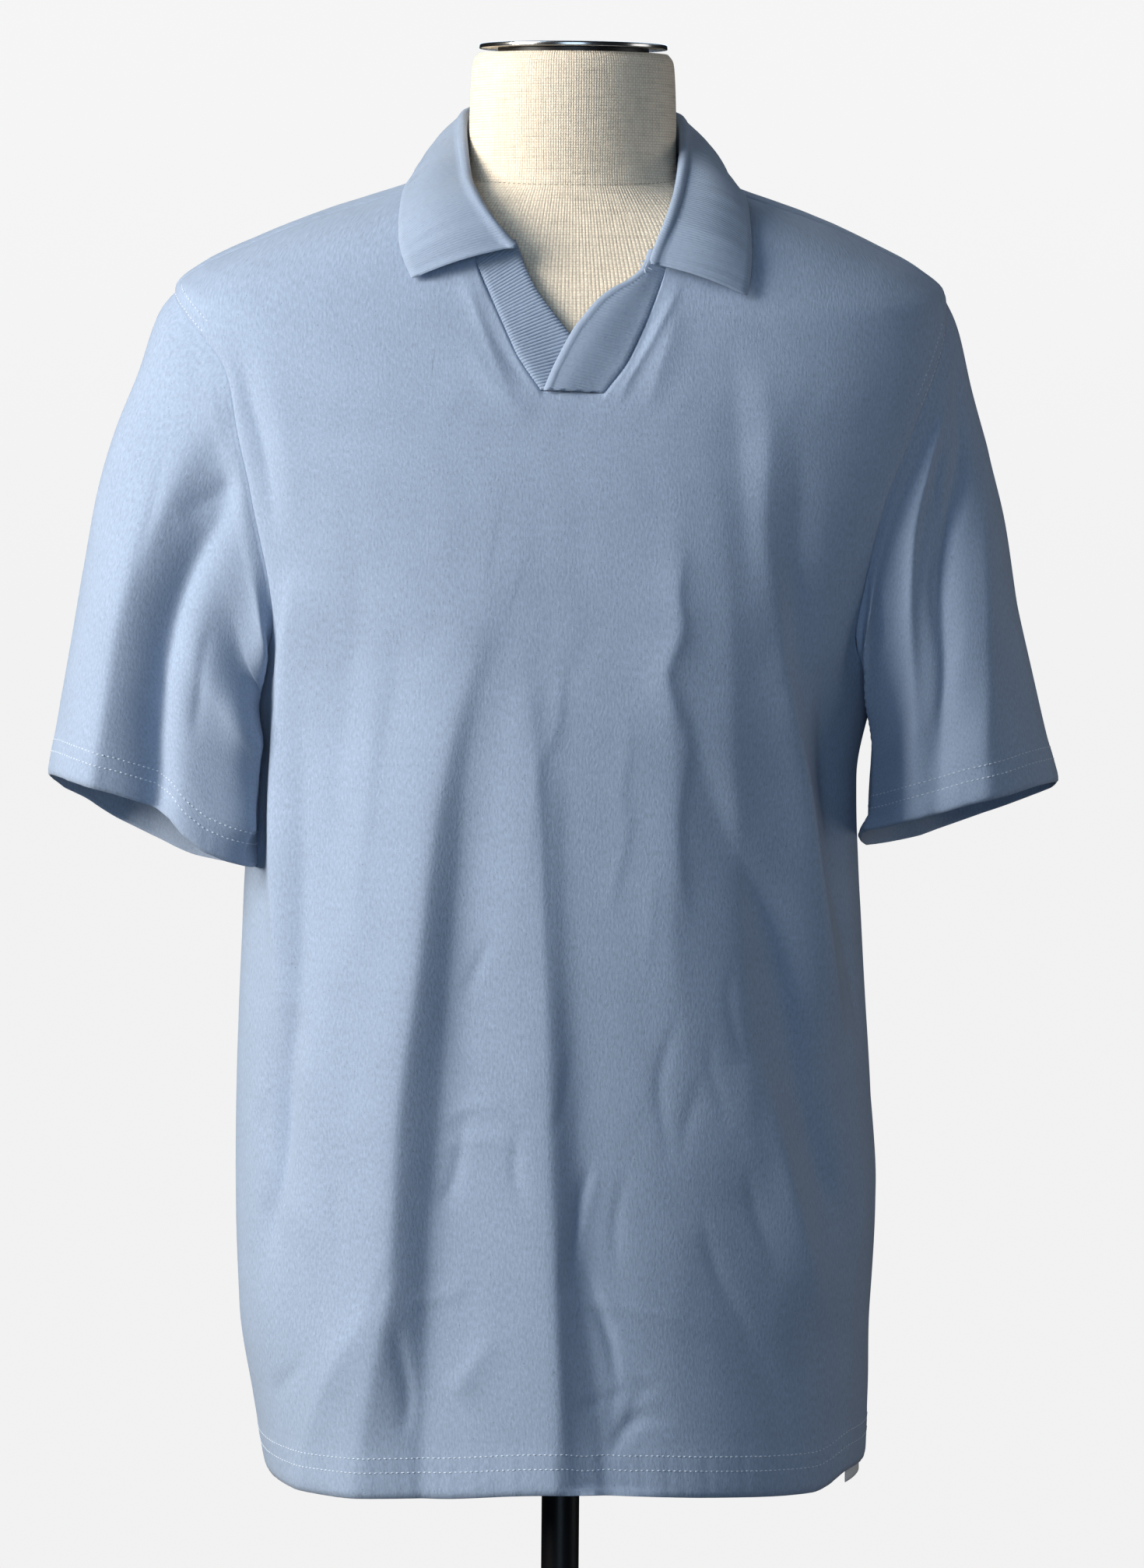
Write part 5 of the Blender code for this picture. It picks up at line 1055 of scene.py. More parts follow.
def sleeve_grid(table, creases, edge, hand):
    """A sleeve's outer points, the way out at each, and its cloth coordinates. edge holds the armhole's points."""
    count = len(edge)
    base = sleeve_section(table, 0.0)
    outer, inner = np.array([base[0], base[1]]), np.array([base[2], base[3]])
    middle, axis = (outer + inner) / 2.0, (outer - inner) / 2.0
    reach = ((edge[:, [0, 2]] - middle) @ axis) / (axis @ axis)
    start = np.arccos(np.clip(reach, -1.0, 1.0))
    half = count // 2
    start[half + 1 :] = math.tau - start[half + 1 :]
    start[0], start[half] = 0.0, math.pi
    even = np.linspace(0.0, math.tau, count, endpoint=False)
    shift = edge - sleeve_points(table, np.zeros(count), start)
    alongs = np.linspace(0.0, 1.0, SLEEVE_ROWS + 1)
    rows, angles = [], []
    for along in alongs:
        angle = start + (even - start) * smooth(along / EVEN_FROM)
        points = sleeve_points(table, np.full(count, along), angle) + hang(hand, angle, np.full(count, along))
        rows.append(points + shift * (1.0 - smooth(along / FREE_FROM)))
        angles.append(angle)
    plain, angles = np.array(rows), np.array(angles)
    spread = np.repeat(alongs[:, None], count, axis=1)
    normal = (1.0 if hand == "left" else -1.0) * grid_normals(plain, ring=True)
    from_hem = (1.0 - spread) * SLEEVE_LONG
    around = angles * SLEEVE_AROUND
    rise = sleeve_rise(creases, np.degrees(angles), spread, hand) * smooth(spread / CREASED_FROM)
    rise += hem_shape(from_hem, around, SLEEVE_HEM_AT, 3.0 if hand == "left" else 4.0)
    rise += seam_dip(spread * SLEEVE_LONG)
    rise += UNDER_ARM_SEAM * seam_dip(np.abs(angles - math.pi) * SLEEVE_AROUND)
    return plain + rise[..., None] * normal, normal, np.stack([around, from_hem], axis=-1)


def around_armhole(hand, item):
    """The values of a panel grid round one armhole, from the tip down the front and up the back."""
    column, other = (-1, 0) if hand == "left" else (0, -1)
    front = outer_faces["front"][item][SIDE_ROWS["front"] :, column]
    back = outer_faces["back"][item][SIDE_ROWS["back"] :, other]
    return np.vstack([front[::-1], back[1:-1]])


def tube(name, outer, thick, directions, uv):
    """A closed thin tube of cloth from rows of points round it. The last column joins the first."""
    columns = outer.shape[1]
    inner = outer - thick * directions
    rims = [
        outer[j] - directions[j] * thick * 0.5 + unit(outer[j] - outer[beside]) * thick * RIM_ROUND
        for j, beside in ((0, 1), (-1, -2))
    ]
    stack = np.concatenate([outer, rims[1][None], inner[::-1], rims[0][None]])
    places = np.concatenate([uv, uv[-1:], uv[::-1], uv[:1]])
    total = len(stack)
    stack = np.concatenate([stack, stack[:, :1]], axis=1)
    after = places[:, :1].copy()
    after[..., 0] += math.tau * SLEEVE_AROUND
    places = np.concatenate([places, after], axis=1)
    index = np.arange(total * (columns + 1)).reshape(total, columns + 1)
    below, above = index, np.roll(index, -1, axis=0)
    quads = np.stack([below[:, :-1], below[:, 1:], above[:, 1:], above[:, :-1]], axis=-1)
    if (np.cross(outer[0, 1] - outer[0, 0], outer[1, 0] - outer[0, 0]) @ directions[0, 0]) < 0.0:
        quads = quads[..., ::-1]
    made = build_object(name, stack.reshape(-1, 3), quads.reshape(-1, 4).tolist(), places.reshape(-1, 2))
    return weld(made)


def weld(piece):
    """Joins points that lie on each other, as along the line where a tube closes."""
    import bmesh

    work = bmesh.new()
    work.from_mesh(piece.data)
    bmesh.ops.remove_doubles(work, verts=work.verts, dist=1e-7)
    work.to_mesh(piece.data)
    work.free()
    return piece


sleeve_tables = {
    "left": (SLEEVE_LEFT_SECTIONS, SLEEVE_LEFT_CREASES),
    "right": (SLEEVE_RIGHT_SECTIONS, SLEEVE_RIGHT_CREASES),
}
pieces, armhole_ways, armhole_gaps, sleeve_outer = {}, {}, {}, {}
for hand, (sections, creases) in sleeve_tables.items():
    edge, body_way = around_armhole(hand, 0), around_armhole(hand, 1)
    outer, normal, uv = sleeve_grid(sections, creases, edge, hand)
    outer[0] = edge
    way = unit(normal[0] + body_way)
    grow = np.minimum(1.0 / np.maximum((way * body_way).sum(axis=1), 0.3), 1.5)
    armhole_ways[hand] = way * grow[:, None]
    armhole_gaps[hand] = SEAM_GAP * (1.0 + FOLDED_GAP * (0.5 - 0.5 * (normal[0] * body_way).sum(axis=1)))
    directions = normal.copy()
    directions[0] = armhole_ways[hand]
    outer[0] = outer[0] + armhole_gaps[hand][:, None] * seam_side(outer[0], outer[1])
    sleeve_outer[hand] = (outer, normal)
    pieces["cloth_sleeve_" + hand] = tube("cloth_sleeve_" + hand, outer, JERSEY_THICK, directions, uv)

# %% Panels sewn to the sleeves
for face, (outer, normal, uv) in outer_faces.items():
    directions = normal.copy()
    pull = np.zeros(outer.shape)
    for hand in ("left", "right"):
        first = face + hand in ("frontright", "backleft")
        column, beside = (0, 1) if first else (-1, -2)
        low = SIDE_ROWS[face]
        if face == "front":
            around = np.arange(ARMHOLE_ROWS, -1, -1)
        else:
            around = np.append(np.arange(ARMHOLE_ROWS, 2 * ARMHOLE_ROWS), 0)
        directions[low:, column] = armhole_ways[hand][around]
        gaps = np.append(np.full(low, SEAM_GAP), armhole_gaps[hand][around])
        pull[:, column] += gaps[:, None] * seam_side(outer[:, column], outer[:, beside])
    pull[-1] += SEAM_GAP * seam_side(outer[-1], outer[-2])
    pieces["cloth_" + face] = cloth("cloth_" + face, outer + pull, JERSEY_THICK, uv, directions)
for name, piece in pieces.items():
    print(name, len(piece.data.polygons), "faces")

# %% [markdown]
# ## The collar
#
# The collar is one flat-knit piece with a finished edge. It is sewn to the neckline, stands up, rolls over and lies
# open on the chest. Three curves hold its shape: where it is sewn, where it rolls, and its outer edge. Rows of
# points run from the first curve over the second to the third, and the leaf bows and waves a little between them.

# %% Collar curves
COLLAR_LEFT = (
    # base_x, base_y, base_z, roll_x, roll_y, roll_z, edge_x, edge_y, edge_z
    (0.0520, -0.0775, 1.1770, 0.0436, -0.0850, 1.1745, 0.0986, -0.0850, 1.1553),
    (0.0555, -0.0715, 1.1865, 0.0468, -0.0800, 1.1835, 0.1005, -0.0778, 1.1680),
    (0.0578, -0.0620, 1.2001, 0.0535, -0.0705, 1.2000, 0.1012, -0.0685, 1.1815),
    (0.0602, -0.0475, 1.2139, 0.0580, -0.0550, 1.2145, 0.1005, -0.0530, 1.1975),
    (0.0622, -0.0295, 1.2244, 0.0606, -0.0315, 1.2310, 0.0985, -0.0340, 1.2110),
    (0.0634, -0.0100, 1.2294, 0.0618, -0.0020, 1.2460, 0.0930, -0.0060, 1.2185),
    (0.0624, 0.0160, 1.2331, 0.0612, 0.0230, 1.2560, 0.0865, 0.0210, 1.2250),
    (0.0550, 0.0415, 1.2346, 0.0550, 0.0450, 1.2615, 0.0740, 0.0500, 1.2260),
    (0.0300, 0.0575, 1.2346, 0.0305, 0.0600, 1.2655, 0.0420, 0.0705, 1.2215),
)
COLLAR_BACK = (
    # base_x, base_y, base_z, roll_x, roll_y, roll_z, edge_x, edge_y, edge_z
    (0.0, 0.0612, 1.2341, 0.0, 0.0635, 1.2670, 0.0, 0.0765, 1.2195),
)
COLLAR_RIGHT = (
    # base_x, base_y, base_z, roll_x, roll_y, roll_z, edge_x, edge_y, edge_z
    (-0.0390, -0.0745, 1.1845, -0.0308, -0.0835, 1.1823, -0.0894, -0.0838, 1.1633),
    (-0.0510, -0.0700, 1.1880, -0.0431, -0.0745, 1.1960, -0.0945, -0.0765, 1.1744),
    (-0.0575, -0.0605, 1.2006, -0.0518, -0.0630, 1.2094, -0.0973, -0.0675, 1.1856),
    (-0.0602, -0.0470, 1.2139, -0.0568, -0.0450, 1.2205, -0.0975, -0.0490, 1.2020),
    (-0.0622, -0.0290, 1.2244, -0.0600, -0.0200, 1.2380, -0.0955, -0.0290, 1.2144),
    (-0.0634, -0.0100, 1.2294, -0.0616, 0.0060, 1.2520, -0.0905, -0.0040, 1.2215),
    (-0.0624, 0.0160, 1.2331, -0.0608, 0.0260, 1.2595, -0.0840, 0.0230, 1.2275),
    (-0.0550, 0.0415, 1.2346, -0.0540, 0.0460, 1.2635, -0.0725, 0.0510, 1.2275),
    (-0.0300, 0.0575, 1.2346, -0.0303, 0.0605, 1.2660, -0.0415, 0.0710, 1.2225),
)
RIB_THICK = 0.0020
COLLAR_COLUMNS = 1344
STAND_ROWS, ROLL_ROWS, LEAF_ROWS = 8, 12, 26
COLLAR_RIB, COLLAR_RIB_DEEP = 0.0016, 0.00010
SELF_EDGE = 0.0044  # width of the plain band that finishes the leaf's edge
COLLAR_ROLL_RADIUS = 0.0030
COLLAR_CLEAR = 0.0016  # least gap from the collar to the cloth under it
CLEAR_REACH, CLEAR_ROUNDS = 0.03, 3
LEAF_BOW = 0.0035
LEAF_WAVES = ((0.0010, 34.0, 2.0), (0.0005, 90.0, 5.0))  # height, rate along the collar and seed of each
STAND_SHARE = 0.92  # of the way up to the roll, where the stand's rows end
ROLL_FLAT = 0.8  # how wide the roll is, beside how high


def dense_body(face):
    """A fine grid of the shirt's smooth face round the neck, and its normals, to keep the collar clear of it."""
    height = np.linspace(1.09, NECK_POINT_Z, 60)[:, None]
    start, end = (0.0, math.pi) if face == "front" else (-math.pi, 0.0)
    height, angle = np.broadcast_arrays(height, np.linspace(start, end, 161)[None, :])
    return body_point(height, angle).reshape(-1, 3), body_normal(height, angle).reshape(-1, 3)


def keep_clear(points, floor_points, floor_normals, least):
    """Points moved out where they lie less than the given distance over the nearest face under them."""
    from mathutils.kdtree import KDTree

    tree = KDTree(len(floor_points))
    for i, p in enumerate(floor_points):
        tree.insert(p, i)
    tree.balance()
    flat = points.reshape(-1, 3).copy()
    for _ in range(CLEAR_ROUNDS):
        near = np.array([tree.find(p)[1] for p in flat])
        gap = flat - floor_points[near]
        over = (gap * floor_normals[near]).sum(axis=1)
        short = np.where(np.linalg.norm(gap, axis=1) < CLEAR_REACH, np.maximum(least - over, 0.0), 0.0)
        flat += short[:, None] * floor_normals[near]
    return flat.reshape(points.shape)


def collar_surface():
    """The middle of the collar's cloth: rows from its sewn base over the roll to the leaf's edge."""
    stations = np.array(COLLAR_LEFT + COLLAR_BACK + COLLAR_RIGHT[::-1])
    path = smooth_path(stations, COLLAR_COLUMNS + 1)
    base, roll, edge = path[:, 0:3], path[:, 3:6], path[:, 6:9]
    down = unit(edge - roll)
    rise = unit(roll - base)
    apart = unit(down - rise * (down * rise).sum(axis=1, keepdims=True))
    rows = [base + (roll - base) * k / STAND_ROWS * STAND_SHARE for k in range(STAND_ROWS)]
    for k in range(ROLL_ROWS + 1):
        bend = math.pi * k / ROLL_ROWS
        offset = -rise * (1.0 - math.sin(bend)) * COLLAR_ROLL_RADIUS
        rows.append(roll + offset + apart * (1.0 - math.cos(bend)) * COLLAR_ROLL_RADIUS * ROLL_FLAT)
    last = rows[-1]
    out = unit(np.cross(down, np.gradient(roll, axis=0)))
    along = np.linspace(0.0, 1.0, COLLAR_COLUMNS + 1)
    wave = sum(high * wander(along * rate, seed) for high, rate, seed in LEAF_WAVES)
    for k in range(1, LEAF_ROWS + 1):
        t = k / LEAF_ROWS
        bow = LEAF_BOW * math.sin(math.pi * t) + wave * t * smooth(2.2 * (1.0 - t) + 0.35)
        rows.append(last + (edge - last) * t + out * bow[:, None])
    return np.array(rows)


floor = [dense_body(face) for face in ("front", "back")]
floor_points, floor_normals = (np.vstack([f[k] for f in floor]) for k in (0, 1))
collar_middle = collar_surface()
sewn = STAND_ROWS + 1
collar_middle[sewn:] = keep_clear(collar_middle[sewn:], floor_points, floor_normals, COLLAR_CLEAR + RIB_THICK / 2)
for _ in range(CLEAR_ROUNDS):  # evens out the small steps that keeping clear leaves
    inside = collar_middle[sewn:-1, 1:-1]
    mean = (collar_middle[sewn:-1, :-2] + collar_middle[sewn:-1, 2:]) / 2.0
    collar_middle[sewn:-1, 1:-1] = inside + 0.5 * (mean - inside)

# %% Collar cloth
def metric_places(grid):
    """Cloth coordinates of an open grid, in metres along its middle row and along its middle column."""
    across = np.linalg.norm(np.diff(grid, axis=1), axis=2)
    across = np.hstack([np.zeros((len(grid), 1)), across.cumsum(axis=1)])
    across = across - across[:, -1:] / 2.0
    up = np.linalg.norm(np.diff(grid, axis=0), axis=2)
    up = np.vstack([np.zeros((1, grid.shape[1])), up.cumsum(axis=0)])
    return np.stack([across, up], axis=-1)


collar_normal = grid_normals(collar_middle)
collar_uv = metric_places(collar_middle)
collar_uv[..., 0] = collar_uv[len(collar_middle) // 2, :, 0]
leaf_edge = collar_uv[-1, :, 1] - collar_uv[..., 1]
collar_ribs = np.sin(collar_uv[..., 0] * math.tau / COLLAR_RIB) * smooth((leaf_edge - SELF_EDGE) / 0.001)
collar_lip = 0.00012 * smooth((SELF_EDGE - leaf_edge) / 0.0008)
collar_rise = RIB_THICK / 2 + COLLAR_RIB_DEEP * collar_ribs + collar_lip
pieces["cloth_collar"] = cloth(
    "cloth_collar", collar_middle + collar_normal * collar_rise[..., None], RIB_THICK, collar_uv, collar_normal
)

# %% [markdown]
# ## The rib strips of the V
#
# Two short strips of rib knit edge the V in place of a buttoned placket. They lie on the chest from the collar's ends
# down to the foot of the V, where the wearer's left strip crosses over the right one.

# %% Strips of the V
PLACKET_LEFT_EDGES = (
    # outer_z, inner_x, inner_z, lift_inner
    (1.1765, 0.0440, 1.1800, 0.0012),
    (1.1682, 0.0400, 1.1700, 0.0016),
    (1.1575, 0.0327, 1.1629, 0.0022),
    (1.1460, 0.0234, 1.1575, 0.0028),
    (1.1346, 0.0152, 1.1507, 0.0034),
    (1.1245, 0.0074, 1.1414, 0.0036),
    (1.1150, 0.0013, 1.1333, 0.0036),
    (1.1065, -0.0085, 1.1146, 0.0034),
    (1.1004, -0.0143, 1.1008, 0.0032),
)
PLACKET_RIGHT_EDGES = (
    # outer_z, inner_x, inner_z, lift_inner
    (1.1790, -0.0325, 1.1850, 0.0000),
    (1.1705, -0.0300, 1.1790, 0.0000),
    (1.1615, -0.0262, 1.1690, 0.0000),
    (1.1510, -0.0205, 1.1580, 0.0000),
    (1.1390, -0.0141, 1.1490, 0.0000),
    (1.1275, -0.0061, 1.1390, -0.0008),
    (1.1160, 0.0020, 1.1285, -0.0018),
    (1.1080, 0.0080, 1.1150, -0.0024),
    (1.1014, 0.0120, 1.1014, -0.0026),
)
PLACKET_CLEAR = 0.0005
STRIP_ROUND_DEEP, STRIP_ROUND_WIDE = 0.0005, 0.0012  # how the strips' long edges are rounded off
PLACKET_ACROSS, PLACKET_ALONG = 60, 400
STRIP_RIB, STRIP_RIB_DEEP = 0.0015, 0.00052
STRIP_SLOPES = {"left": (-13.0, -13.0), "right": (10.0, 38.0)}  # of the ribs, at the foot and at the top, degrees
STRIP_FOOT_Z, STRIP_TOP_Z = 1.100, 1.180
ROLLED_BAND = 0.0044  # width of the smooth band along the inner edge of the wearer's left strip


def placket_surface(table, neckline):
    """A strip laid on the chest from the panel's V to its own inner edge, rows from its top end down."""
    rows = smooth_path(np.array(table), PLACKET_ALONG + 1)
    share = np.linspace(0.0, 1.0, PLACKET_ACROSS + 1)[None, :]
    edge = np.array(neckline[1:])
    outer_x = np.interp(rows[:, 0:1], edge[:, 1], edge[:, 0])
    outer_x = outer_x - np.sign(outer_x) * PLACKET_CLEAR
    x = outer_x + (rows[:, 1:2] - outer_x) * share
    z = rows[:, 0:1] + (rows[:, 2:3] - rows[:, 0:1]) * share
    lift = rows[:, 3:4] * smooth(share / 0.75)
    height = ring_height_for(x, z)
    angle = angle_of_x(height, x)
    normal = body_normal(height, angle)
    return body_point(height, angle) + lift[..., None] * normal, normal


def strip_ribs(grid, hand):
    """Heights of the ribs that cross a strip. Each rib is a straight line that starts on the strip's outer edge."""
    x, z = grid[..., 0], grid[..., 2]
    edge_x, edge_z = grid[::-1, 0, 0], grid[::-1, 0, 2]
    low, high = np.tan(np.radians(STRIP_SLOPES[hand]))
    start = z.copy()
    for _ in range(8):
        slope = low + (high - low) * np.clip((start - STRIP_FOOT_Z) / (STRIP_TOP_Z - STRIP_FOOT_Z), 0.0, 1.0)
        start = z - slope * (x - np.interp(start, edge_z, edge_x))
    return np.abs(np.sin(math.pi * start / STRIP_RIB)) ** 0.7 - 0.6


for hand, table, neckline in (
    ("left", PLACKET_LEFT_EDGES, FRONT_NECK_LEFT),
    ("right", PLACKET_RIGHT_EDGES, FRONT_NECK_RIGHT),
):
    strip, way = placket_surface(table, neckline)
    ribs = strip_ribs(strip, hand)
    inner_gap = edge_distance(strip, -1)
    if hand == "left":
        band = smooth((ROLLED_BAND - inner_gap) / 0.0008)
        rolled = 0.0004 * np.sin(np.clip(inner_gap / ROLLED_BAND, 0.0, 1.0) * math.pi) ** 0.7
        rise = STRIP_RIB_DEEP * ribs * (1.0 - band) + rolled * band
    else:
        rise = STRIP_RIB_DEEP * ribs
        nibble = 0.0004 * ribs * np.exp(-((inner_gap / 0.0006) ** 2))
        strip = strip + nibble[..., None] * unit(np.gradient(strip, axis=1))
    strip = strip + rise[..., None] * way
    if hand == "right":
        strip, way = strip[:, ::-1], way[:, ::-1]
    places = metric_places(strip)
    edges = (np.exp(-((edge_distance(strip, column) / STRIP_ROUND_WIDE) ** 2)) for column in (0, -1))
    shaped = strip - STRIP_ROUND_DEEP * sum(edges)[..., None] * way
    name = "cloth_placket_" + hand
    pieces[name] = cloth(name, shaped, RIB_THICK, places, way)

# %% [markdown]
# ## The label
#
# A bare care label hangs inside the left side seam, and a corner of it shows under the hem. It follows the shirt's
# inside and stays clear of it.

# %% Label
LABEL_ANGLES = (4.0, 21.0)
LABEL_TOP_Z, LABEL_LOW_Z = 0.522, 0.4715
LABEL_THICK, LABEL_INSIDE = 0.0006, 0.0034

label_height = np.linspace(LABEL_LOW_Z, LABEL_TOP_Z, 25)[:, None]
label_angle = np.radians(np.linspace(LABEL_ANGLES[1], LABEL_ANGLES[0], 21))[None, :]
label_height, label_angle = np.broadcast_arrays(label_height, label_angle)
label_way = body_normal(np.maximum(label_height, HEM_Z + 0.002), label_angle)
label_face = body_point(label_height, label_angle)
label_level = np.maximum(label_height, HEM_Z)
label_run = to_run(label_level.ravel(), label_angle.ravel(), CENTRE_LINE["front"], 0.0).reshape(label_level.shape)
follow = crease_heights("front", label_run, label_level)
label_face = label_face + (follow - LABEL_INSIDE)[..., None] * label_way
pieces["cloth_label"] = cloth(
    "cloth_label", label_face[:, ::-1], LABEL_THICK, metric_places(label_face[:, ::-1]), label_way[:, ::-1]
)

# %% [markdown]
# ## Stitches
#
# The hems are held by two rows of lighter thread, and the armholes by two short rows on the body side. Each stitch is
# a small rounded dash lying on the cloth. A row is found by measuring in from an edge of a grid, then walked along in
# even steps.

# %% Rows of stitches
STITCH_LONG, STITCH_GAP = 0.0020, 0.0011
STITCH_THICK = 0.00036
DASH_SIDES = 6
DASH_PROFILE = ((-0.5, 0.0), (-0.36, 0.8), (0.0, 1.0), (0.36, 0.8), (0.5, 0.0))  # place along it, and width there
DASH_WIDE, DASH_HIGH, DASH_WOBBLE = 1.1, 0.75, 0.06


def line_inside(points, ways, distance, edge):
    """The line so far in from the "low", "first" or "last" edge of a grid, with the cloth's normals."""
    if edge == "first":
        points, ways = points.swapaxes(0, 1), ways.swapaxes(0, 1)
    if edge == "last":
        points, ways = points.swapaxes(0, 1)[::-1], ways.swapaxes(0, 1)[::-1]
    step = np.linalg.norm(np.diff(points, axis=0), axis=2)
    run = np.vstack([np.zeros((1, points.shape[1])), step.cumsum(axis=0)])
    line, up = [], []
    for i in range(points.shape[1]):
        k = int(np.clip(np.searchsorted(run[:, i], distance) - 1, 0, len(run) - 2))
        t = (distance - run[k, i]) / max(run[k + 1, i] - run[k, i], 1e-9)
        line.append(points[k, i] * (1 - t) + points[k + 1, i] * t)
        up.append(ways[k, i] * (1 - t) + ways[k + 1, i] * t)
    return np.array(line), unit(np.array(up))


def walk(line, ways, closed=False):
    """Stitch middles, directions and normals along a line, at an even pitch."""
    if closed:
        line, ways = np.vstack([line, line[:1]]), np.vstack([ways, ways[:1]])
    run = np.concatenate([[0.0], np.linalg.norm(np.diff(line, axis=0), axis=1).cumsum()])
    count = int(run[-1] / (STITCH_LONG + STITCH_GAP))
    at = (np.arange(count) + 0.5) * run[-1] / count
    middle = np.stack([np.interp(at, run, line[:, k]) for k in range(3)], axis=1)
    ahead = np.stack([np.interp(at + 0.0004, run, line[:, k]) for k in range(3)], axis=1)
    normal = np.stack([np.interp(at, run, ways[:, k]) for k in range(3)], axis=1)
    return middle, unit(ahead - middle), unit(normal)


def dashes(name, rows, long=STITCH_LONG, thick=STITCH_THICK):
    """One object of many small rounded dashes, from rows of middles, directions and normals."""
    middle = np.vstack([r[0] for r in rows])
    along = np.vstack([r[1] for r in rows])
    normal = np.vstack([r[2] for r in rows])
    side = unit(np.cross(normal, along))
    wobble = np.random.default_rng(7).normal(0.0, DASH_WOBBLE, (len(middle), 2))
    along = unit(along + side * wobble[:, :1])
    turn = np.linspace(0.0, math.tau, DASH_SIDES, endpoint=False)[None, :, None]
    ring = np.cos(turn) * side[:, None] * DASH_WIDE + np.sin(turn) * normal[:, None] * DASH_HIGH
    points = []
    for place, wide in DASH_PROFILE:
        if wide == 0.0:
            points.append((middle + along * place * long - normal * thick * 0.2)[:, None])
            continue
        points.append((middle + along * place * long)[:, None] + ring * wide * thick)
    points = np.concatenate(points, axis=1)
    n = DASH_SIDES
    faces = [(0, 1 + (k + 1) % n, 1 + k) for k in range(n)]
    for r in range(2):
        a, b = 1 + r * n, 1 + (r + 1) * n
        faces += [(a + k, a + (k + 1) % n, b + (k + 1) % n, b + k) for k in range(n)]
    end, last = 1 + 3 * n, 1 + 2 * n
    faces += [(last + k, last + (k + 1) % n, end) for k in range(n)]
    size = points.shape[1]
    every = [tuple(i * size + p for p in face) for i in range(len(middle)) for face in faces]
    return build_object(name, points.reshape(-1, 3), every)


panel_ways = {face: grid_normals(outer_faces[face][0]) for face in outer_faces}
body_rows = [
    walk(*line_inside(outer_faces[face][0], ways, distance, "low"))
    for face, ways in panel_ways.items() for distance in HEM_ROWS_AT
]
pieces["stitches_hem"] = dashes("stitches_hem", body_rows)
for hand, (outer, normal) in sleeve_outer.items():
    ways = (1.0 if hand == "left" else -1.0) * grid_normals(outer, ring=True)
    rows = [walk(*line_inside(outer[::-1], ways[::-1], d, "low"), closed=True) for d in SLEEVE_HEM_AT]
    pieces["stitches_sleeve_" + hand] = dashes("stitches_sleeve_" + hand, rows)

# %% Armhole stitches
ARMHOLE_ROWS_AT = (0.0030, 0.0095)
ARMHOLE_STITCHED = {"left": (0.725, 0.90), "right": (0.825, 0.975)}  # share of the armhole, from the armpit up

armhole_rows = []
front_outer = outer_faces["front"][0]
for hand, (start, end) in ARMHOLE_STITCHED.items():
    low = SIDE_ROWS["front"]
    first, last = low + int(start * ARMHOLE_ROWS), low + int(end * ARMHOLE_ROWS)
    part, ways = front_outer[first:last], panel_ways["front"][first:last]
    for distance in ARMHOLE_ROWS_AT:
        line, up = line_inside(part, ways, distance, "last" if hand == "left" else "first")
        armhole_rows.append(walk(line, up))
pieces["stitches_armhole"] = dashes("stitches_armhole", armhole_rows)

# %% Loose stitches at the collar's end
LOOSE_AT = ((0.0397, 1.1722), (0.0421, 1.1702), (0.044, 1.168), (0.0412, 1.1668), (0.0455, 1.1712), (0.0388, 1.17))
LOOSE_TURNS = (10.0, 65.0, -30.0, 100.0, 35.0, -60.0)
LOOSE_OVER = 0.0029

loose_x, loose_z = np.array(LOOSE_AT).T
loose_height = ring_height_for(loose_x, loose_z)
loose_angle = angle_of_x(loose_height, loose_x)
loose_way = body_normal(loose_height, loose_angle)
loose_place = body_point(loose_height, loose_angle) + LOOSE_OVER * loose_way
turns = np.radians(LOOSE_TURNS)
loose_run = np.stack([np.cos(turns), np.zeros(len(turns)), np.sin(turns)], axis=1)
loose_run = unit(loose_run - loose_way * (loose_run * loose_way).sum(axis=1, keepdims=True))
pieces["stitches_collar"] = dashes("stitches_collar", [(loose_place, loose_run, loose_way)], 0.0030, 0.0003)

# %% [markdown]
# ## The dress form
#
# The form is a padded torso covered in linen, with a neck but no head or arms. Under the shirt it follows the same
# rings a little further in, so that the cloth rests on its shoulders and hangs free lower down.

# %% Linen form
FORM_GAPS = (
    # height, gap from the shirt's outer face to the form
    (0.56, 0.024), (0.64, 0.022), (0.75, 0.026), (0.86, 0.018), (0.96, 0.008), (1.06, 0.0065), (1.16, 0.0065),
    (1.227, 0.0055),
)
SHOULDER_GAP, SHOULDER_REST, SHOULDER_REST_HALF = 0.0026, (1.180, 1.220), 0.016
SHOULDER_REST_SOFT = 0.012
FORM_TOP_RING = 1.2140
NECK_RINGS = (
    # height, half_width, front_depth, back_depth, centre_y, lean
    (1.2230, 0.0610, 0.0460, 0.0560, -0.005, 0.17),
    (1.2320, 0.0596, 0.0480, 0.0545, -0.002, 0.12),
    (1.2430, 0.0594, 0.0510, 0.0545, 0.000, 0.06),
    (1.2580, 0.0594, 0.0540, 0.0555, 0.002, 0.00),
    (1.2780, 0.0586, 0.0545, 0.0560, 0.002, 0.00),
    (1.2880, 0.0575, 0.0535, 0.0550, 0.002, 0.00),
    (1.2925, 0.0545, 0.0505, 0.0520, 0.002, 0.00),
)
FORM_AROUND = 144
FORM_ROWS, NECK_ROWS, ROUND_ROWS = 84, 40, 8  # of the torso, the neck and the rounded underside
FORM_BOTTOM_Z, FORM_BOTTOM_ROUND = 0.545, 0.018
REST_GAP = 0.0003
POLE_RADIUS, POLE_INTO_FORM = 0.0110, 0.060


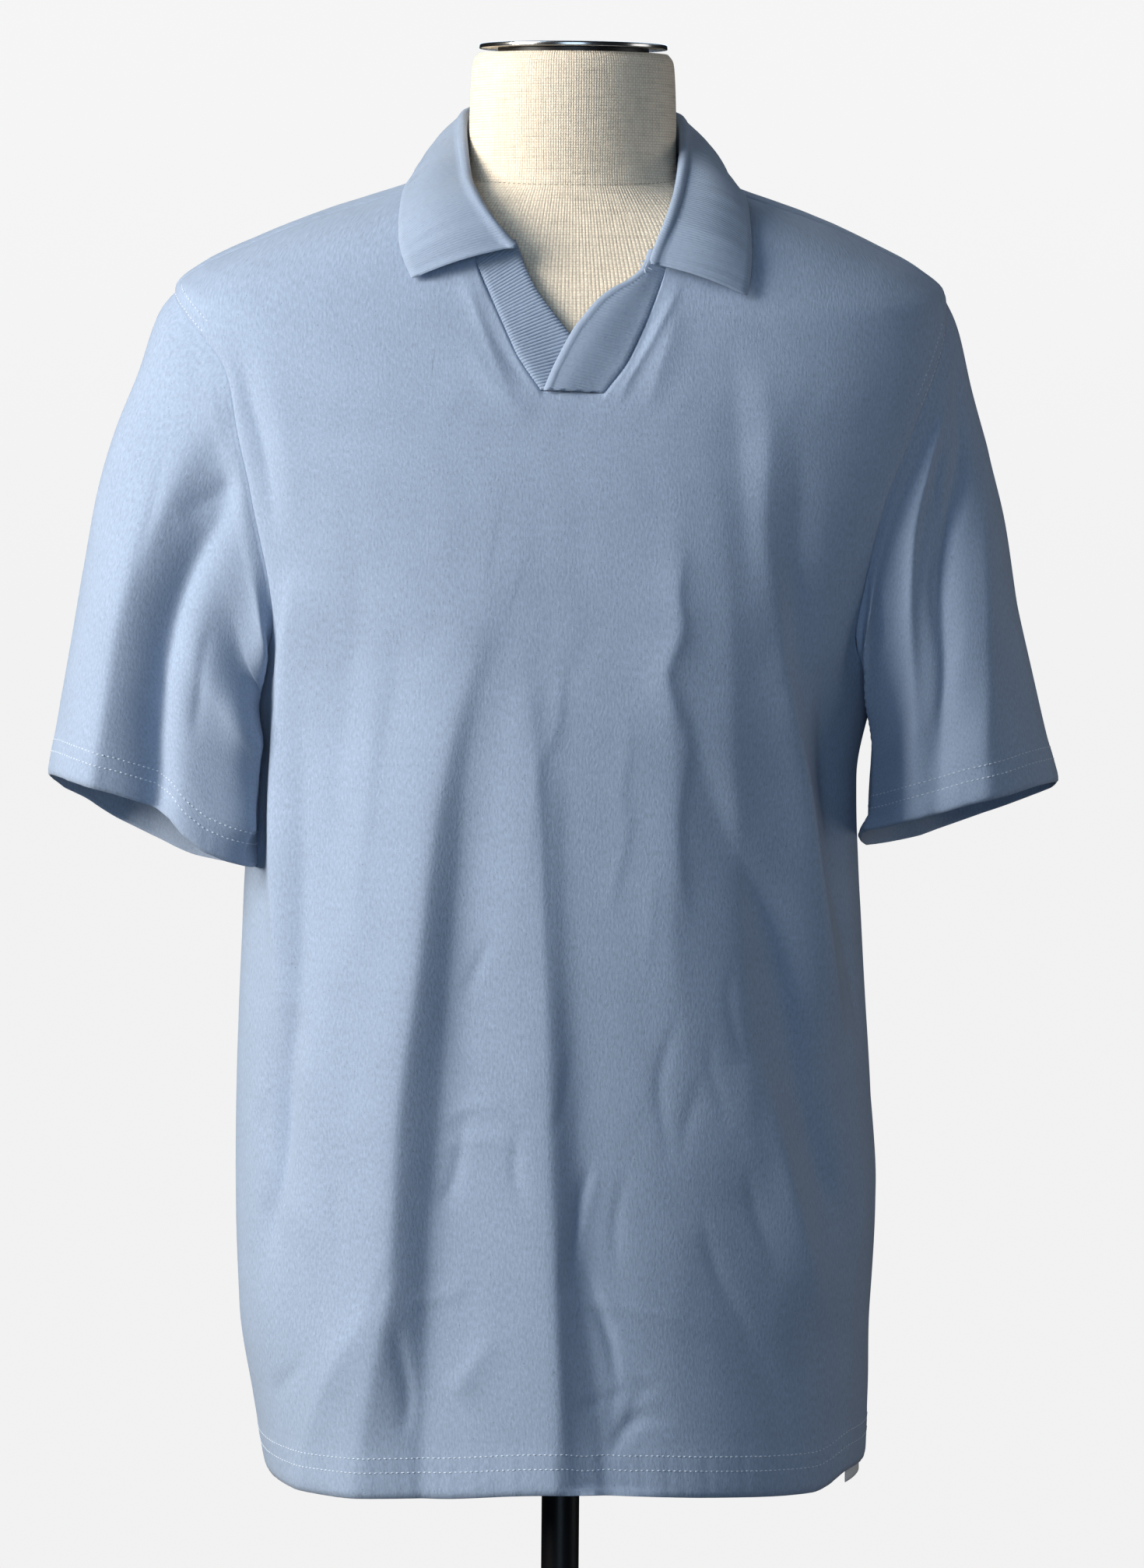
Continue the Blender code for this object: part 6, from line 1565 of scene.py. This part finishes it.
def form_rings():
    """Rings of the torso and neck from the underside up, each a row of points."""
    angle = np.linspace(0.0, math.tau, FORM_AROUND, endpoint=False)
    rows = []
    for height in np.linspace(FORM_BOTTOM_Z + FORM_BOTTOM_ROUND, FORM_TOP_RING, FORM_ROWS):
        gap = curve_through(FORM_GAPS, 0, height)[0]
        full = np.full(FORM_AROUND, height)
        points = body_point(full, angle)
        low, high = SHOULDER_REST
        rest = smooth((height - low) / SHOULDER_REST_SOFT + 1.0) * smooth((high - height) / SHOULDER_REST_SOFT + 1.0)
        rest = rest * np.exp(-(((points[:, 1] - ring_sizes(height)[4]) / SHOULDER_REST_HALF) ** 2))
        gap = gap + (SHOULDER_GAP - gap) * rest
        rows.append(points - gap[:, None] * body_normal(full, angle))
    first = rows[0]
    middle = first.mean(axis=0)
    radius = np.linalg.norm(first - middle, axis=1).mean()
    bottom = []
    for turn in np.linspace(0.0, 80.0, ROUND_ROWS):
        t = math.radians(turn)
        ring = middle + (first - middle) * (1.0 - FORM_BOTTOM_ROUND * (1.0 - math.sin(t)) / radius)
        ring[:, 2] = FORM_BOTTOM_Z + FORM_BOTTOM_ROUND * (1.0 - math.cos(t))
        bottom.append(ring)
    neck = []
    for height, wide, front, back, centre_y, lean in smooth_path(NECK_RINGS, NECK_ROWS):
        c, s = np.cos(angle), np.sin(angle)
        off = -np.where(s > 0.0, front, back) * s
        neck.append(np.stack([wide * c, centre_y + off, height + lean * off], axis=1))
    return np.array(bottom + rows + neck)


def stack_of_rings(name, rings, loop=False):
    """A closed solid of round rows, capped at both ends, or looped from its last row to its first."""
    rows, around = rings.shape[:2]
    faces = []
    for j in range(rows if loop else rows - 1):
        a, b = j * around, (j + 1) % rows * around
        faces += [(a + i, a + (i + 1) % around, b + (i + 1) % around, b + i) for i in range(around)]
    if not loop:
        faces.append(tuple(range(around - 1, -1, -1)))
        faces.append(tuple(range((rows - 1) * around, rows * around)))
    return build_object(name, rings.reshape(-1, 3), faces)


angles_round = np.linspace(0.0, math.tau, FORM_AROUND, endpoint=False)
hole = np.stack([np.cos(angles_round), -np.sin(angles_round), np.zeros(FORM_AROUND)], axis=1)
hole *= POLE_RADIUS + REST_GAP
hole_rows = [hole + (0, 0, FORM_BOTTOM_Z + POLE_INTO_FORM), hole + (0, 0, FORM_BOTTOM_Z)]
torso = np.concatenate([hole_rows, form_rings()])[:, ::-1]
pieces["linen_form"] = stack_of_rings("linen_form", torso)

# %% Seam round the neck
NECK_SEAM_SIDE, NECK_SEAM_DIP = 1.2213, 0.0073  # its height at the sides, and how much lower it runs in front
NECK_STITCH_LONG, NECK_STITCH_THICK = 0.0022, 0.00024
HALF_UP, NECK_DEEP = 20, 0.08  # a row half way up the neck, and about how far its front lies from its middle

skin = torso[-NECK_ROWS - 6 :]
skin_way = grid_normals(skin, ring=True)
if (skin_way[HALF_UP, :, :2] * skin[HALF_UP, :, :2]).sum() < 0.0:
    skin_way = -skin_way
seam_line, seam_way = [], []
for i in range(FORM_AROUND):
    front = max(-skin[HALF_UP, i, 1] / NECK_DEEP, 0.0)
    level = NECK_SEAM_SIDE - NECK_SEAM_DIP * min(front, 1.0)
    seam_line.append([np.interp(level, skin[:, i, 2], skin[:, i, k]) for k in range(3)])
    seam_way.append([np.interp(level, skin[:, i, 2], skin_way[:, i, k]) for k in range(3)])
seam_row = walk(np.array(seam_line), unit(np.array(seam_way)), closed=True)
pieces["seam_neck"] = dashes("seam_neck", [seam_row], NECK_STITCH_LONG, NECK_STITCH_THICK)

# %% [markdown]
# ## Neck plate, cap and stand
#
# The neck is closed by a dark plate and a thin bright disc. Below, a black pole stands in a plain round foot. They
# are turned parts, so each one is a profile of radius and height spun round its middle.

# %% Turned parts
ROUND_SIDES = 128
PLATE_RADIUS, PLATE_THICK = 0.0435, 0.0022
CAP_RADIUS, CAP_THICK, CAP_Y = 0.0543, 0.0026, 0.002
SOCKET_RADIUS, SOCKET_HEIGHT = 0.0210, 0.032
BASE_RADIUS, BASE_THICK = 0.165, 0.009
HUB_RADIUS, HUB_HEIGHT = 0.024, 0.030


def turned(name, profile, centre_y=0.0, loop=False):
    """A round part spun from (radius, height) pairs, from its underside up."""
    turn = np.linspace(0.0, math.tau, ROUND_SIDES, endpoint=False)
    rings = [
        np.stack([r * np.cos(turn), centre_y + r * np.sin(turn), np.full(ROUND_SIDES, z)], axis=1)
        for r, z in profile
    ]
    made = stack_of_rings(name, np.array(rings), loop)
    made.data.set_sharp_from_angle(angle=math.radians(40.0))
    pieces[name] = made


def rounded(corner, before, after, size, steps=5):
    """A corner of a profile replaced by a small arc."""
    corner, before, after = (np.array(p, float) for p in (corner, before, after))
    start, end = corner + unit(before - corner) * size, corner + unit(after - corner) * size
    t = np.linspace(0.0, 1.0, steps)[:, None]
    return [tuple(p) for p in (1 - t) ** 2 * start + 2 * t * (1 - t) * corner + t**2 * end]


foot_top, hub_top = BASE_THICK, BASE_THICK + HUB_HEIGHT
bore = POLE_RADIUS + REST_GAP
turned("stand_foot", [
    *rounded((BASE_RADIUS, 0.0), (0.1, 0.0), (BASE_RADIUS, 0.01), 0.0015),
    *rounded((BASE_RADIUS, foot_top), (BASE_RADIUS, 0.0), (0.1, foot_top + 0.0004), 0.0028, 7),
    *rounded((HUB_RADIUS, foot_top + 0.001), (0.1, foot_top), (HUB_RADIUS, hub_top), 0.004, 7),
    *rounded((HUB_RADIUS - 0.002, hub_top), (HUB_RADIUS - 0.0016, 0.0), (0.0, hub_top), 0.0025, 6),
    (bore, hub_top), (bore, foot_top - 0.004),
])
pole_top = FORM_BOTTOM_Z + POLE_INTO_FORM - REST_GAP
turned("stand_pole", [(POLE_RADIUS, foot_top - 0.004 + REST_GAP), (POLE_RADIUS, 0.25), (POLE_RADIUS, 0.45),
                      (POLE_RADIUS, pole_top)])
top = FORM_BOTTOM_Z - REST_GAP
turned("stand_socket", [
    (bore, top - SOCKET_HEIGHT),
    *rounded((SOCKET_RADIUS, top - SOCKET_HEIGHT), (bore, top - SOCKET_HEIGHT), (SOCKET_RADIUS, top), 0.003),
    (SOCKET_RADIUS, top - 0.006), (SOCKET_RADIUS + 0.011, top - 0.0035), (SOCKET_RADIUS + 0.012, top - 0.002),
    (SOCKET_RADIUS + 0.012, top), (bore, top),
], loop=True)
plate_z = NECK_RINGS[-1][0] + REST_GAP
cap_z = plate_z + PLATE_THICK + REST_GAP
cap_top = cap_z + CAP_THICK
turned("neck_rim_plate", [(PLATE_RADIUS, plate_z), (PLATE_RADIUS, plate_z + PLATE_THICK)], CAP_Y)
turned("neck_disc", [
    *rounded((CAP_RADIUS, cap_z), (0.0, cap_z), (CAP_RADIUS, cap_top), 0.0007),
    *rounded((CAP_RADIUS, cap_top), (CAP_RADIUS, cap_z), (0.0, cap_top), 0.0010),
], CAP_Y)

# %% [markdown]
# ## Writing materials as sums
#
# A material is easier to read as arithmetic than as boxes and wires. The small class below stands for the output of
# a shader node. Adding or multiplying two of them makes the Math node, or the Vector Math node for colours and
# directions, and one method adds any other kind of node.

# %% Shader arithmetic
class Wire:
    """The output of a shader node, which can be used in sums as a number can."""

    def __init__(self, book, socket):
        self.book, self.socket = book, socket

    def sum_with(self, other, operation, swap=False):
        plain = self.socket.type == "VALUE" and (not isinstance(other, Wire) or other.socket.type == "VALUE")
        kind = "ShaderNodeMath" if plain and not isinstance(other, tuple) else "ShaderNodeVectorMath"
        values = [other, self] if swap else [self, other]
        return self.book.node(kind, {"operation": operation}, dict(enumerate(values)))

    def __add__(self, other):
        return self.sum_with(other, "ADD")

    def __sub__(self, other):
        return self.sum_with(other, "SUBTRACT")

    def __rsub__(self, other):
        return self.sum_with(other, "SUBTRACT", True)

    def __mul__(self, other):
        return self.sum_with(other, "MULTIPLY")

    __radd__, __rmul__ = __add__, __mul__

    def apply(self, operation, *others):
        """Any other Math operation on this value, such as SINE or MAXIMUM."""
        return self.book.node("ShaderNodeMath", {"operation": operation}, dict(enumerate([self, *others])))

    def between(self, low, high):
        """0 below low, 1 over high and a smooth step from one to the other."""
        values = {"Value": self, "From Min": low, "From Max": high}
        return self.book.node("ShaderNodeMapRange", {"interpolation_type": "SMOOTHSTEP"}, values)


class Material:
    """A material with one Principled shader, and a page of sums that feed it."""

    def __init__(self, name):
        self.made = bpy.data.materials.new(name)
        self.made.use_nodes = True
        self.tree = self.made.node_tree
        self.shader = self.tree.nodes["Principled BSDF"]

    def node(self, kind, settings=None, values=None, out=0):
        """Adds a node of any kind. values are numbers, tuples or wires, by socket name or place."""
        added = self.tree.nodes.new(kind)
        for key, value in (settings or {}).items():
            setattr(added, key, value)
        for key, value in (values or {}).items():
            self.feed(added.inputs[key], value)
        return Wire(self, added.outputs[out])

    def feed(self, socket, value):
        if isinstance(value, Wire):
            self.tree.links.new(value.socket, socket)
        elif hasattr(socket.default_value, "__len__"):
            size = len(socket.default_value)
            value = (value,) * 3 if isinstance(value, (int, float)) else tuple(value)
            socket.default_value = (value + (1.0,))[:size]
        else:
            socket.default_value = value

    def set(self, **values):
        """Feeds the shader's sockets. An underscore in a name stands for a space."""
        for key, value in values.items():
            self.feed(self.shader.inputs[key.replace("_", " ")], value)

    def place(self):
        """The place of each point on its object, in metres."""
        return self.node("ShaderNodeTexCoord", None, None, 3)

    def part(self, place, k):
        """The x, y or z of a place."""
        return self.node("ShaderNodeSeparateXYZ", None, {"Vector": place}, k)

    def noise(self, place, scale, detail=2.0, rough=0.5):
        """Soft noise about 0.5 at a place already stretched to its grain."""
        values = {"Vector": place, "Scale": scale, "Detail": detail, "Roughness": rough}
        return self.node("ShaderNodeTexNoise", None, values)

    def mix(self, low, high, factor):
        """A colour between two colours."""
        mixer = self.tree.nodes.new("ShaderNodeMix")
        mixer.data_type = "RGBA"
        for key, value in {"Factor": factor, "A": low, "B": high}.items():
            self.feed(next(s for s in mixer.inputs if s.name == key and s.enabled), value)
        return Wire(self, next(s for s in mixer.outputs if s.enabled))

    def shade(self, colour, factor):
        """Feeds the base colour with a colour made lighter or darker by a factor."""
        self.set(Base_Color=self.node("ShaderNodeVectorMath", {"operation": "SCALE"}, {0: colour, "Scale": factor}))

    def bump(self, height):
        """Feeds a height in metres to the shader's normal."""
        self.set(Normal=self.node("ShaderNodeBump", None, {"Height": height, "Distance": 1.0, "Strength": 1.0}))


# %% [markdown]
# ## Jersey
#
# The jersey is a fine single knit of a grey-blue heather yarn. Its stitches stand in wales about 0.8 mm apart, too
# fine to draw one by one at this distance, so they are a noise drawn out along the wales. Over it lies a mottle of
# a few millimetres, where lighter and darker fibres gather, and a rare fleck.

# %% Jersey material
JERSEY_COLOUR = (0.335, 0.405, 0.530)


def knit(name, colour, wale, contrast, rib_pitch=None, rib_deep=0.0):
    """A knitted cloth. wale is the spacing of its stitches, and rib_pitch that of ribs along its second direction."""
    page = Material(name)
    uv = page.node("ShaderNodeUVMap", {"uv_map": "cloth"})  # metres across and along the knit
    stitch = page.noise(uv * (1.0 / wale, 0.35 / wale, 0.0), 0.8, 2.0, 0.6) - 0.5
    mottle = page.noise(uv * (1.0, 0.45, 0.0), 750.0, 3.0, 0.65) - 0.5
    cloud = page.noise(uv, 38.0, 2.0, 0.5) - 0.5
    fleck = page.noise(uv + (3.7, 1.3, 0.0), 900.0, 0.0).between(0.80, 0.84)
    pale = page.noise(uv + (1.1, 5.2, 0.0), 700.0, 0.0).between(0.82, 0.86)
    shade = 1.0 + contrast * (stitch * 0.9 + mottle * 1.1 + cloud * 0.25)
    shade = shade * (1.0 - 0.35 * fleck) * (1.0 + 0.25 * pale)
    height = stitch * 0.00016 + mottle * 0.00012
    if rib_pitch:
        ribs = (page.part(uv, 0) * (math.tau / rib_pitch)).apply("SINE")
        # The colour follows the ribs: a painted highlight on each crest and painted shade in the grooves between
        # them.
        shade = shade * (1.0 + 0.05 * ribs)
        height = height + ribs * rib_deep
    page.shade(colour, shade)
    page.set(Roughness=0.88, Specular_IOR_Level=0.25, Sheen_Weight=0.12, Sheen_Roughness=0.5)
    page.bump(height)
    return page.made


jersey = knit("heather_jersey", JERSEY_COLOUR, 0.0010, 0.48)
rib = knit("flat_rib", (0.330, 0.395, 0.510), 0.0010, 0.22, COLLAR_RIB, 0.00006)
strip_rib = knit("strip_rib", (0.320, 0.385, 0.500), 0.0010, 0.22)

# %% [markdown]
# ## Linen, label, thread, metal and black lacquer
#
# Linen is a plain weave of uneven threads: two sets of lines cross, each swelling and thinning along its length. The
# label is smooth woven tape. The stand is lacquered black, and the disc on the neck is polished metal.

# %% Other materials
WEAVE_PITCH = 0.0015
NECK_MIDDLE_Y, NECK_ABOUT = 0.004, 0.058  # the weave is laid round the neck, at about its radius


def linen_cloth():
    page = Material("natural_linen")
    x, y, level = (page.part(page.place(), k) for k in range(3))
    turn = x.apply("ARCTAN2", y - NECK_MIDDLE_Y) * NECK_ABOUT
    flat = page.node("ShaderNodeCombineXYZ", None, {"X": turn, "Y": level, "Z": 0.0})
    weft_place = flat * (0.10, 1.0, 1.0)
    warp = page.noise(flat * (1.0, 0.10, 1.0), 700.0, 2.0, 0.6) - 0.5
    weft = page.noise(weft_place, 700.0, 2.0, 0.6) - 0.5
    slub = page.noise(weft_place, 260.0, 1.0).between(0.60, 0.75)
    across = ((turn + warp * 0.0006) * (math.pi / WEAVE_PITCH)).apply("SINE")
    down = ((level + weft * 0.0006) * (math.pi / WEAVE_PITCH)).apply("SINE")
    thread = across * down  # which of the two threads lies on top
    # gap marks the spaces between the threads; the colour below is mixed towards dark brown there as painted shade.
    gap = 1.0 - (across.apply("ABSOLUTE") * down.apply("ABSOLUTE")).between(0.0, 0.35)
    shade = 1.0 + 0.40 * warp + 0.40 * weft - 0.10 * slub + 0.08 * thread
    colour = page.mix((1.0, 0.86, 0.68), (0.60, 0.41, 0.27), gap * 0.6)
    page.shade(colour, shade)
    page.set(Roughness=0.92, Specular_IOR_Level=0.2)
    page.bump(warp * 0.00025 + weft * 0.00025 + slub * 0.0002 + thread.apply("ABSOLUTE") * 0.00025)
    return page.made


def plain(name, colour, rough, metal=0.0, grain=0.0, **more):
    """A plain finish whose colour and gloss vary a little over a few millimetres."""
    page = Material(name)
    mottle = page.noise(page.place(), 180.0, 3.0) - 0.5
    page.shade(colour, 1.0 + mottle * grain)
    page.set(Roughness=rough + mottle * 0.06, Metallic=metal, **more)
    return page.made


linen = linen_cloth()
tape = plain("woven_tape", (0.84, 0.84, 0.83), 0.75, grain=0.12)
thread = plain("pale_thread", (0.60, 0.66, 0.75), 0.7, grain=0.2)
seam_thread = plain("linen_thread", (0.42, 0.34, 0.24), 0.8, grain=0.2)
lacquer = plain("black_lacquer", (0.010, 0.010, 0.012), 0.30, Coat_Weight=0.4)
steel = plain("polished_metal", (0.62, 0.61, 0.59), 0.20, 1.0)
dark_metal = plain("dark_metal", (0.05, 0.05, 0.05), 0.45, 0.9)

# %% Dressing the pieces
dressed = {
    "cloth_front": (jersey, "jersey", ["front"]),
    "cloth_back": (jersey, "jersey", ["back"]),
    "cloth_sleeve_left": (jersey, "jersey", ["sleeve_left"]),
    "cloth_sleeve_right": (jersey, "jersey", ["sleeve_right"]),
    "cloth_collar": (rib, "rib", ["collar"]),
    "cloth_placket_left": (strip_rib, "rib", ["placket_left"]),
    "cloth_placket_right": (strip_rib, "rib", ["placket_right"]),
    "cloth_label": (tape, "label", ["label"]),
    "stitches_hem": (thread, "jersey", []),
    "stitches_sleeve_left": (thread, "jersey", []),
    "stitches_sleeve_right": (thread, "jersey", []),
    "stitches_armhole": (thread, "jersey", []),
    "stitches_collar": (thread, "rib", []),
    "linen_form": (linen, "linen", ["form_body"]),
    "seam_neck": (seam_thread, "linen", []),
    "neck_rim_plate": (dark_metal, "dark_metal", ["neck_plate"]),
    "neck_disc": (steel, "bright_metal", ["neck_cap"]),
    "stand_pole": (lacquer, "black_gloss", ["pole"]),
    "stand_socket": (lacquer, "black_gloss", ["pole_socket"]),
    "stand_foot": (lacquer, "black_gloss", ["base"]),
}
for name, (material, slot, nodes) in dressed.items():
    piece = pieces[name]
    piece.data.materials.append(material)
    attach(piece, "root")
    if nodes:
        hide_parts(*nodes)

# %% [markdown]
# ## What each cloth piece was cut to
#
# Before it was sewn, each piece lay flat on a table. Its greatest width and length, and its area where it isn't a
# rectangle, are written here.

# %% Cut sizes
CUTS = {
    # piece: width, length, area, what it rests on, what is sewn on it
    "cloth_front": (0.56, 0.76, 0.34, ["linen_form"], ["stitches_hem", "stitches_armhole"]),
    "cloth_back": (0.56, 0.76, 0.36, ["linen_form"], []),
    "cloth_sleeve_left": (0.40, 0.27, 0.084, ["cloth_front"], ["stitches_sleeve_left"]),
    "cloth_sleeve_right": (0.40, 0.27, 0.084, ["cloth_front"], ["stitches_sleeve_right"]),
    "cloth_collar": (0.38, 0.085, 0.030, ["cloth_front", "cloth_back"], []),
    "cloth_placket_left": (0.035, 0.10, 0.0030, ["cloth_front"], []),
    "cloth_placket_right": (0.035, 0.10, 0.0030, ["cloth_front"], []),
    "cloth_label": (0.045, 0.052, 0.0022, ["cloth_front"], []),
}
for name, (width, length, area, rests_on, sewn_on) in CUTS.items():
    piece = pieces[name]
    surface = sum(face.area for face in piece.data.polygons)
    print(name, "half of the surface %.4f m2, cut %.4f m2" % (surface / 2.0, area))

# %% [markdown]
# ## Light
#
# The picture is lit from the left by one large soft source, with little light from the right, so each crease has a
# bright flank and a dark one and the right side falls into shade. Six soft lights stand in a ring round the shirt and
# look at its middle: a strong warm one and a weak blue one on the left, as from a window, a fill in front, two weak
# ones on the right, and one behind for the views from the back. The backdrop is a dome that glows by itself, so it is
# as bright from every side, and it throws no light on the shirt.

# %% Lights
LIGHT_FAR, LIGHT_AIM, LIGHT_SIZE = 2.8, Vector((0.0, 0.0, 0.88)), (1.3, 1.8)
WINDOW, SKY, WHITE = (1.0, 0.97, 0.90), (0.57, 0.77, 1.0), (1.0, 1.0, 1.0)
LIGHTS = {
    # name: degrees round the shirt (0 in front, plus to the picture's right), degrees up, watts, colour
    "key": (-66, 20, 114.0, WINDOW),
    "high_left": (-58, 40, 17.0, SKY),
    "front_fill": (0, 5, 18.5, SKY),
    "right_fill": (90, 6, 12.0, WHITE),
    "right_back_fill": (120, 40, 3.0, SKY),
    "back_fill": (180, 25, 20.0, SKY),
}
for name, (side, rise, power, colour) in LIGHTS.items():
    side, rise = math.radians(side), math.radians(rise)
    away = Vector((math.sin(side) * math.cos(rise), -math.cos(side) * math.cos(rise), math.sin(rise)))
    data = bpy.data.lights.new(name, "AREA")
    data.shape, data.energy, data.color = "RECTANGLE", power, colour
    data.size, data.size_y = LIGHT_SIZE
    light = bpy.data.objects.new(name, data)
    light.location = LIGHT_AIM + LIGHT_FAR * away
    light.rotation_euler = (-away).to_track_quat("-Z", "Y").to_euler()
    scene.collection.objects.link(light)
print("lights:", ", ".join(LIGHTS))

# %% Backdrop
world = bpy.data.worlds.new("room")
world.use_nodes = True
air = world.node_tree.nodes["Background"].inputs
air["Color"].default_value, air["Strength"].default_value = (0.90, 0.93, 1.0, 1.0), 0.01
scene.world = world

backdrop_page = Material("bright_backdrop")
height_up = backdrop_page.part(backdrop_page.place(), 2)
glow = backdrop_page.mix((0.885, 0.885, 0.885), (0.915, 0.915, 0.915), height_up.between(0.0, 2.0))
backdrop_page.set(
    Base_Color=(0.0, 0.0, 0.0), Roughness=1.0, Specular_IOR_Level=0.0, Emission_Color=glow, Emission_Strength=1.0
)
ROOM_FAR, ROOM_HIGH, ROOM_ROUND, ROOM_STEPS = 14.0, 9.0, 48, 12
FLOOR_INNER, FLOOR_Z = 0.02, -0.0005  # the floor's innermost ring, and its height, just under the foot


def studio_room():
    """A round floor that curves up into a dome, so that the same bright page lies behind every side."""
    turns = np.linspace(0.0, math.pi / 2, ROOM_STEPS)[:-1]
    profile = [(FLOOR_INNER, FLOOR_Z)] + [(ROOM_FAR * math.cos(t), FLOOR_Z + ROOM_HIGH * math.sin(t)) for t in turns]
    around = np.linspace(0.0, math.tau, ROOM_ROUND, endpoint=False)
    rings = [[(r * math.cos(a), r * math.sin(a), z) for a in around] for r, z in profile]
    made = stack_of_rings("backdrop", np.array(rings))
    made.data.materials.append(backdrop_page.made)
    made.visible_diffuse = made.visible_glossy = False
    return made


studio_room()

# %% [markdown]
# ## The last settings
#
# The picture is shown as it is lit, with no film curve over it.

# %% Finish
scene.view_settings.view_transform = "Standard"
